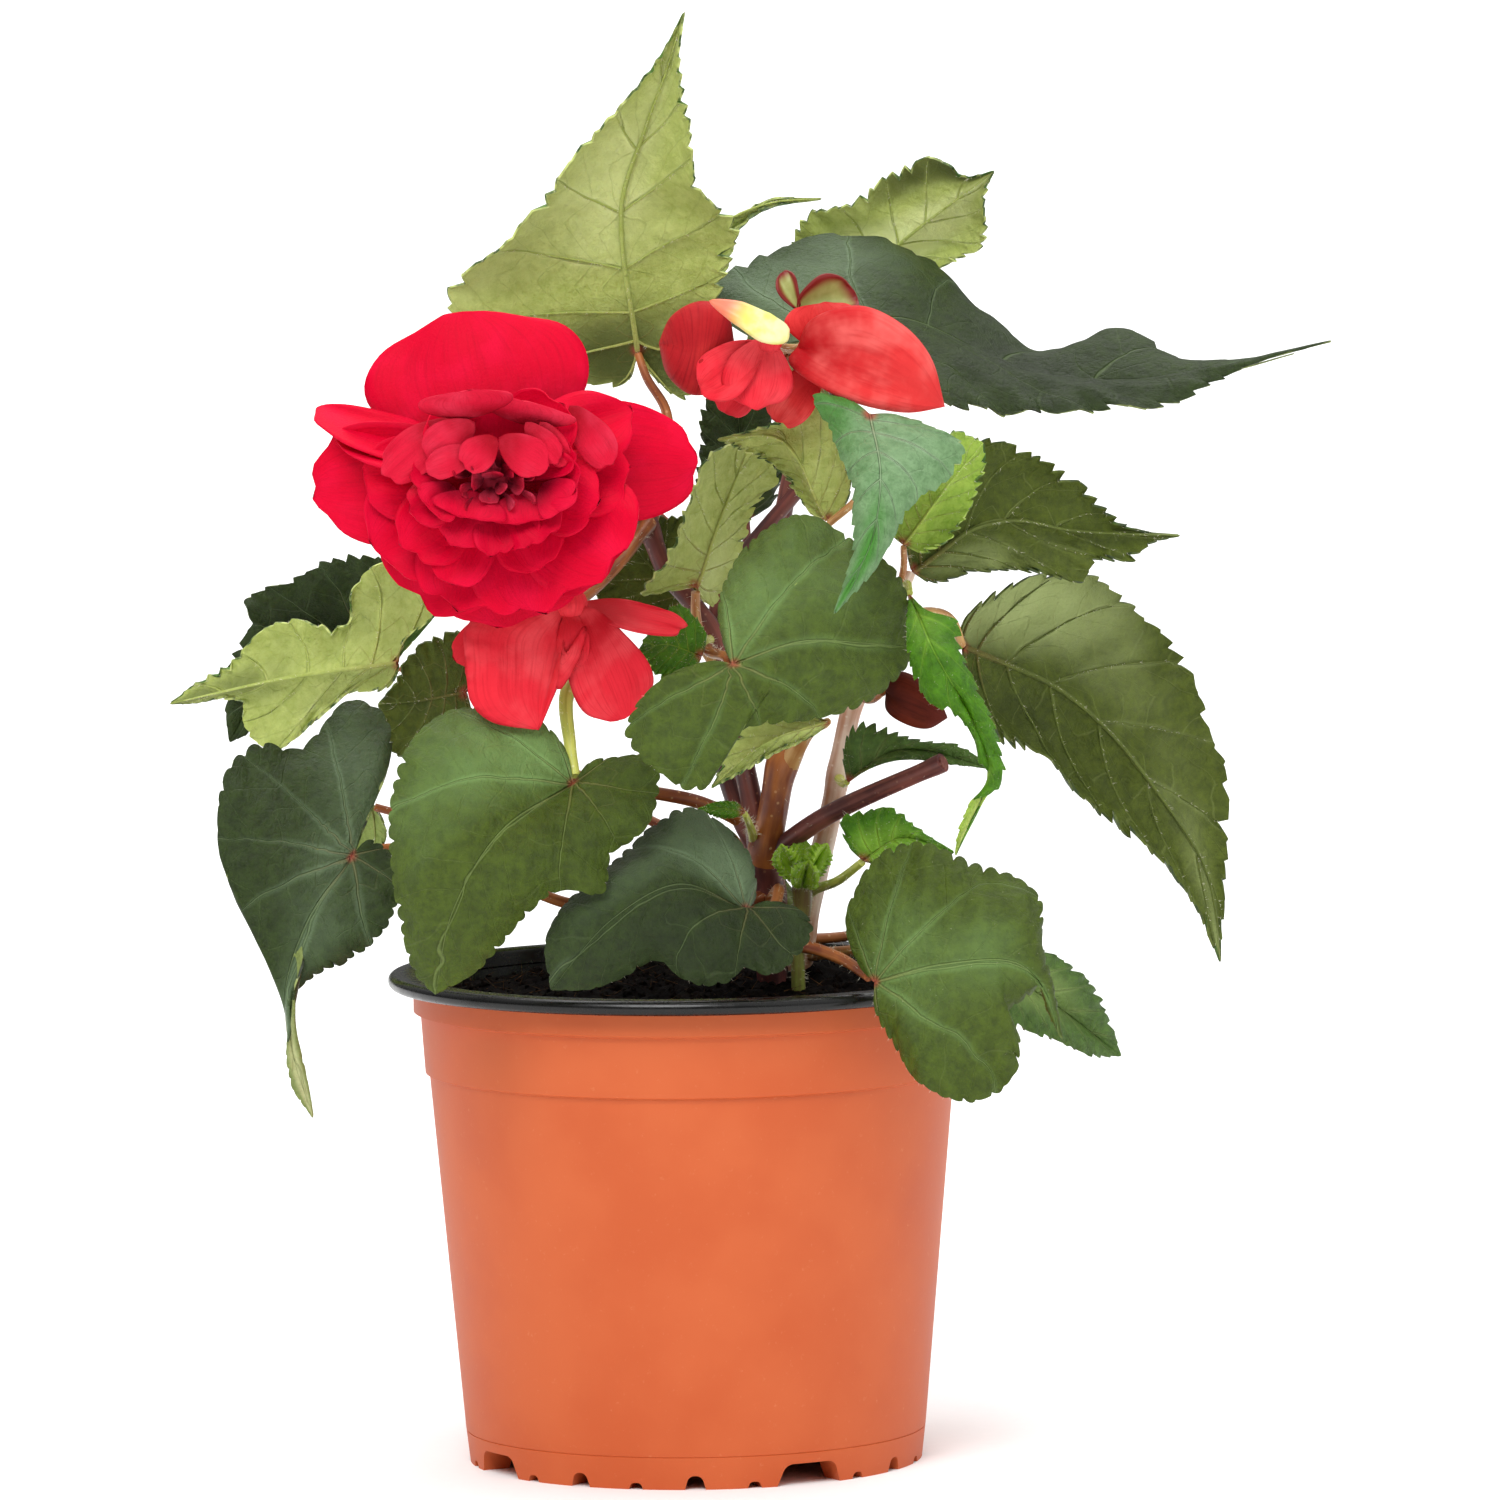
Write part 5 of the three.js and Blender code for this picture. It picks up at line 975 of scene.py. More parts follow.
def terracotta_polypropylene():
    """Moulded polypropylene, dyed terracotta: an even satin skin with a fine grain and tiny pale specks.
    The real grain is finer; it is drawn at 0.9 mm so that it shows."""
    material, tree, shader, spot = start_material(
        "terracotta_polypropylene", IOR=1.49, Specular_IOR_Level=0.35)
    cloud = add_node(tree, "TexNoise", {"Vector": spot, "Scale": per_mm(24), "Detail": 3})
    grain = add_node(tree, "TexNoise", {"Vector": spot, "Scale": per_mm(0.9), "Detail": 2})
    speck = add_node(tree, "TexNoise",
                     {"Vector": spot, "Scale": per_mm(1.5), "Detail": 5, "Roughness": 0.7})
    share = add_node(tree, "MapRange", [cloud, 0.3, 0.7, 0, 1])
    base = add_node(tree, "Mix", [share, paint("c05526"), paint("c75e2f")])
    marks = add_node(tree, "MapRange", [speck, 0.6, 0.78, 0, 0.3])
    colour = add_node(tree, "Mix", [marks, base, paint("da9266")])
    rough = add_node(tree, "MapRange", [cloud, 0.2, 0.8, 0.5, 0.56])
    finish_material(tree, shader, colour, rough, grain, 0.05, 0.35)
    return material


def black_polypropylene():
    """The same sheet dyed black: smooth and glossy, with faint dust in flecks coarse enough to show."""
    material, tree, shader, spot = start_material("black_polypropylene", IOR=1.49, Specular_IOR_Level=0.4)
    dust = add_node(tree, "TexNoise", {"Vector": spot, "Scale": per_mm(3), "Detail": 5, "Roughness": 0.7})
    share = add_node(tree, "MapRange", [dust, 0.55, 0.85, 0, 1])
    colour = add_node(tree, "Mix", [share, paint("040403"), paint("161412")])
    rough = add_node(tree, "MapRange", [dust, 0.3, 0.8, 0.2, 0.36])
    finish_material(tree, shader, colour, rough, dust, 0.04, 0.4)
    return material


def peat(name, dark, light):
    """Moist dark peat: crumbs and dust of several browns, quite matt. The real dust is finer; it is
    drawn at 0.5 mm so that it shows."""
    material, tree, shader, spot = start_material(name, IOR=1.4, Specular_IOR_Level=0.1)
    crumbs = add_node(tree, "TexNoise",
                      {"Vector": spot, "Scale": per_mm(2.4), "Detail": 6, "Roughness": 0.7})
    dust = add_node(tree, "TexNoise", {"Vector": spot, "Scale": per_mm(0.5), "Detail": 4, "Roughness": 0.7})
    share = add_node(tree, "MapRange", [crumbs, 0.38, 0.74, 0, 1])
    colour = add_node(tree, "Mix", [share, paint(dark), paint(light)])
    rough = add_node(tree, "MapRange", [crumbs, 0.2, 0.8, 0.95, 0.8])
    finish_material(tree, shader, colour, rough, dust, 0.5, 0.8)
    return material


def vein_pattern(tree, spot, layers, net):
    """The midrib, side veins and fainter branches, 1 on a vein and 0 beside it, and how many times half its
    width the nearest side vein is away."""
    count, gap, branch, branch_gap, rib = layers
    drift = add_node(tree, "TexNoise", {"Vector": spot, "Scale": per_mm(13), "Detail": 2})
    gaps = []
    lines = []
    for number, between, wander, width in ((count, gap, 0.12, 1.1), (branch, branch_gap, 0.4, 1.3)):
        shift = add_node(tree, "MapRange", [drift, 0.2, 0.8, -wander / 2, wander / 2])
        moved = add_node(tree, "Math", [number, shift], operation="ADD")
        folded = add_node(tree, "Math", [moved, 0.5], operation="PINGPONG")
        off = add_node(tree, "Math", [folded, between], operation="MULTIPLY")
        gaps.append(off)
        lines.append(add_node(tree, "MapRange", [off, 0.2, width, 1, 0]))
    side_veins = add_node(tree, "Math", [lines[0], 0.8], operation="MULTIPLY")
    branches = add_node(tree, "Math", [lines[1], net], operation="MULTIPLY")
    midrib = add_node(tree, "MapRange", [rib, 0.3, 1.1, 1, 0])
    veins = add_node(tree, "Math", [side_veins, branches], operation="MAXIMUM")
    veins = add_node(tree, "Math", [veins, midrib], operation="MAXIMUM")
    return veins, gaps[0]


def mottled_green(tree, spot, colours, mottle, painted_shading, off_vein, vein_sheen):
    """A leaf's green, mottled, with painted light and painted shade where its spots say and next to the side
    veins.
    """
    dark, light, _, pale, deep = colours
    patch = add_node(tree, "TexNoise", {"Vector": spot, "Scale": per_mm(19), "Detail": 3})
    mottled = add_node(tree, "MapRange", [mottle, 0.3, 0.7, 0, 1])
    base = add_node(tree, "Mix", [mottled, dark, light])
    uneven = add_node(tree, "MapRange", [patch, 0.3, 0.7, -0.1, 0.1])
    painted_shading = add_node(tree, "Math", [painted_shading, uneven], operation="ADD")
    # Painted sheen next to the side veins, fading into painted shade between them.
    beside = add_node(tree, "MapRange", [off_vein, 0.3, VEIN_SHEEN_REACH, vein_sheen, -vein_sheen / 3])
    painted_shading = add_node(tree, "Math", [painted_shading, beside], operation="ADD")
    # Painted light takes the green towards the palest colour, painted shade towards the deepest.
    lit_share = add_node(tree, "MapRange", [painted_shading, 0, 1.1, 0, 1])
    shaded_share = add_node(tree, "MapRange", [painted_shading, -1.1, 0, 1, 0])
    base = add_node(tree, "Mix", [lit_share, base, pale])
    return add_node(tree, "Mix", [shaded_share, base, deep])


def leaf_skin(name, colours, gloss, raised, net, contrast, reddened, glow, vein_sheen):
    """Fleshy begonia leaf: mottled green with a fan of veins, red where the stalk joins. Its waxy skin has
    a soft gloss that small wrinkles break up, and light shines through the thin ones."""
    colours = [paint(colour) for colour in colours]
    material, tree, shader, spot = start_material(
        name, IOR=1.42, Specular_IOR_Level=0.27, Subsurface_Weight=glow, Subsurface_Scale=MILLIMETRE,
        Subsurface_Radius=(1, 1, 0.35))
    # painted_shading is the painted light and painted shade that each point of the leaf carries.
    *vein_layers, foot, painted_shading = [add_node(tree, "Attribute", attribute_name=layer) for layer in LEAF_LAYERS]
    veins, off_vein = vein_pattern(tree, spot, vein_layers, net)
    mottle = add_node(tree, "TexNoise",
                      {"Vector": spot, "Scale": per_mm(2.6), "Detail": 7, "Roughness": 0.72})
    # The mottled green with its painted light and painted shade.
    base = mottled_green(tree, spot, colours, mottle, painted_shading, off_vein, vein_sheen)
    shown = add_node(tree, "Math", [veins, contrast], operation="MULTIPLY")
    veined = add_node(tree, "Mix", [shown, base, colours[2]])
    joint = add_node(tree, "MapRange", [foot, 0.5, 2.4, 0.85, 0])
    near = add_node(tree, "MapRange", [foot, 2, 16, reddened, 0])
    red_veins = add_node(tree, "Math", [near, veins], operation="MULTIPLY")
    red = add_node(tree, "Math", [joint, red_veins], operation="MAXIMUM")
    colour = add_node(tree, "Mix", [red, veined, paint(BLUSH)])
    rough = add_node(tree, "MapRange", [mottle, 0.2, 0.8, gloss - 0.07, gloss + 0.1])
    wrinkle = add_node(tree, "TexNoise",
                       {"Vector": spot, "Scale": per_mm(1.3), "Detail": 5, "Roughness": 0.65})
    sunk = add_node(tree, "Math", [veins, 0.5 if raised else -0.75], operation="MULTIPLY")
    height = add_node(tree, "Math", [sunk, wrinkle], operation="ADD")
    finish_material(tree, shader, colour, rough, height, 0.8, 1)
    return material


def leaf_margin(name, dark, light):
    """The thin edge of a leaf, in patches of its deepest upper green and the under side's light green."""
    material, tree, shader, spot = start_material(name, IOR=1.42)
    patch = add_node(tree, "TexNoise", {"Vector": spot, "Scale": per_mm(2.5), "Detail": 2})
    share = add_node(tree, "MapRange", [patch, 0.35, 0.65, 0, 1])
    colour = add_node(tree, "Mix", [share, paint(dark), paint(light)])
    rough = add_node(tree, "MapRange", [patch, 0, 1, 0.5, 0.6])
    finish_material(tree, shader, colour, rough, patch, 0.1, 0.4)
    return material


def stem_skin(name, dark, light, fleck):
    """Juicy stem skin: streaks along the stem, small pale flecks, a soft gloss."""
    material, tree, shader, spot = start_material(name, IOR=1.42)
    flat = add_node(tree, "TexCoord", take="UV")
    along = add_node(tree, "Mapping", {"Vector": flat, "Scale": (9, 2.2, 1)})
    streak = add_node(tree, "TexNoise", {"Vector": along, "Scale": 1, "Detail": 4})
    patch = add_node(tree, "TexNoise", {"Vector": spot, "Scale": per_mm(11), "Detail": 3})
    dots = add_node(tree, "TexVoronoi", {"Vector": spot, "Scale": per_mm(2.1)})
    shade = add_node(tree, "Math", [streak, patch], operation="ADD")
    share = add_node(tree, "MapRange", [shade, 0.75, 1.25, 0, 1])
    base = add_node(tree, "Mix", [share, paint(dark), paint(light)])
    flecks = add_node(tree, "MapRange", [dots, 0.08, 0.2, 0.55, 0])
    colour = add_node(tree, "Mix", [flecks, base, paint(fleck)])
    rough = add_node(tree, "MapRange", [patch, 0.2, 0.8, 0.32, 0.46])
    finish_material(tree, shader, colour, rough, streak, 0.25, 0.5)
    return material


def petal_skin(name, deep, bright, pale, streaks=0.3, grain=(46, 2.5, 1), shade_to=0.5):
    """Velvety petal: fine streaks from foot to edge, painted shade that darkens it at the foot, where petals
    crowd together, and hardly any gloss. The real nap is far finer; it is drawn at 0.6 mm so that it shows."""
    material, tree, shader, spot = start_material(name, IOR=1.4, Specular_IOR_Level=0.1)
    flat = add_node(tree, "TexCoord", take="UV")
    drawn_out = add_node(tree, "Mapping", {"Vector": flat, "Scale": grain})
    streak = add_node(tree, "TexNoise", {"Vector": drawn_out, "Scale": 1, "Detail": 3})
    along = add_node(tree, "SeparateXYZ", {"Vector": flat}, "Y")
    patch = add_node(tree, "TexNoise", {"Vector": spot, "Scale": per_mm(9), "Detail": 3})
    velvet = add_node(tree, "TexNoise", {"Vector": spot, "Scale": per_mm(0.6), "Detail": 2})
    # Painted shade: the deep colour at the foot fades into the bright one by shade_to.
    shade_from_foot = add_node(tree, "MapRange", [along, 0.04, shade_to, 0, 1])
    base = add_node(tree, "Mix", [shade_from_foot, paint(deep), paint(bright)])
    lighter = add_node(tree, "MapRange", [patch, 0.4, 0.75, 0, 0.7])
    base = add_node(tree, "Mix", [lighter, base, paint(pale)])
    lines = add_node(tree, "MapRange", [streak, 0.45, 0.75, 0, streaks])
    colour = add_node(tree, "Mix", [lines, base, paint(deep)])
    rough = add_node(tree, "MapRange", [patch, 0.2, 0.8, 0.5, 0.62])
    height = add_node(tree, "Math", [streak, velvet], operation="ADD")
    finish_material(tree, shader, colour, rough, height, 0.14, 0.6)
    return material


def bract_skin():
    """The bracts over the buds: pale olive in the middle, wine red towards their rims."""
    material, tree, shader, spot = start_material("bract_skin", IOR=1.4)
    flat = add_node(tree, "TexCoord", take="UV")
    across = add_node(tree, "SeparateXYZ", {"Vector": flat}, "X")
    along = add_node(tree, "SeparateXYZ", {"Vector": flat}, "Y")
    off_middle = add_node(tree, "Math", [across, 0.5], operation="SUBTRACT")
    off_middle = add_node(tree, "Math", [off_middle], operation="ABSOLUTE")
    patch = add_node(tree, "TexNoise", {"Vector": spot, "Scale": per_mm(2), "Detail": 3})
    sides = add_node(tree, "MapRange", [off_middle, 0.2, 0.42, 0, 1])
    tip = add_node(tree, "MapRange", [along, 0.55, 0.85, 0, 1])
    rim = add_node(tree, "Math", [sides, tip], operation="MAXIMUM")
    inner = add_node(tree, "Mix", [patch, paint("7f8a40"), paint("b4b672")])
    colour = add_node(tree, "Mix", [rim, inner, paint("7d1f1c")])
    rough = add_node(tree, "MapRange", [patch, 0, 1, 0.38, 0.5])
    finish_material(tree, shader, colour, rough, patch, 0.2, 0.5)
    return material


def ovary_skin():
    """The waxy ovary: yellow-green, peach red where it meets the petals."""
    material, tree, shader, spot = start_material("ovary_skin", IOR=1.42)
    along = add_node(tree, "SeparateXYZ", {"Vector": add_node(tree, "TexCoord", take="UV")}, "Y")
    patch = add_node(tree, "TexNoise", {"Vector": spot, "Scale": per_mm(4), "Detail": 3})
    share = add_node(tree, "MapRange", [patch, 0.3, 0.7, 0, 1])
    base = add_node(tree, "Mix", [share, paint("e2e668"), paint("f4f2b4")])
    flush = add_node(tree, "MapRange", [along, 0.45, 0.8, 0, 1])
    colour = add_node(tree, "Mix", [flush, base, paint("e8795c")])
    rough = add_node(tree, "MapRange", [patch, 0, 1, 0.3, 0.4])
    finish_material(tree, shader, colour, rough, patch, 0.2, 0.4)
    return material


def plant_hair():
    """Soft white hair on stalks and veins. The hairs are drawn thicker than real so that they show."""
    material, tree, shader, spot = start_material("plant_hair", IOR=1.4)
    patch = add_node(tree, "TexNoise", {"Vector": spot, "Scale": per_mm(8), "Detail": 2})
    colour = add_node(tree, "Mix", [patch, paint("d9cfae"), paint("f2efe0")])
    rough = add_node(tree, "MapRange", [patch, 0, 1, 0.5, 0.65])
    finish_material(tree, shader, colour, rough, patch, 0.02, 0.2)
    return material


def studio_paper():
    """White paper: matt, with a faint grain that is drawn coarser than real."""
    material, tree, shader, spot = start_material("studio_paper", Specular_IOR_Level=0.2)
    grain = add_node(tree, "TexNoise", {"Vector": spot, "Scale": per_mm(3), "Detail": 3})
    colour = add_node(tree, "Mix", [grain, paint("f6f6f6"), paint("fafafa")])
    rough = add_node(tree, "MapRange", [grain, 0, 1, 0.9, 1])
    finish_material(tree, shader, colour, rough, grain, 0.05, 0.2)
    return material


# Leaf colours: dark and light mottle, vein, the palest for painted light and the deepest for painted shade

LEAF_FINISHES = dict(
    darkLeaf=dict(
        slot="dark_leaf",
        upper=("222e11", "324219", "74875a", "728866", "18220b"),
        under=("6c7a40", "8c9858", "a2a96c", "bcc08a", "4a5526"),
    ),
    leaf=dict(
        slot="leaf",
        upper=("374511", "4c5e18", "8a9c5c", "7c9e5c", "28340e"),
        under=("788a42", "93a457", "a5b06a", "bcc688", "566328"),
    ),
    greyLeaf=dict(
        slot="grey_leaf",
        upper=("587c4e", "7a9c6e", "a9c098", "a2b998", "3a7a1e"),
        under=("8a9c54", "a2b26c", "b4c080", "c4d098", "5f7434"),
    ),
    paleLeaf=dict(
        slot="pale_leaf",
        upper=("446528", "62873a", "97b268", "8aa35c", "33501c"),
        under=("a2b05a", "bcc876", "8c9a46", "e6eeb0", "55602c"),
    ),
    oliveLeaf=dict(
        slot="olive_leaf",
        upper=("3a5222", "52702f", "8ba160", "869c58", "2c3d18"),
        under=("3f4a16", "56631f", "8d9a58", "b2c07c", "30390f"),
    ),
    youngLeaf=dict(
        slot="young_leaf",
        upper=("345f08", "4e8210", "8fbc40", "94c244", "2a4e08"),
        under=("84a43a", "a4be52", "b8cc70", "c8d878", "5f7c20"),
    ),
)
BLUSH = "a4493c"
THIN_LEAVES = ("paleLeaf", "youngLeaf")


def leaf_materials(finish):
    """Upper side, under side and edge of one kind of leaf."""
    given = LEAF_FINISHES[finish]
    slot = given["slot"]
    glow = 0.3 if finish in THIN_LEAVES else 0
    upper = leaf_skin(f"{slot}_upper_skin", given["upper"], gloss=0.36, raised=False, net=0.22,
                      contrast=0.38, reddened=0.12, glow=glow, vein_sheen=0.2)
    under = leaf_skin(f"{slot}_under_skin", given["under"], gloss=0.55, raised=True, net=0.3,
                      contrast=0.6, reddened=0.4, glow=glow, vein_sheen=0.12)
    edge = leaf_margin(f"{slot}_edge", given["upper"][4], given["under"][1])
    return [upper, under, edge]


# Leaves

class Blade:
    """A leaf's surface. Its edges and midrib are smooth lines from the foot of the blade to its tip."""

    def __init__(self, leaf):
        for name, value in {**LEAF_DEFAULTS, **leaf}.items():
            setattr(self, name, value)
        self.rib = SmoothLine([self.at, *self.mids, self.tip])
        self.edges = [SmoothLine([self.at, *side, self.tip]) for side in (self.left, self.right)]
        self.up = self.outline_normal()
        longest = max(edge.length for edge in self.edges)
        self.size = min(max(longest / FULL_LENGTH, 0.35), 1)
        spacing = TOOTH_SPACING * (0.55 + 0.45 * self.size)
        self.teeth = min(max(round(longest / spacing), 6), MOST_ROWS // ROWS_A_TOOTH)
        self.rows = self.teeth * ROWS_A_TOOTH
        self.bites = [[self.tooth * rng.choice(BITES) for _ in range(self.teeth + 1)] for _ in self.edges]
        self.seed = Vector((rng.uniform(0, 90), rng.uniform(0, 90), rng.uniform(0, 90)))
        self.foot = Vector(self.at)
        ahead = Vector(self.tip) - self.foot
        self.ahead = (ahead - self.up * ahead.dot(self.up)).normalized()
        self.aside = self.ahead.cross(self.up)
        polars = [self.polar(self.rib.at((i + 1) / RIB_SAMPLES)) for i in range(RIB_SAMPLES)]
        self.rib_radii = [radius for radius, _ in polars]
        self.rib_turns = [turn for _, turn in polars]

    def outline_normal(self):
        """Square to the leaf as a whole, on the side of its upper face."""
        steps = 12
        loop = [self.edges[0].at(i / steps) for i in range(steps + 1)]
        loop += [self.edges[1].at(1 - i / steps) for i in range(steps + 1)]
        area = Vector()
        for i, point in enumerate(loop):
            area += point.cross(loop[(i + 1) % len(loop)])
        area.normalize()
        return -area if area.dot(Vector(self.faces)) < 0 else area

    def polar(self, spot):
        """Distance from the foot and turn from straight ahead, seen square on."""
        away = spot - self.foot
        forward, sideways = away.dot(self.ahead), away.dot(self.aside)
        return math.hypot(forward, sideways), math.atan2(sideways, forward)

    def fan(self, spot):
        """Distance from the foot and turn from the bent midrib."""
        radius, turn = self.polar(spot)
        rib_turn = float(np.interp(radius, self.rib_radii, self.rib_turns))
        return radius, turn - rib_turn * (1 - abs(turn) / math.pi)

    def bite(self, side, along):
        """How far the edge is cut in. Sharp teeth lean towards the tip; round ones are scallops."""
        reached = along * self.teeth
        tooth = min(int(reached + 1e-6), self.teeth)
        past = reached - tooth
        return self.bites[side][tooth] * (abs(2 * past - 1) ** 2.2 if self.scallops else (1 - past) ** 1.3)

    def flat(self, across, along):
        """The place on the leaf before it swells: on the line from the midrib to its cut edge."""
        out = abs(across)
        side = 0 if across < 0 else 1
        on_rib = self.rib.at(along ** self.hold)
        edge = self.edges[side].at(along)
        reach = (edge - on_rib).length
        cut = min(self.bite(side, along), reach / 3)
        return on_rib.lerp(edge, out * (1 - cut * out ** 7 / max(reach, 0.01)))

    def veins_at(self, across, along, flat):
        """Side veins as a count that is whole on each, and how many millimetres lie between two."""
        out = abs(across)
        if self.palm:
            radius, turn = self.fan(flat)
            return turn * self.palm / math.tau, radius * math.tau / self.palm
        lag = 0.3 * out if across < 0 else 0
        edge = self.edges[0 if across < 0 else 1]
        spacing = mix(self.rib.length, edge.length, out) / self.veins
        return self.veins * (along - VEIN_LEAN * out) + lag, spacing

    def place(self, across, along):
        """The place on the finished leaf: swollen, waved and crumpled, its tip turned over if it twists."""
        out = abs(across)
        flat = self.flat(across, along)
        count, gap = self.veins_at(across, along, flat)
        swell = math.sin(math.pi * along)
        turn = math.tau * self.waves * along + (0 if across < 0 else 2)
        rise = self.dome * (1 - out) * (4 * out - 0.4) + self.wave * out * out * math.sin(turn)
        between = 0.5 - 0.5 * math.cos(math.tau * count)
        pillow = smooth_step(0, 14, gap) * 4 * out * (1.15 - out)
        rise += self.quilt * self.size * between * pillow
        rise += self.ruffle * out ** 3 * math.sin(4.3 * turn + 1.7 * self.veins)
        rise += 1.1 * self.size * noise.noise(flat * 0.055 + self.seed) * min(1, 3 * out)
        rise += self.crumple * noise.noise(flat * 0.19 + self.seed) * min(1, 3 * out)
        start, degrees = self.twist
        if along > start:
            on_rib = self.rib.at(along ** self.hold)
            ahead = self.rib.at((along + 0.01) ** self.hold) - self.rib.at((along - 0.01) ** self.hold)
            turn = math.radians(degrees) * smooth_step(start, start + 0.14, along)
            turned = Matrix.Rotation(turn, 3, ahead)
            flat = on_rib + turned @ (flat - on_rib)
        return flat + self.up * rise * swell

    def painted_shading_at(self, across, along):
        """The painted light (above 0) and painted shade (below 0) on the leaf's green here, from the places
        where they were given.
        """
        total, weights = 0, 0.25
        for spot_across, spot_along, painted_shading in self.tones:
            off = (0.55 * (across - spot_across)) ** 2 + (along - spot_along) ** 2
            weight = math.exp(-off / 0.05)
            total += weight * painted_shading
            weights += weight
        return total / weights


def spread(u):
    """Column places from -1 to 1, closer together towards the edges."""
    out = 1 - (1 - min(abs(u), 1)) ** 1.35
    return math.copysign(out, u)


def note_veins(blade, layers, vert, across, along):
    """Tells a point how far it is from the veins, and its painted light and shade, for the leaf's material.
    """
    out = abs(across)
    flat = blade.flat(across, along)
    count, gap = blade.veins_at(across, along, flat)
    thin = 0.5 + 0.5 * blade.size
    vein_half = (0.32 * (1 - out) + 0.13) * thin
    rib_half = (0.5 * (1 - along) + 0.15) * thin
    from_rib = (flat - blade.rib.at(along ** blade.hold)).length
    from_vein = abs(count - round(count)) * gap
    reached = blade.fan(flat)[0] if blade.palm else from_rib
    values = (
        count, min(gap / vein_half, NO_VEIN), (reached - 0.8 * from_vein) / BRANCH_SPACING,
        BRANCH_SPACING * 0.78 / (0.17 * thin), from_rib / rib_half, (flat - blade.foot).length,
        blade.painted_shading_at(across, along),
    )
    for layer, value in zip(layers, values):
        vert[layer] = value


def blade_sheet(blade):
    """A leaf as a sheet without thickness, with what its material needs to know at each point."""
    bm = new_mesh()
    layers = [bm.verts.layers.float.new(name) for name in LEAF_LAYERS]
    spots = {}

    def place(u, along):
        across = spread(2 * u - 1)
        spot = blade.place(across, along)
        spots[tuple(round(c, 4) for c in spot)] = (across, along)
        return spot

    verts = lay_grid(bm, 2 * blade.columns, blade.rows, place)
    for vert in verts:
        note_veins(blade, layers, vert, *spots[tuple(round(c, 4) for c in vert.co)])
    close_up(bm, verts)
    bm.normal_update()
    turn_towards(bm, bm.faces[:], blade.faces)
    return bm


def fan_share(blade, across, goal):
    """How far along the leaf the turn from the midrib has closed to a goal."""
    low, high = 0.001, 1
    for _ in range(14):
        middle = (low + high) / 2
        if abs(blade.fan(blade.flat(across, middle))[1]) > goal:
            low = middle
        else:
            high = middle
    return high


def vein_paths(blade):
    """The midrib and side veins as lines on the leaf, each with its radius."""
    paths = []
    rib = [blade.place(0, share) for share in (0.004, 0.15, 0.3, 0.45, 0.6, 0.75, 0.88, 0.96)]
    paths.append((rib, 0.5 * blade.size + 0.12))
    for side in (-1, 1):
        for count in range(1, blade.palm // 2 + 1) if blade.palm else range(blade.veins):
            points = [rib[0]] if blade.palm else []
            for out in (0.02, 0.2, 0.4, 0.6, 0.78, 0.92):
                if blade.palm:
                    along = fan_share(blade, side * out, count * math.tau / blade.palm)
                else:
                    along = (count - (0.3 * out if side < 0 else 0)) / blade.veins + VEIN_LEAN * out
                if 0.006 < along < 0.97:
                    points.append(blade.place(side * out, along))
            if len(points) > 3:
                paths.append((points, (0.28 - 0.02 * count) * blade.size + 0.06))
    return paths


def add_veins(bm, blade):
    """Raised veins on the under side, and where their hairs stand."""
    bm.verts.ensure_lookup_table()
    layers = {name: bm.verts.layers.float[name] for name in LEAF_LAYERS}
    hairs = []
    for points, radius in vein_paths(blade):
        line = SmoothLine([point - blade.up * (radius + LEAF_THICKNESS * 0.25) for point in points])
        made = add_tube(bm, line, [radius, radius * 0.75, radius * 0.25], sides=6, step=2.4, material=1)
        for vert in made:
            vert[layers["vein_gap"]] = NO_VEIN
            vert[layers["branch_gap"]] = NO_VEIN
            vert[layers["vein_count"]] = 0.5
            vert[layers["branch_count"]] = 0.5
            vert[layers["rib_off"]] = 0.8
            vert[layers["foot_mm"]] = (vert.co - blade.foot).length
        for _ in range(round(line.length * HAIRS_ON_VEINS)):
            lean = Vector([rng.uniform(-1, 1) for _ in range(3)]) - blade.up * 1.3
            foot = line.at(rng.random()) - blade.up * radius * 0.8
            hairs.append(hair_placement(foot, lean, rng.uniform(0.5, 1.1)))
    return hairs


def margin_hairs(blade):
    """A short hair on each tooth, and more of them on the young leaves."""
    hairs = []
    for side in (-1, 1):
        for step in range(1, blade.teeth * blade.downy):
            along = step / (blade.teeth * blade.downy)
            tip = blade.place(side, along)
            lean = (tip - blade.rib.at(min(1, along ** blade.hold + 0.1))).normalized()
            lean += Vector([rng.uniform(-0.4, 0.4) for _ in range(3)])
            hairs.append(hair_placement(tip, lean, rng.uniform(0.4, 0.7 + 0.2 * blade.downy)))
    return hairs


def face_hairs(blade):
    """Hairs that stand all over a young leaf's upper side."""
    hairs = []
    for _ in range(FACE_HAIRS * (blade.downy - 1)):
        across, along = rng.uniform(-0.95, 0.95), rng.uniform(0.05, 0.95)
        lean = blade.up + Vector([rng.uniform(-0.6, 0.6) for _ in range(3)])
        hairs.append(hair_placement(blade.place(across, along), lean, rng.uniform(0.5, 1.1)))
    return hairs


def leaf_piece(leaf):
    """One leaf: its sheet, raised veins on the under side, and where its hairs stand."""
    blade = Blade(leaf)
    bm = solidified(blade_sheet(blade), LEAF_THICKNESS, 3)
    hairs = add_veins(bm, blade) + margin_hairs(blade) + face_hairs(blade)
    finish_piece(f"{blade.name}_fine", bm, leaf_looks[blade.colour], [blade.name], corners=60)
    return hairs


# Stems

def joint_swelling(branches):
    """Stems thicken a little where others grow from them."""
    joints = [Vector(path[0]) for path, *_ in branches]

    def swelling(centre):
        near = sum(math.exp(-((centre - joint).length / 3.4) ** 2) for joint in joints)
        return 1 + 0.16 * min(near, 1.5)

    return swelling


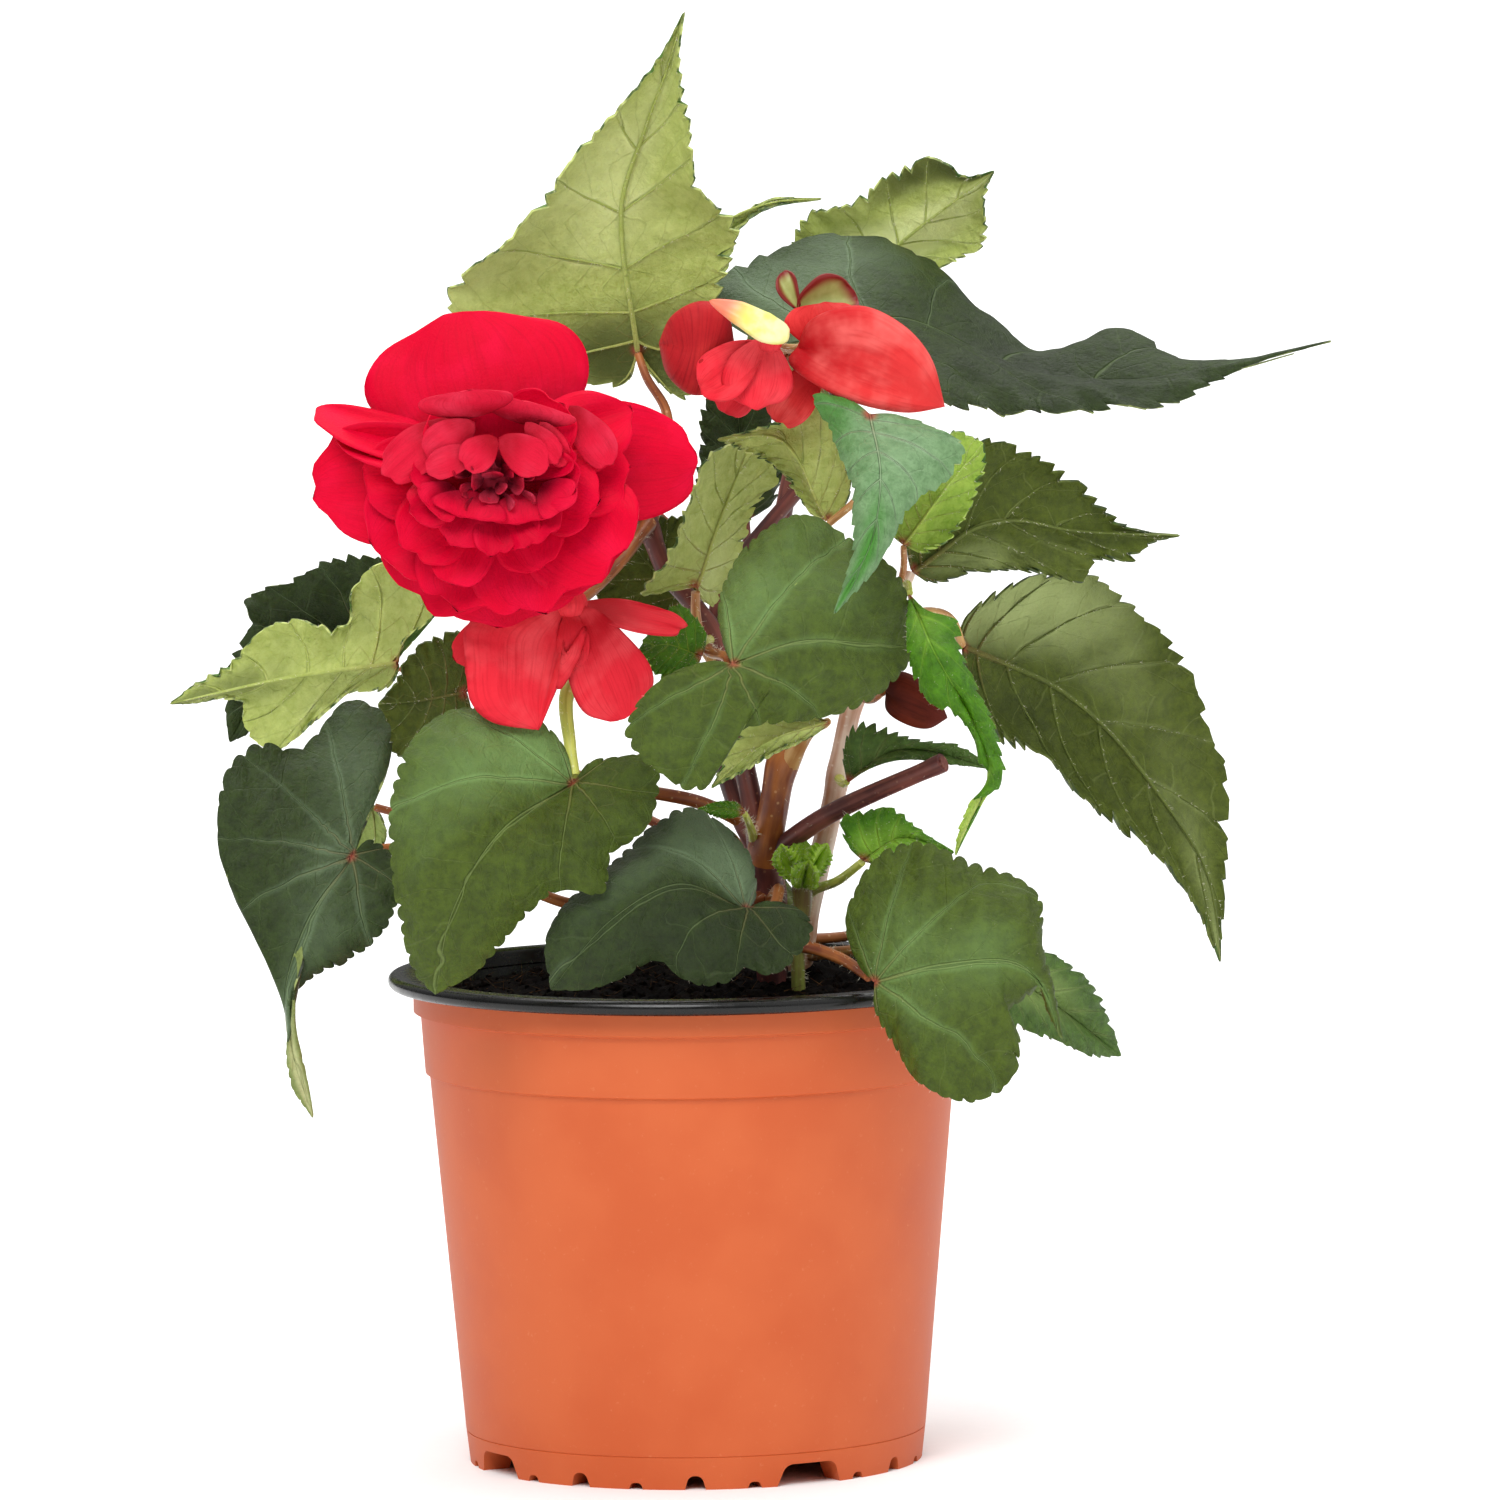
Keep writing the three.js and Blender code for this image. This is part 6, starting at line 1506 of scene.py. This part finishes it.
def stem_piece(name, branches, stands_for):
    """A stem with its branches and leaf stalks, and where its hairs stand."""
    bm = new_mesh()
    swelling = joint_swelling(branches)
    hairs = []
    for path, radii, finish in branches:
        line = SmoothLine(path)
        thick = [radius * 0.95 for radius in radii]
        add_tube(bm, line, thick, sides=14 if thick[0] > 1.75 else 10, step=1.1,
                 material=STEM_ORDER.index(finish), swelling=swelling)
        hairs += stalk_hairs(line, thick, finish)
    bmesh.ops.recalc_face_normals(bm, faces=bm.faces)
    finish_piece(name, bm, [stem_looks[key] for key in STEM_ORDER], stands_for, corners=50)
    return hairs


def stalk_hairs(line, radii, finish):
    """Soft hairs that stand off a stalk: many on young green ones, few on old stems."""
    hairs = []
    frames = line.frames(STALK_SAMPLES)
    for _ in range(round(line.length * HAIRS_A_MM[finish])):
        share = rng.random()
        centre, side, top, ahead = frames[round(share * STALK_SAMPLES)]
        angle = rng.uniform(0, math.tau)
        away = side * math.cos(angle) + top * math.sin(angle)
        foot = line.at(share) + away * through(radii, share) * 0.9
        lean = away + ahead * rng.uniform(-0.5, 0.5)
        hairs.append(hair_placement(foot, lean, rng.uniform(0.7, 1.9)))
    return hairs


# Petals and buds

def petal_breadth(s, blunt):
    """From 0 at the foot to 1 where the petal is broadest, and back to 0 at the tip."""
    rise = 0.6
    share = rise / (rise + blunt / 2)
    most = share ** (rise / blunt) * math.sqrt(1 - share)
    return s ** rise * math.sqrt(max(0, 1 - s ** blunt)) / most


def petal_surface(shape):
    """place(across, along) of a rounded petal that leans and curls towards the front."""
    given = {**PETAL_DEFAULTS, **shape}
    turn, tilt = math.radians(given["turn"]), math.radians(given["tilt"])
    front = Vector((0, -1, 0))
    along_way = Vector((math.sin(turn), 0, math.cos(turn)))
    across_way = Vector((math.cos(turn), 0, -math.sin(turn))) * math.cos(tilt) + front * math.sin(tilt)
    shift = rng.uniform(0, 60)
    root = Vector(given["root"])
    soft = min(1, given["reach"] / 24)

    def place(u, v):
        across = 2 * u - 1
        s = 1 - (1 - v) ** 1.6
        breadth = petal_breadth(s, given["blunt"])
        off = across * breadth
        uneven = noise.noise(Vector((1.5 * off, 1.2 * s, shift)))
        forward = given["lean"] * s + given["cup"] * across * across * breadth
        forward += given["fold"] * (abs(across) - 0.4) * breadth
        forward += given["wave"] * s * off * off * math.sin(5 * off + 6 * s + shift)
        forward += 2.6 * soft * s * uneven - 1.1 * s ** 4
        half = breadth * given["width"] / 2 * (1 + 0.1 * noise.noise(Vector((2 * s, off, shift + 9))))
        edge = noise.noise(Vector((2.3 * off, shift, 4)))
        reach = given["reach"] * (s + 0.07 * edge * s ** 4)
        return (root + along_way * reach + across_way * (across * half + given["bend"] * s * s)
                + front * forward)

    return place


def petals_mesh(shapes, columns=18, rows=22):
    """Petals as sheets without thickness. Each look has two materials, the face and the back."""
    bm = new_mesh()
    for shape in shapes:
        verts = lay_grid(bm, columns, rows, petal_surface(shape), shape.get("look", 0) * 2)
        close_up(bm, verts)
    bm.normal_update()
    return bm


def thick_petals(bm):
    """The petals with their thickness; the back of each keeps the next material."""
    return solidified(bm, PETAL_THICKNESS, 2)


def add_plump(bm, shape, columns=28, rows=40, crease=0.25):
    """A closed bud: the two sides of a leaf shape blown apart, creased where its petals meet."""
    blade = Blade({**shape, "quilt": 0, "ruffle": 0, "tooth": 0, "dome": 0})

    def place(u, along):
        angle = math.tau * u
        fill = math.sqrt(max(0, math.sin(math.pi * along)))
        side = round(math.sin(angle), 6)
        furrow = crease * math.exp(-(side / FURROW_WIDTH) ** 2)
        spot = blade.place(math.cos(angle) * (1 - 0.04 * furrow), along)
        return spot + blade.up * (blade.plump * side + BUD_SKIN * np.sign(side)) * fill

    close_up(bm, lay_grid(bm, columns, rows, place), 0.01)


def add_ball(bm, core, material):
    """The small heart that the petals grow from, hidden between them."""
    place = Matrix.Translation(core["centre"]) @ Matrix.Diagonal((*core["radii"], 1))
    made = bmesh.ops.create_uvsphere(
        bm, u_segments=18, v_segments=12, radius=1, matrix=place, calc_uvs=True)
    for face in {face for vert in made["verts"] for face in vert.link_faces}:
        face.material_index = material


def bloom_petal(shape, look):
    """A petal of the large bloom, told from the bloom's middle."""
    sideways, up = shape.get("at", (0, 0))
    return {**shape, "root": (BLOOM["x"] + sideways, -shape["front"], BLOOM["z"] + up), "look": look}


def bloom_main_piece():
    """The large double bloom: rings of petals, and folds that turn by the golden angle in its heart."""
    shapes = [bloom_petal(shape, 0) for shape in BLOOM_OUTER]
    shapes += [bloom_petal(shape, 0) for shape in BLOOM_MIDDLE]
    shapes += [bloom_petal(shape, 1) for shape in BLOOM_INNER]
    shapes += [bloom_petal(shape, 2) for shape in BLOOM_FOLDED]
    for i in range(HEART_FOLDS):
        turn = GOLDEN_ANGLE * i
        away = 0.9 * math.sqrt(i)
        foot = (1.5 * away * math.sin(math.radians(turn)) - 1, away * math.cos(math.radians(turn)) - 1)
        fold = dict(at=foot, turn=turn, front=75, reach=1.8 + 0.25 * i, width=4.6, lean=6 - 0.1 * i)
        tilt = 50 * math.sin(math.radians(2 * turn))
        shapes.append(bloom_petal({**fold, "tilt": tilt, "fold": 1.8}, 3))
    bm = thick_petals(petals_mesh(shapes))
    add_ball(bm, BLOOM["core"], 6)
    names = ("outer", "back", "inner", "inner_back", "back", "outer", "heart", "heart")
    looks = [petal_looks[name] for name in names]
    finish_piece("bloom_main_fine", bm, looks, ["bloom_main"], corners=180)


def bloom_low_piece():
    """The open lower flower. Its broad left petal is given by its own outline, as a leaf is."""
    bm = petals_mesh(LOW_PETALS)
    blade = Blade({**LOW_SIDE_PETAL, "tooth": 0, "quilt": 0.2, "ruffle": 0.6, "crumple": 0.8})
    close_up(bm, lay_grid(bm, 18, 36, lambda u, v: blade.place(2 * u - 1, v)))
    bm = thick_petals(bm)
    add_ball(bm, LOW_CORE, 0)
    looks = [petal_looks["rosy"], petal_looks["rosy"]]
    finish_piece("bloom_low_fine", bm, looks, ["bloom_low"], corners=180)


def bud_piece(name, shape, petals, look):
    """A closed bud with the loose petals that lie on it."""
    bm = thick_petals(petals_mesh(petals)) if petals else new_mesh()
    add_plump(bm, shape)
    looks = [petal_looks[look], petal_looks[look]]
    finish_piece(f"{name}_fine", bm, looks, [name], corners=180)


def bloom_small_piece():
    """The small half-open flower."""
    bm = thick_petals(petals_mesh(BLOOM_SMALL))
    add_ball(bm, SMALL_CORE, 0)
    looks = [petal_looks["rosy"], petal_looks["inner"]]
    finish_piece("bloom_small_fine", bm, looks, ["bloom_small"], corners=180)


def ovary_piece():
    """The ovary behind the small flower: three soft wings run along it."""
    bm = new_mesh()
    line = SmoothLine(OVARY["path"])
    rows = 26
    frames = line.frames(rows)

    def place(u, v):
        centre, side, top, _ = frames[round(v * rows)]
        angle = math.tau * u
        ends = math.sqrt(max(0, 1 - (2 * v - 1) ** 6))
        radius = through(OVARY["radii"], v) * (0.9 + 0.16 * math.cos(3 * angle)) * ends
        return centre + (side * math.cos(angle) + top * math.sin(angle)) * radius

    close_up(bm, lay_grid(bm, 30, rows, place))
    bmesh.ops.recalc_face_normals(bm, faces=bm.faces)
    finish_piece("ovary_fine", bm, [ovary_skin()], ["ovary"], corners=80)


def bracts_piece():
    """Two cupped bracts above the buds."""
    bm = thick_petals(petals_mesh(BRACTS, 12, 16))
    looks = [bract_skin()] * 2
    finish_piece("bracts_fine", bm, looks, ["bracts"], corners=180)


def shoot_piece():
    """The young shoot: a hairy stalk and its first crumpled leaves."""
    blades = [Blade({**SHOOT_LEAF, **leaf}) for leaf in SHOOT_LEAVES]
    bm = new_mesh()
    hairs = []
    for blade in blades:
        close_up(bm, lay_grid(bm, 14, blade.rows, lambda u, v: blade.place(2 * u - 1, v)))
        hairs += margin_hairs(blade) + face_hairs(blade)
    bm.normal_update()
    bm = thick_petals(bm)
    line = SmoothLine(SHOOT_STALK["path"])
    add_tube(bm, line, SHOOT_STALK["radii"], sides=12, step=0.9, material=2)
    looks = [stem_looks["tuft"], stem_looks["tuft"], stem_looks["young"]]
    finish_piece("shoot_young_fine", bm, looks, ["shoot_young"])
    return hairs + stalk_hairs(line, SHOOT_STALK["radii"], "young")


# Pot

def spun(bm, profile, steps):
    """Turns a closed or open outline of (radius, height) points once round the upright axis."""
    verts = [bm.verts.new((radius, 0, height)) for radius, height in profile]
    edges = [bm.edges.new(pair) for pair in zip(verts, verts[1:])]
    bmesh.ops.spin(bm, geom=verts + edges, axis=(0, 0, 1), cent=(0, 0, 0), angle=math.tau, steps=steps,
                   use_merge=True)
    bmesh.ops.remove_doubles(bm, verts=bm.verts, dist=0.001)
    bmesh.ops.recalc_face_normals(bm, faces=bm.faces)


def inner_radius(height):
    """The inside of the pot wall at a height."""
    radii = [radius - POT_WALL for radius in FOLLOWED_RADII]
    return float(np.interp(height, INNER_HEIGHTS, radii))


def foot_cut_at(degrees):
    """Which cut the foot ring has here."""
    if (degrees - FIRST_ARCH) % ARCH_SPACING == 0:
        return ARCH
    return NOTCH if degrees % NOTCH_SPACING == 0 else NICK


def add_foot_cutter(bm, degrees):
    """A wedge across the foot ring with its two upper edges rounded."""
    cut = foot_cut_at(degrees)
    half_bottom = BASE_RADIUS * math.radians(cut["half_bottom"])
    half_top = BASE_RADIUS * math.radians(cut["half_top"])
    depth = FOOT_RING + CUT_INSIDE + CUT_OUTSIDE
    middle = BASE_RADIUS - FOOT_RING - CUT_INSIDE + depth / 2
    made = bmesh.ops.create_cube(bm, size=1)
    bmesh.ops.scale(bm, verts=made["verts"], vec=(2 * half_bottom, depth, cut["height"] + CUT_BELOW))
    upper = [vert for vert in made["verts"] if vert.co.z > 0]
    bmesh.ops.scale(bm, verts=upper, vec=(half_top / half_bottom, 1, 1))
    ridges = [edge for edge in bm.edges if set(edge.verts) <= set(upper)
              and abs(edge.verts[0].co.y - edge.verts[1].co.y) > FOOT_RING]
    bmesh.ops.translate(bm, verts=made["verts"], vec=(0, -middle, (cut["height"] - CUT_BELOW) / 2))
    about = Matrix.Rotation(math.radians(degrees), 3, "Z")
    bmesh.ops.rotate(bm, verts=made["verts"], cent=(0, 0, 0), matrix=about)
    bmesh.ops.bevel(bm, geom=ridges, offset=cut["rounding"], segments=4, profile=0.5, affect="EDGES",
                    material=-1)


def add_pot_cutters(bm):
    """Wedges that cut the arches, notches and nicks into the foot, and pins for the drain holes."""
    for degrees in range(-180, 180, CUT_SPACING):
        add_foot_cutter(bm, degrees)
    for i in range(DRAIN_COUNT):
        angle = math.tau * (i + 0.5) / DRAIN_COUNT
        out = Vector((math.cos(angle), math.sin(angle), 0)) * DRAIN_CIRCLE
        spot = Matrix.Translation(out + Vector((0, 0, FLOOR_TOP)))
        bmesh.ops.create_cone(bm, cap_ends=True, segments=28, radius1=DRAIN_RADIUS,
                              radius2=DRAIN_RADIUS, depth=10, matrix=spot)


def cut_away(bm, cutters):
    """bm less the cutters."""
    body = object_from(bm, "body")
    tool = object_from(cutters, "tool")
    less = body.modifiers.new("cuts", "BOOLEAN")
    less.operation = "DIFFERENCE"
    less.solver = "EXACT"
    less.object = tool
    result = evaluated(body, tool)
    bmesh.ops.remove_doubles(result, verts=result.verts, dist=0.002)
    bmesh.ops.dissolve_degenerate(result, edges=result.edges, dist=0.002)
    return result


def guarded(profile):
    """The outline with two more points in each long stretch, near its ends."""
    points = [profile[0]]
    for before, after in zip(profile, profile[1:]):
        start, end = Vector(before), Vector(after)
        length = (end - start).length
        if length > 4 * GUARD_REACH:
            inset = (end - start) * (GUARD_REACH / length)
            points += [tuple(start + inset), tuple(end - inset)]
        points.append(after)
    return points


def pot_wall_piece():
    """The terracotta wall with its steps, its floor and its cut foot ring."""
    groove, shoulder = GROOVE_HEIGHT, SHOULDER_HEIGHT
    profile = [
        (0, 0),
        (PAD_RADIUS, 0),
        (PAD_RADIUS + PAD_SLOPE, FLOOR_UNDERSIDE),
        (BASE_RADIUS - FOOT_RING - RING_SLOPE, FLOOR_UNDERSIDE),
        (BASE_RADIUS - FOOT_RING, 0),
        (BASE_RADIUS, 0),
        (FOOT_RADIUS, FOOT_HEIGHT),
        (FOOT_RADIUS - FOOT_LINE, FOOT_HEIGHT + FOOT_LINE),
        (FOOT_RADIUS + FOOT_LINE_FLARE, FOOT_HEIGHT + 2 * FOOT_LINE),
        (GROOVE_RADIUS, groove - STEP_RISE / 2),
        (GROOVE_RADIUS + GROOVE_DEPTH, groove + STEP_RISE / 2),
        (SHOULDER_RADIUS, shoulder - STEP_RISE / 2),
        (BAND_RADIUS, shoulder + STEP_RISE / 2),
        (BAND_RADIUS, WALL_TOP),
        *[(inner_radius(height), height) for height in reversed(INNER_HEIGHTS)],
        (FOOT_RADIUS - FLOOR_CORNER, FLOOR_TOP),
        (0, FLOOR_TOP),
    ]
    bm = new_mesh()
    spun(bm, guarded(profile), POT_STEPS)
    cutters = bmesh.new()
    add_pot_cutters(cutters)
    bm = cut_away(bm, cutters)
    looks = [terracotta_polypropylene()]
    finish_piece("pot_wall_fine", bm, looks, ["pot_wall"], corners=32)


def pot_rim_piece():
    """The rolled black lip with its short inner skirt; its edge is a half round."""
    skirt_outer = BAND_RADIUS - POT_WALL - LIP_CLEARANCE
    half = (POT_HEIGHT - WALL_TOP) / 2
    roll = []
    for degrees in range(-90, 91, ROLL_TURN):
        angle = math.radians(degrees)
        roll.append((RIM_RADIUS - half + half * math.cos(angle), WALL_TOP + half + half * math.sin(angle)))
    profile = [
        (skirt_outer, SKIRT_BOTTOM),
        (skirt_outer, WALL_TOP),
        *roll,
        (LIP_INNER + LIP_BEND, POT_HEIGHT),
        (LIP_INNER + LIP_BEVEL, POT_HEIGHT - LIP_BEVEL),
        (LIP_INNER, POT_HEIGHT - LIP_BEND),
        (skirt_outer - SKIRT_THICKNESS, SKIRT_BOTTOM),
        (skirt_outer, SKIRT_BOTTOM),
    ]
    bm = new_mesh()
    spun(bm, profile, POT_STEPS)
    looks = [black_polypropylene()]
    finish_piece("pot_rim_fine", bm, looks, ["pot_rim"], corners=40)


# Soil

def soil_lift(x, y):
    """How far the soil stands above its level: a dome with the mound, lumps and crumbs, flat at the wall."""
    radius = math.hypot(x, y)
    from_mound = math.hypot(x - MOUND["x"], y - MOUND["y"]) / MOUND["radius"]
    mound = MOUND["height"] * math.exp(-from_mound * from_mound)
    lump = 0.9 * math.sin(0.43 * x + 1.7 * math.sin(0.31 * y)) * math.cos(0.37 * y + 0.21 * x)
    spot = Vector((x, y, 0))
    crumb = 0.75 * noise.fractal(spot * 0.33, 0.9, 2.1, 5) + 0.5 * noise.cell(spot * 0.45)
    fade = smooth_step(SOIL_FLAT_FROM, SOIL_UNEVEN_FROM, radius)
    dome = (SOIL_MIDDLE - SOIL_LEVEL) * (1 - radius / SOIL_DOME_RADIUS)
    return fade * (lump + mound + dome) + crumb * min(1, fade + 0.35) - 0.3


def soil_piece():
    """The block of peat that fills the pot, its top in fine rings that are lifted into mound and crumbs."""
    below = [height for height in INNER_HEIGHTS if height < SHOULDER_HEIGHT]
    profile = [(0, FLOOR_TOP), (FOOT_RADIUS - FLOOR_CORNER - SOIL_BEVEL, FLOOR_TOP)]
    profile += [(inner_radius(height) - SOIL_GAP, height) for height in below]
    profile += [(SOIL_EDGE, SOIL_LEVEL - SOIL_BEVEL)]
    profile += [((SOIL_EDGE - SOIL_INSET) * (1 - i / SOIL_RINGS), SOIL_LEVEL) for i in range(SOIL_RINGS + 1)]
    bm = new_mesh()
    spun(bm, profile, SOIL_STEPS)
    for vert in bm.verts:
        if vert.co.z > SOIL_LEVEL - 0.1:
            vert.co.z += soil_lift(vert.co.x, vert.co.y)
    finish_piece("soil_fine", bm, [peat("peat", "040202", "140c07")], ["soil"], corners=180)


def soil_spot():
    """Somewhere on the soil."""
    radius = SOIL_EDGE * 0.97 * math.sqrt(rng.random())
    angle = rng.uniform(0, math.tau)
    x, y = radius * math.cos(angle), radius * math.sin(angle)
    return Vector((x, y, SOIL_LEVEL + soil_lift(x, y)))


def any_turn():
    angle = rng.uniform(0, math.tau)
    return Matrix.Rotation(angle, 4, Vector([rng.uniform(-1, 1) for _ in range(3)]).normalized())


def crumb(bm):
    """An uneven lump, one high."""
    bmesh.ops.create_icosphere(bm, subdivisions=1, radius=0.5, matrix=Matrix.Translation((0, 0, 0.5)))
    for vert in bm.verts:
        vert.co += Vector([rng.uniform(-0.1, 0.1) for _ in range(3)])


def soil_crumbs_piece():
    """Loose crumbs of peat, half sunk in the soil."""
    down = Matrix.Translation((0, 0, -0.5))
    crumbs = []
    for _ in range(CRUMB_COUNT):
        size = rng.choice((0.6, 0.8, 1, 1.3, 1.8, 2.4))
        shape = Matrix.Diagonal((size, size * rng.uniform(0.6, 1), size * rng.uniform(0.5, 0.9), 1))
        crumbs.append(Matrix.Translation(soil_spot()) @ any_turn() @ shape @ down)
    bm = scatter(crumb, crumbs)
    finish_piece("soil_crumbs", bm, [peat("peat_crumbs", "060403", "20150e")], corners=25)


def soil_fibres_piece():
    """Short brown root and peat fibres on the soil."""
    fibres = []
    for _ in range(FIBRE_COUNT):
        lean = (rng.uniform(-1, 1), rng.uniform(-1, 1), rng.uniform(0, 0.5))
        foot = soil_spot() + Vector((0, 0, 0.15))
        fibres.append(hair_placement(foot, lean, rng.uniform(2, 6), FIBRE_RADIUS))
    bm = scatter(spike, fibres)
    finish_piece("soil_fibres", bm, [peat("peat_fibre", "2c1c10", "6e5032")])


# Studio

def add_camera():
    """Looks slightly down at the plant from the front; up is turned by the photograph's roll."""
    tilt, roll = math.radians(CAMERA_ELEVATION), math.radians(CAMERA_ROLL)
    back = Vector((0, -math.cos(tilt), math.sin(tilt)))
    level_up = Vector((0, math.sin(tilt), math.cos(tilt)))
    right = Vector((1, 0, 0)) * math.cos(roll) - level_up * math.sin(roll)
    up = back.cross(right)
    turn = Matrix((right, up, back)).transposed().to_4x4()
    data = bpy.data.cameras.new("camera")
    data.sensor_width = SENSOR_WIDTH
    data.lens = LENS
    camera = bpy.data.objects.new("camera", data)
    camera.matrix_world = Matrix.Translation(Vector(CAMERA_TARGET) + back * CAMERA_DISTANCE) @ turn
    bpy.context.scene.collection.objects.link(camera)
    bpy.context.scene.camera = camera


def add_sun(name, azimuth, elevation, strength, spread_degrees):
    """A broad soft light."""
    data = bpy.data.lights.new(name, "SUN")
    data.energy = strength
    data.angle = math.radians(spread_degrees)
    light = bpy.data.objects.new(name, data)
    a, e = math.radians(azimuth), math.radians(elevation)
    towards = Vector((math.sin(a) * math.cos(e), -math.cos(a) * math.cos(e), math.sin(e)))
    light.rotation_euler = towards.to_track_quat("Z", "Y").to_euler()
    bpy.context.scene.collection.objects.link(light)


def add_sky():
    """White light from all sides, stronger from above."""
    world = bpy.data.worlds.new("studio")
    world.use_nodes = True
    tree = world.node_tree
    sky = tree.nodes["Background"]
    sky.inputs["Color"].default_value = (1, 1, 1, 1)
    upwards = add_node(tree, "SeparateXYZ", {"Vector": add_node(tree, "TexCoord")}, "Z")
    strength = add_node(tree, "MapRange", [upwards, 0, 0.9, LOW_SKY, HIGH_SKY])
    tree.links.new(strength, sky.inputs["Strength"])
    bpy.context.scene.world = world


def add_paper():
    """A large sheet of white paper under the pot."""
    bm = new_mesh()
    bmesh.ops.create_grid(bm, x_segments=1, y_segments=1, size=PAPER_HALF_METRES)
    floor = object_from(bm, "floor")
    floor.data.materials.append(studio_paper())


# The scene

add_camera()
add_sky()
for sun in SUNS:
    add_sun(**sun)
add_paper()
bpy.context.scene.view_settings.view_transform = "Standard"

leaf_looks = {finish: leaf_materials(finish) for finish in LEAF_FINISHES}
stem_looks = dict(
    dark=stem_skin("dark_stem_skin", "48282a", "844a42", "ae7c66"),
    red=stem_skin("red_stem_skin", "743822", "b06a34", "d6a674"),
    tan=stem_skin("tan_stem_skin", "a86a3c", "cfa468", "ecdcae"),
    pale=stem_skin("pale_stem_skin", "be886a", "ecd6c4", "f8eee0"),
    green=stem_skin("green_stem_skin", "a2ae48", "cdd266", "e8eab0"),
    young=stem_skin("young_stem_skin", "6f5a3a", "95a04c", "cfd494"),
    tuft=stem_skin("tuft_leaf_skin", "6f9a1c", "a4cc38", "d8ea8c"),
    pith=stem_skin("cut_pith", "5c2b25", "8a5548", "b98a74"),
)
# shade_to is how far out from its foot a petal's painted shade reaches. The heart's folds and ball are
# painted dark nearly all over, as shade deep in the bloom, and the inner petals' painted shade reaches
# further than the outer ones'.
petal_looks = dict(
    outer=petal_skin("petal_velvet", "86001a", "d0002a", "e00c3a", 0.2, shade_to=0.45),
    back=petal_skin("petal_back", "98061a", "cc1634", "d83650", 0.35),
    inner=petal_skin("inner_petal_velvet", "78001a", "c6002a", "dc163c", 0.25, shade_to=0.6),
    inner_back=petal_skin("inner_petal_back", "7a0414", "c0142e", "d83048", 0.35, shade_to=0.8),
    heart=petal_skin("shaded_heart_petal_velvet", "4a000e", "a80c28", "c43c54", 0.4, shade_to=0.9),
    rosy=petal_skin("rosy_petal_velvet", "ac0c1a", "de2a38", "ea5258", 0.4),
    bud=petal_skin("bud_skin", "760e16", "a81e24", "bc302e", 0.6, grain=(3, 34, 1)),
    clam=petal_skin("clam_bud_skin", "a80c16", "d63636", "ea6e68", 0.4, grain=(40, 3, 1), shade_to=0.6),
    dark_bud=petal_skin("dark_bud_skin", "2e0d08", "541c12", "6c2c18", 0.5),
)

pot_wall_piece()
pot_rim_piece()
soil_piece()
soil_crumbs_piece()
soil_fibres_piece()

stem_hairs = stem_piece("stem_main_fine", MAIN_STEM, ["stem_main"])
stem_hairs += stem_piece("stem_pale_fine", PALE_STEM, ["stem_pale"])
stem_hairs += stem_piece("stem_back_fine", BACK_STEM, ["stem_back"])
stem_hairs += shoot_piece()

leaf_hairs = []
for leaf in LEAVES:
    leaf_hairs += leaf_piece(leaf)

bloom_main_piece()
bloom_low_piece()
bloom_small_piece()
bud_piece("bud_left", BUD_LEFT, [], "bud")
bud_piece("bud_right", BUD_RIGHT, BUD_RIGHT_PETALS, "clam")
bud_piece("bud_low", BUD_LOW, [], "dark_bud")
ovary_piece()
bracts_piece()

hair = plant_hair()
finish_piece("stem_hairs", scatter(spike, stem_hairs), [hair])
finish_piece("leaf_hairs", scatter(spike, leaf_hairs), [hair])

bpy.context.view_layer.update()
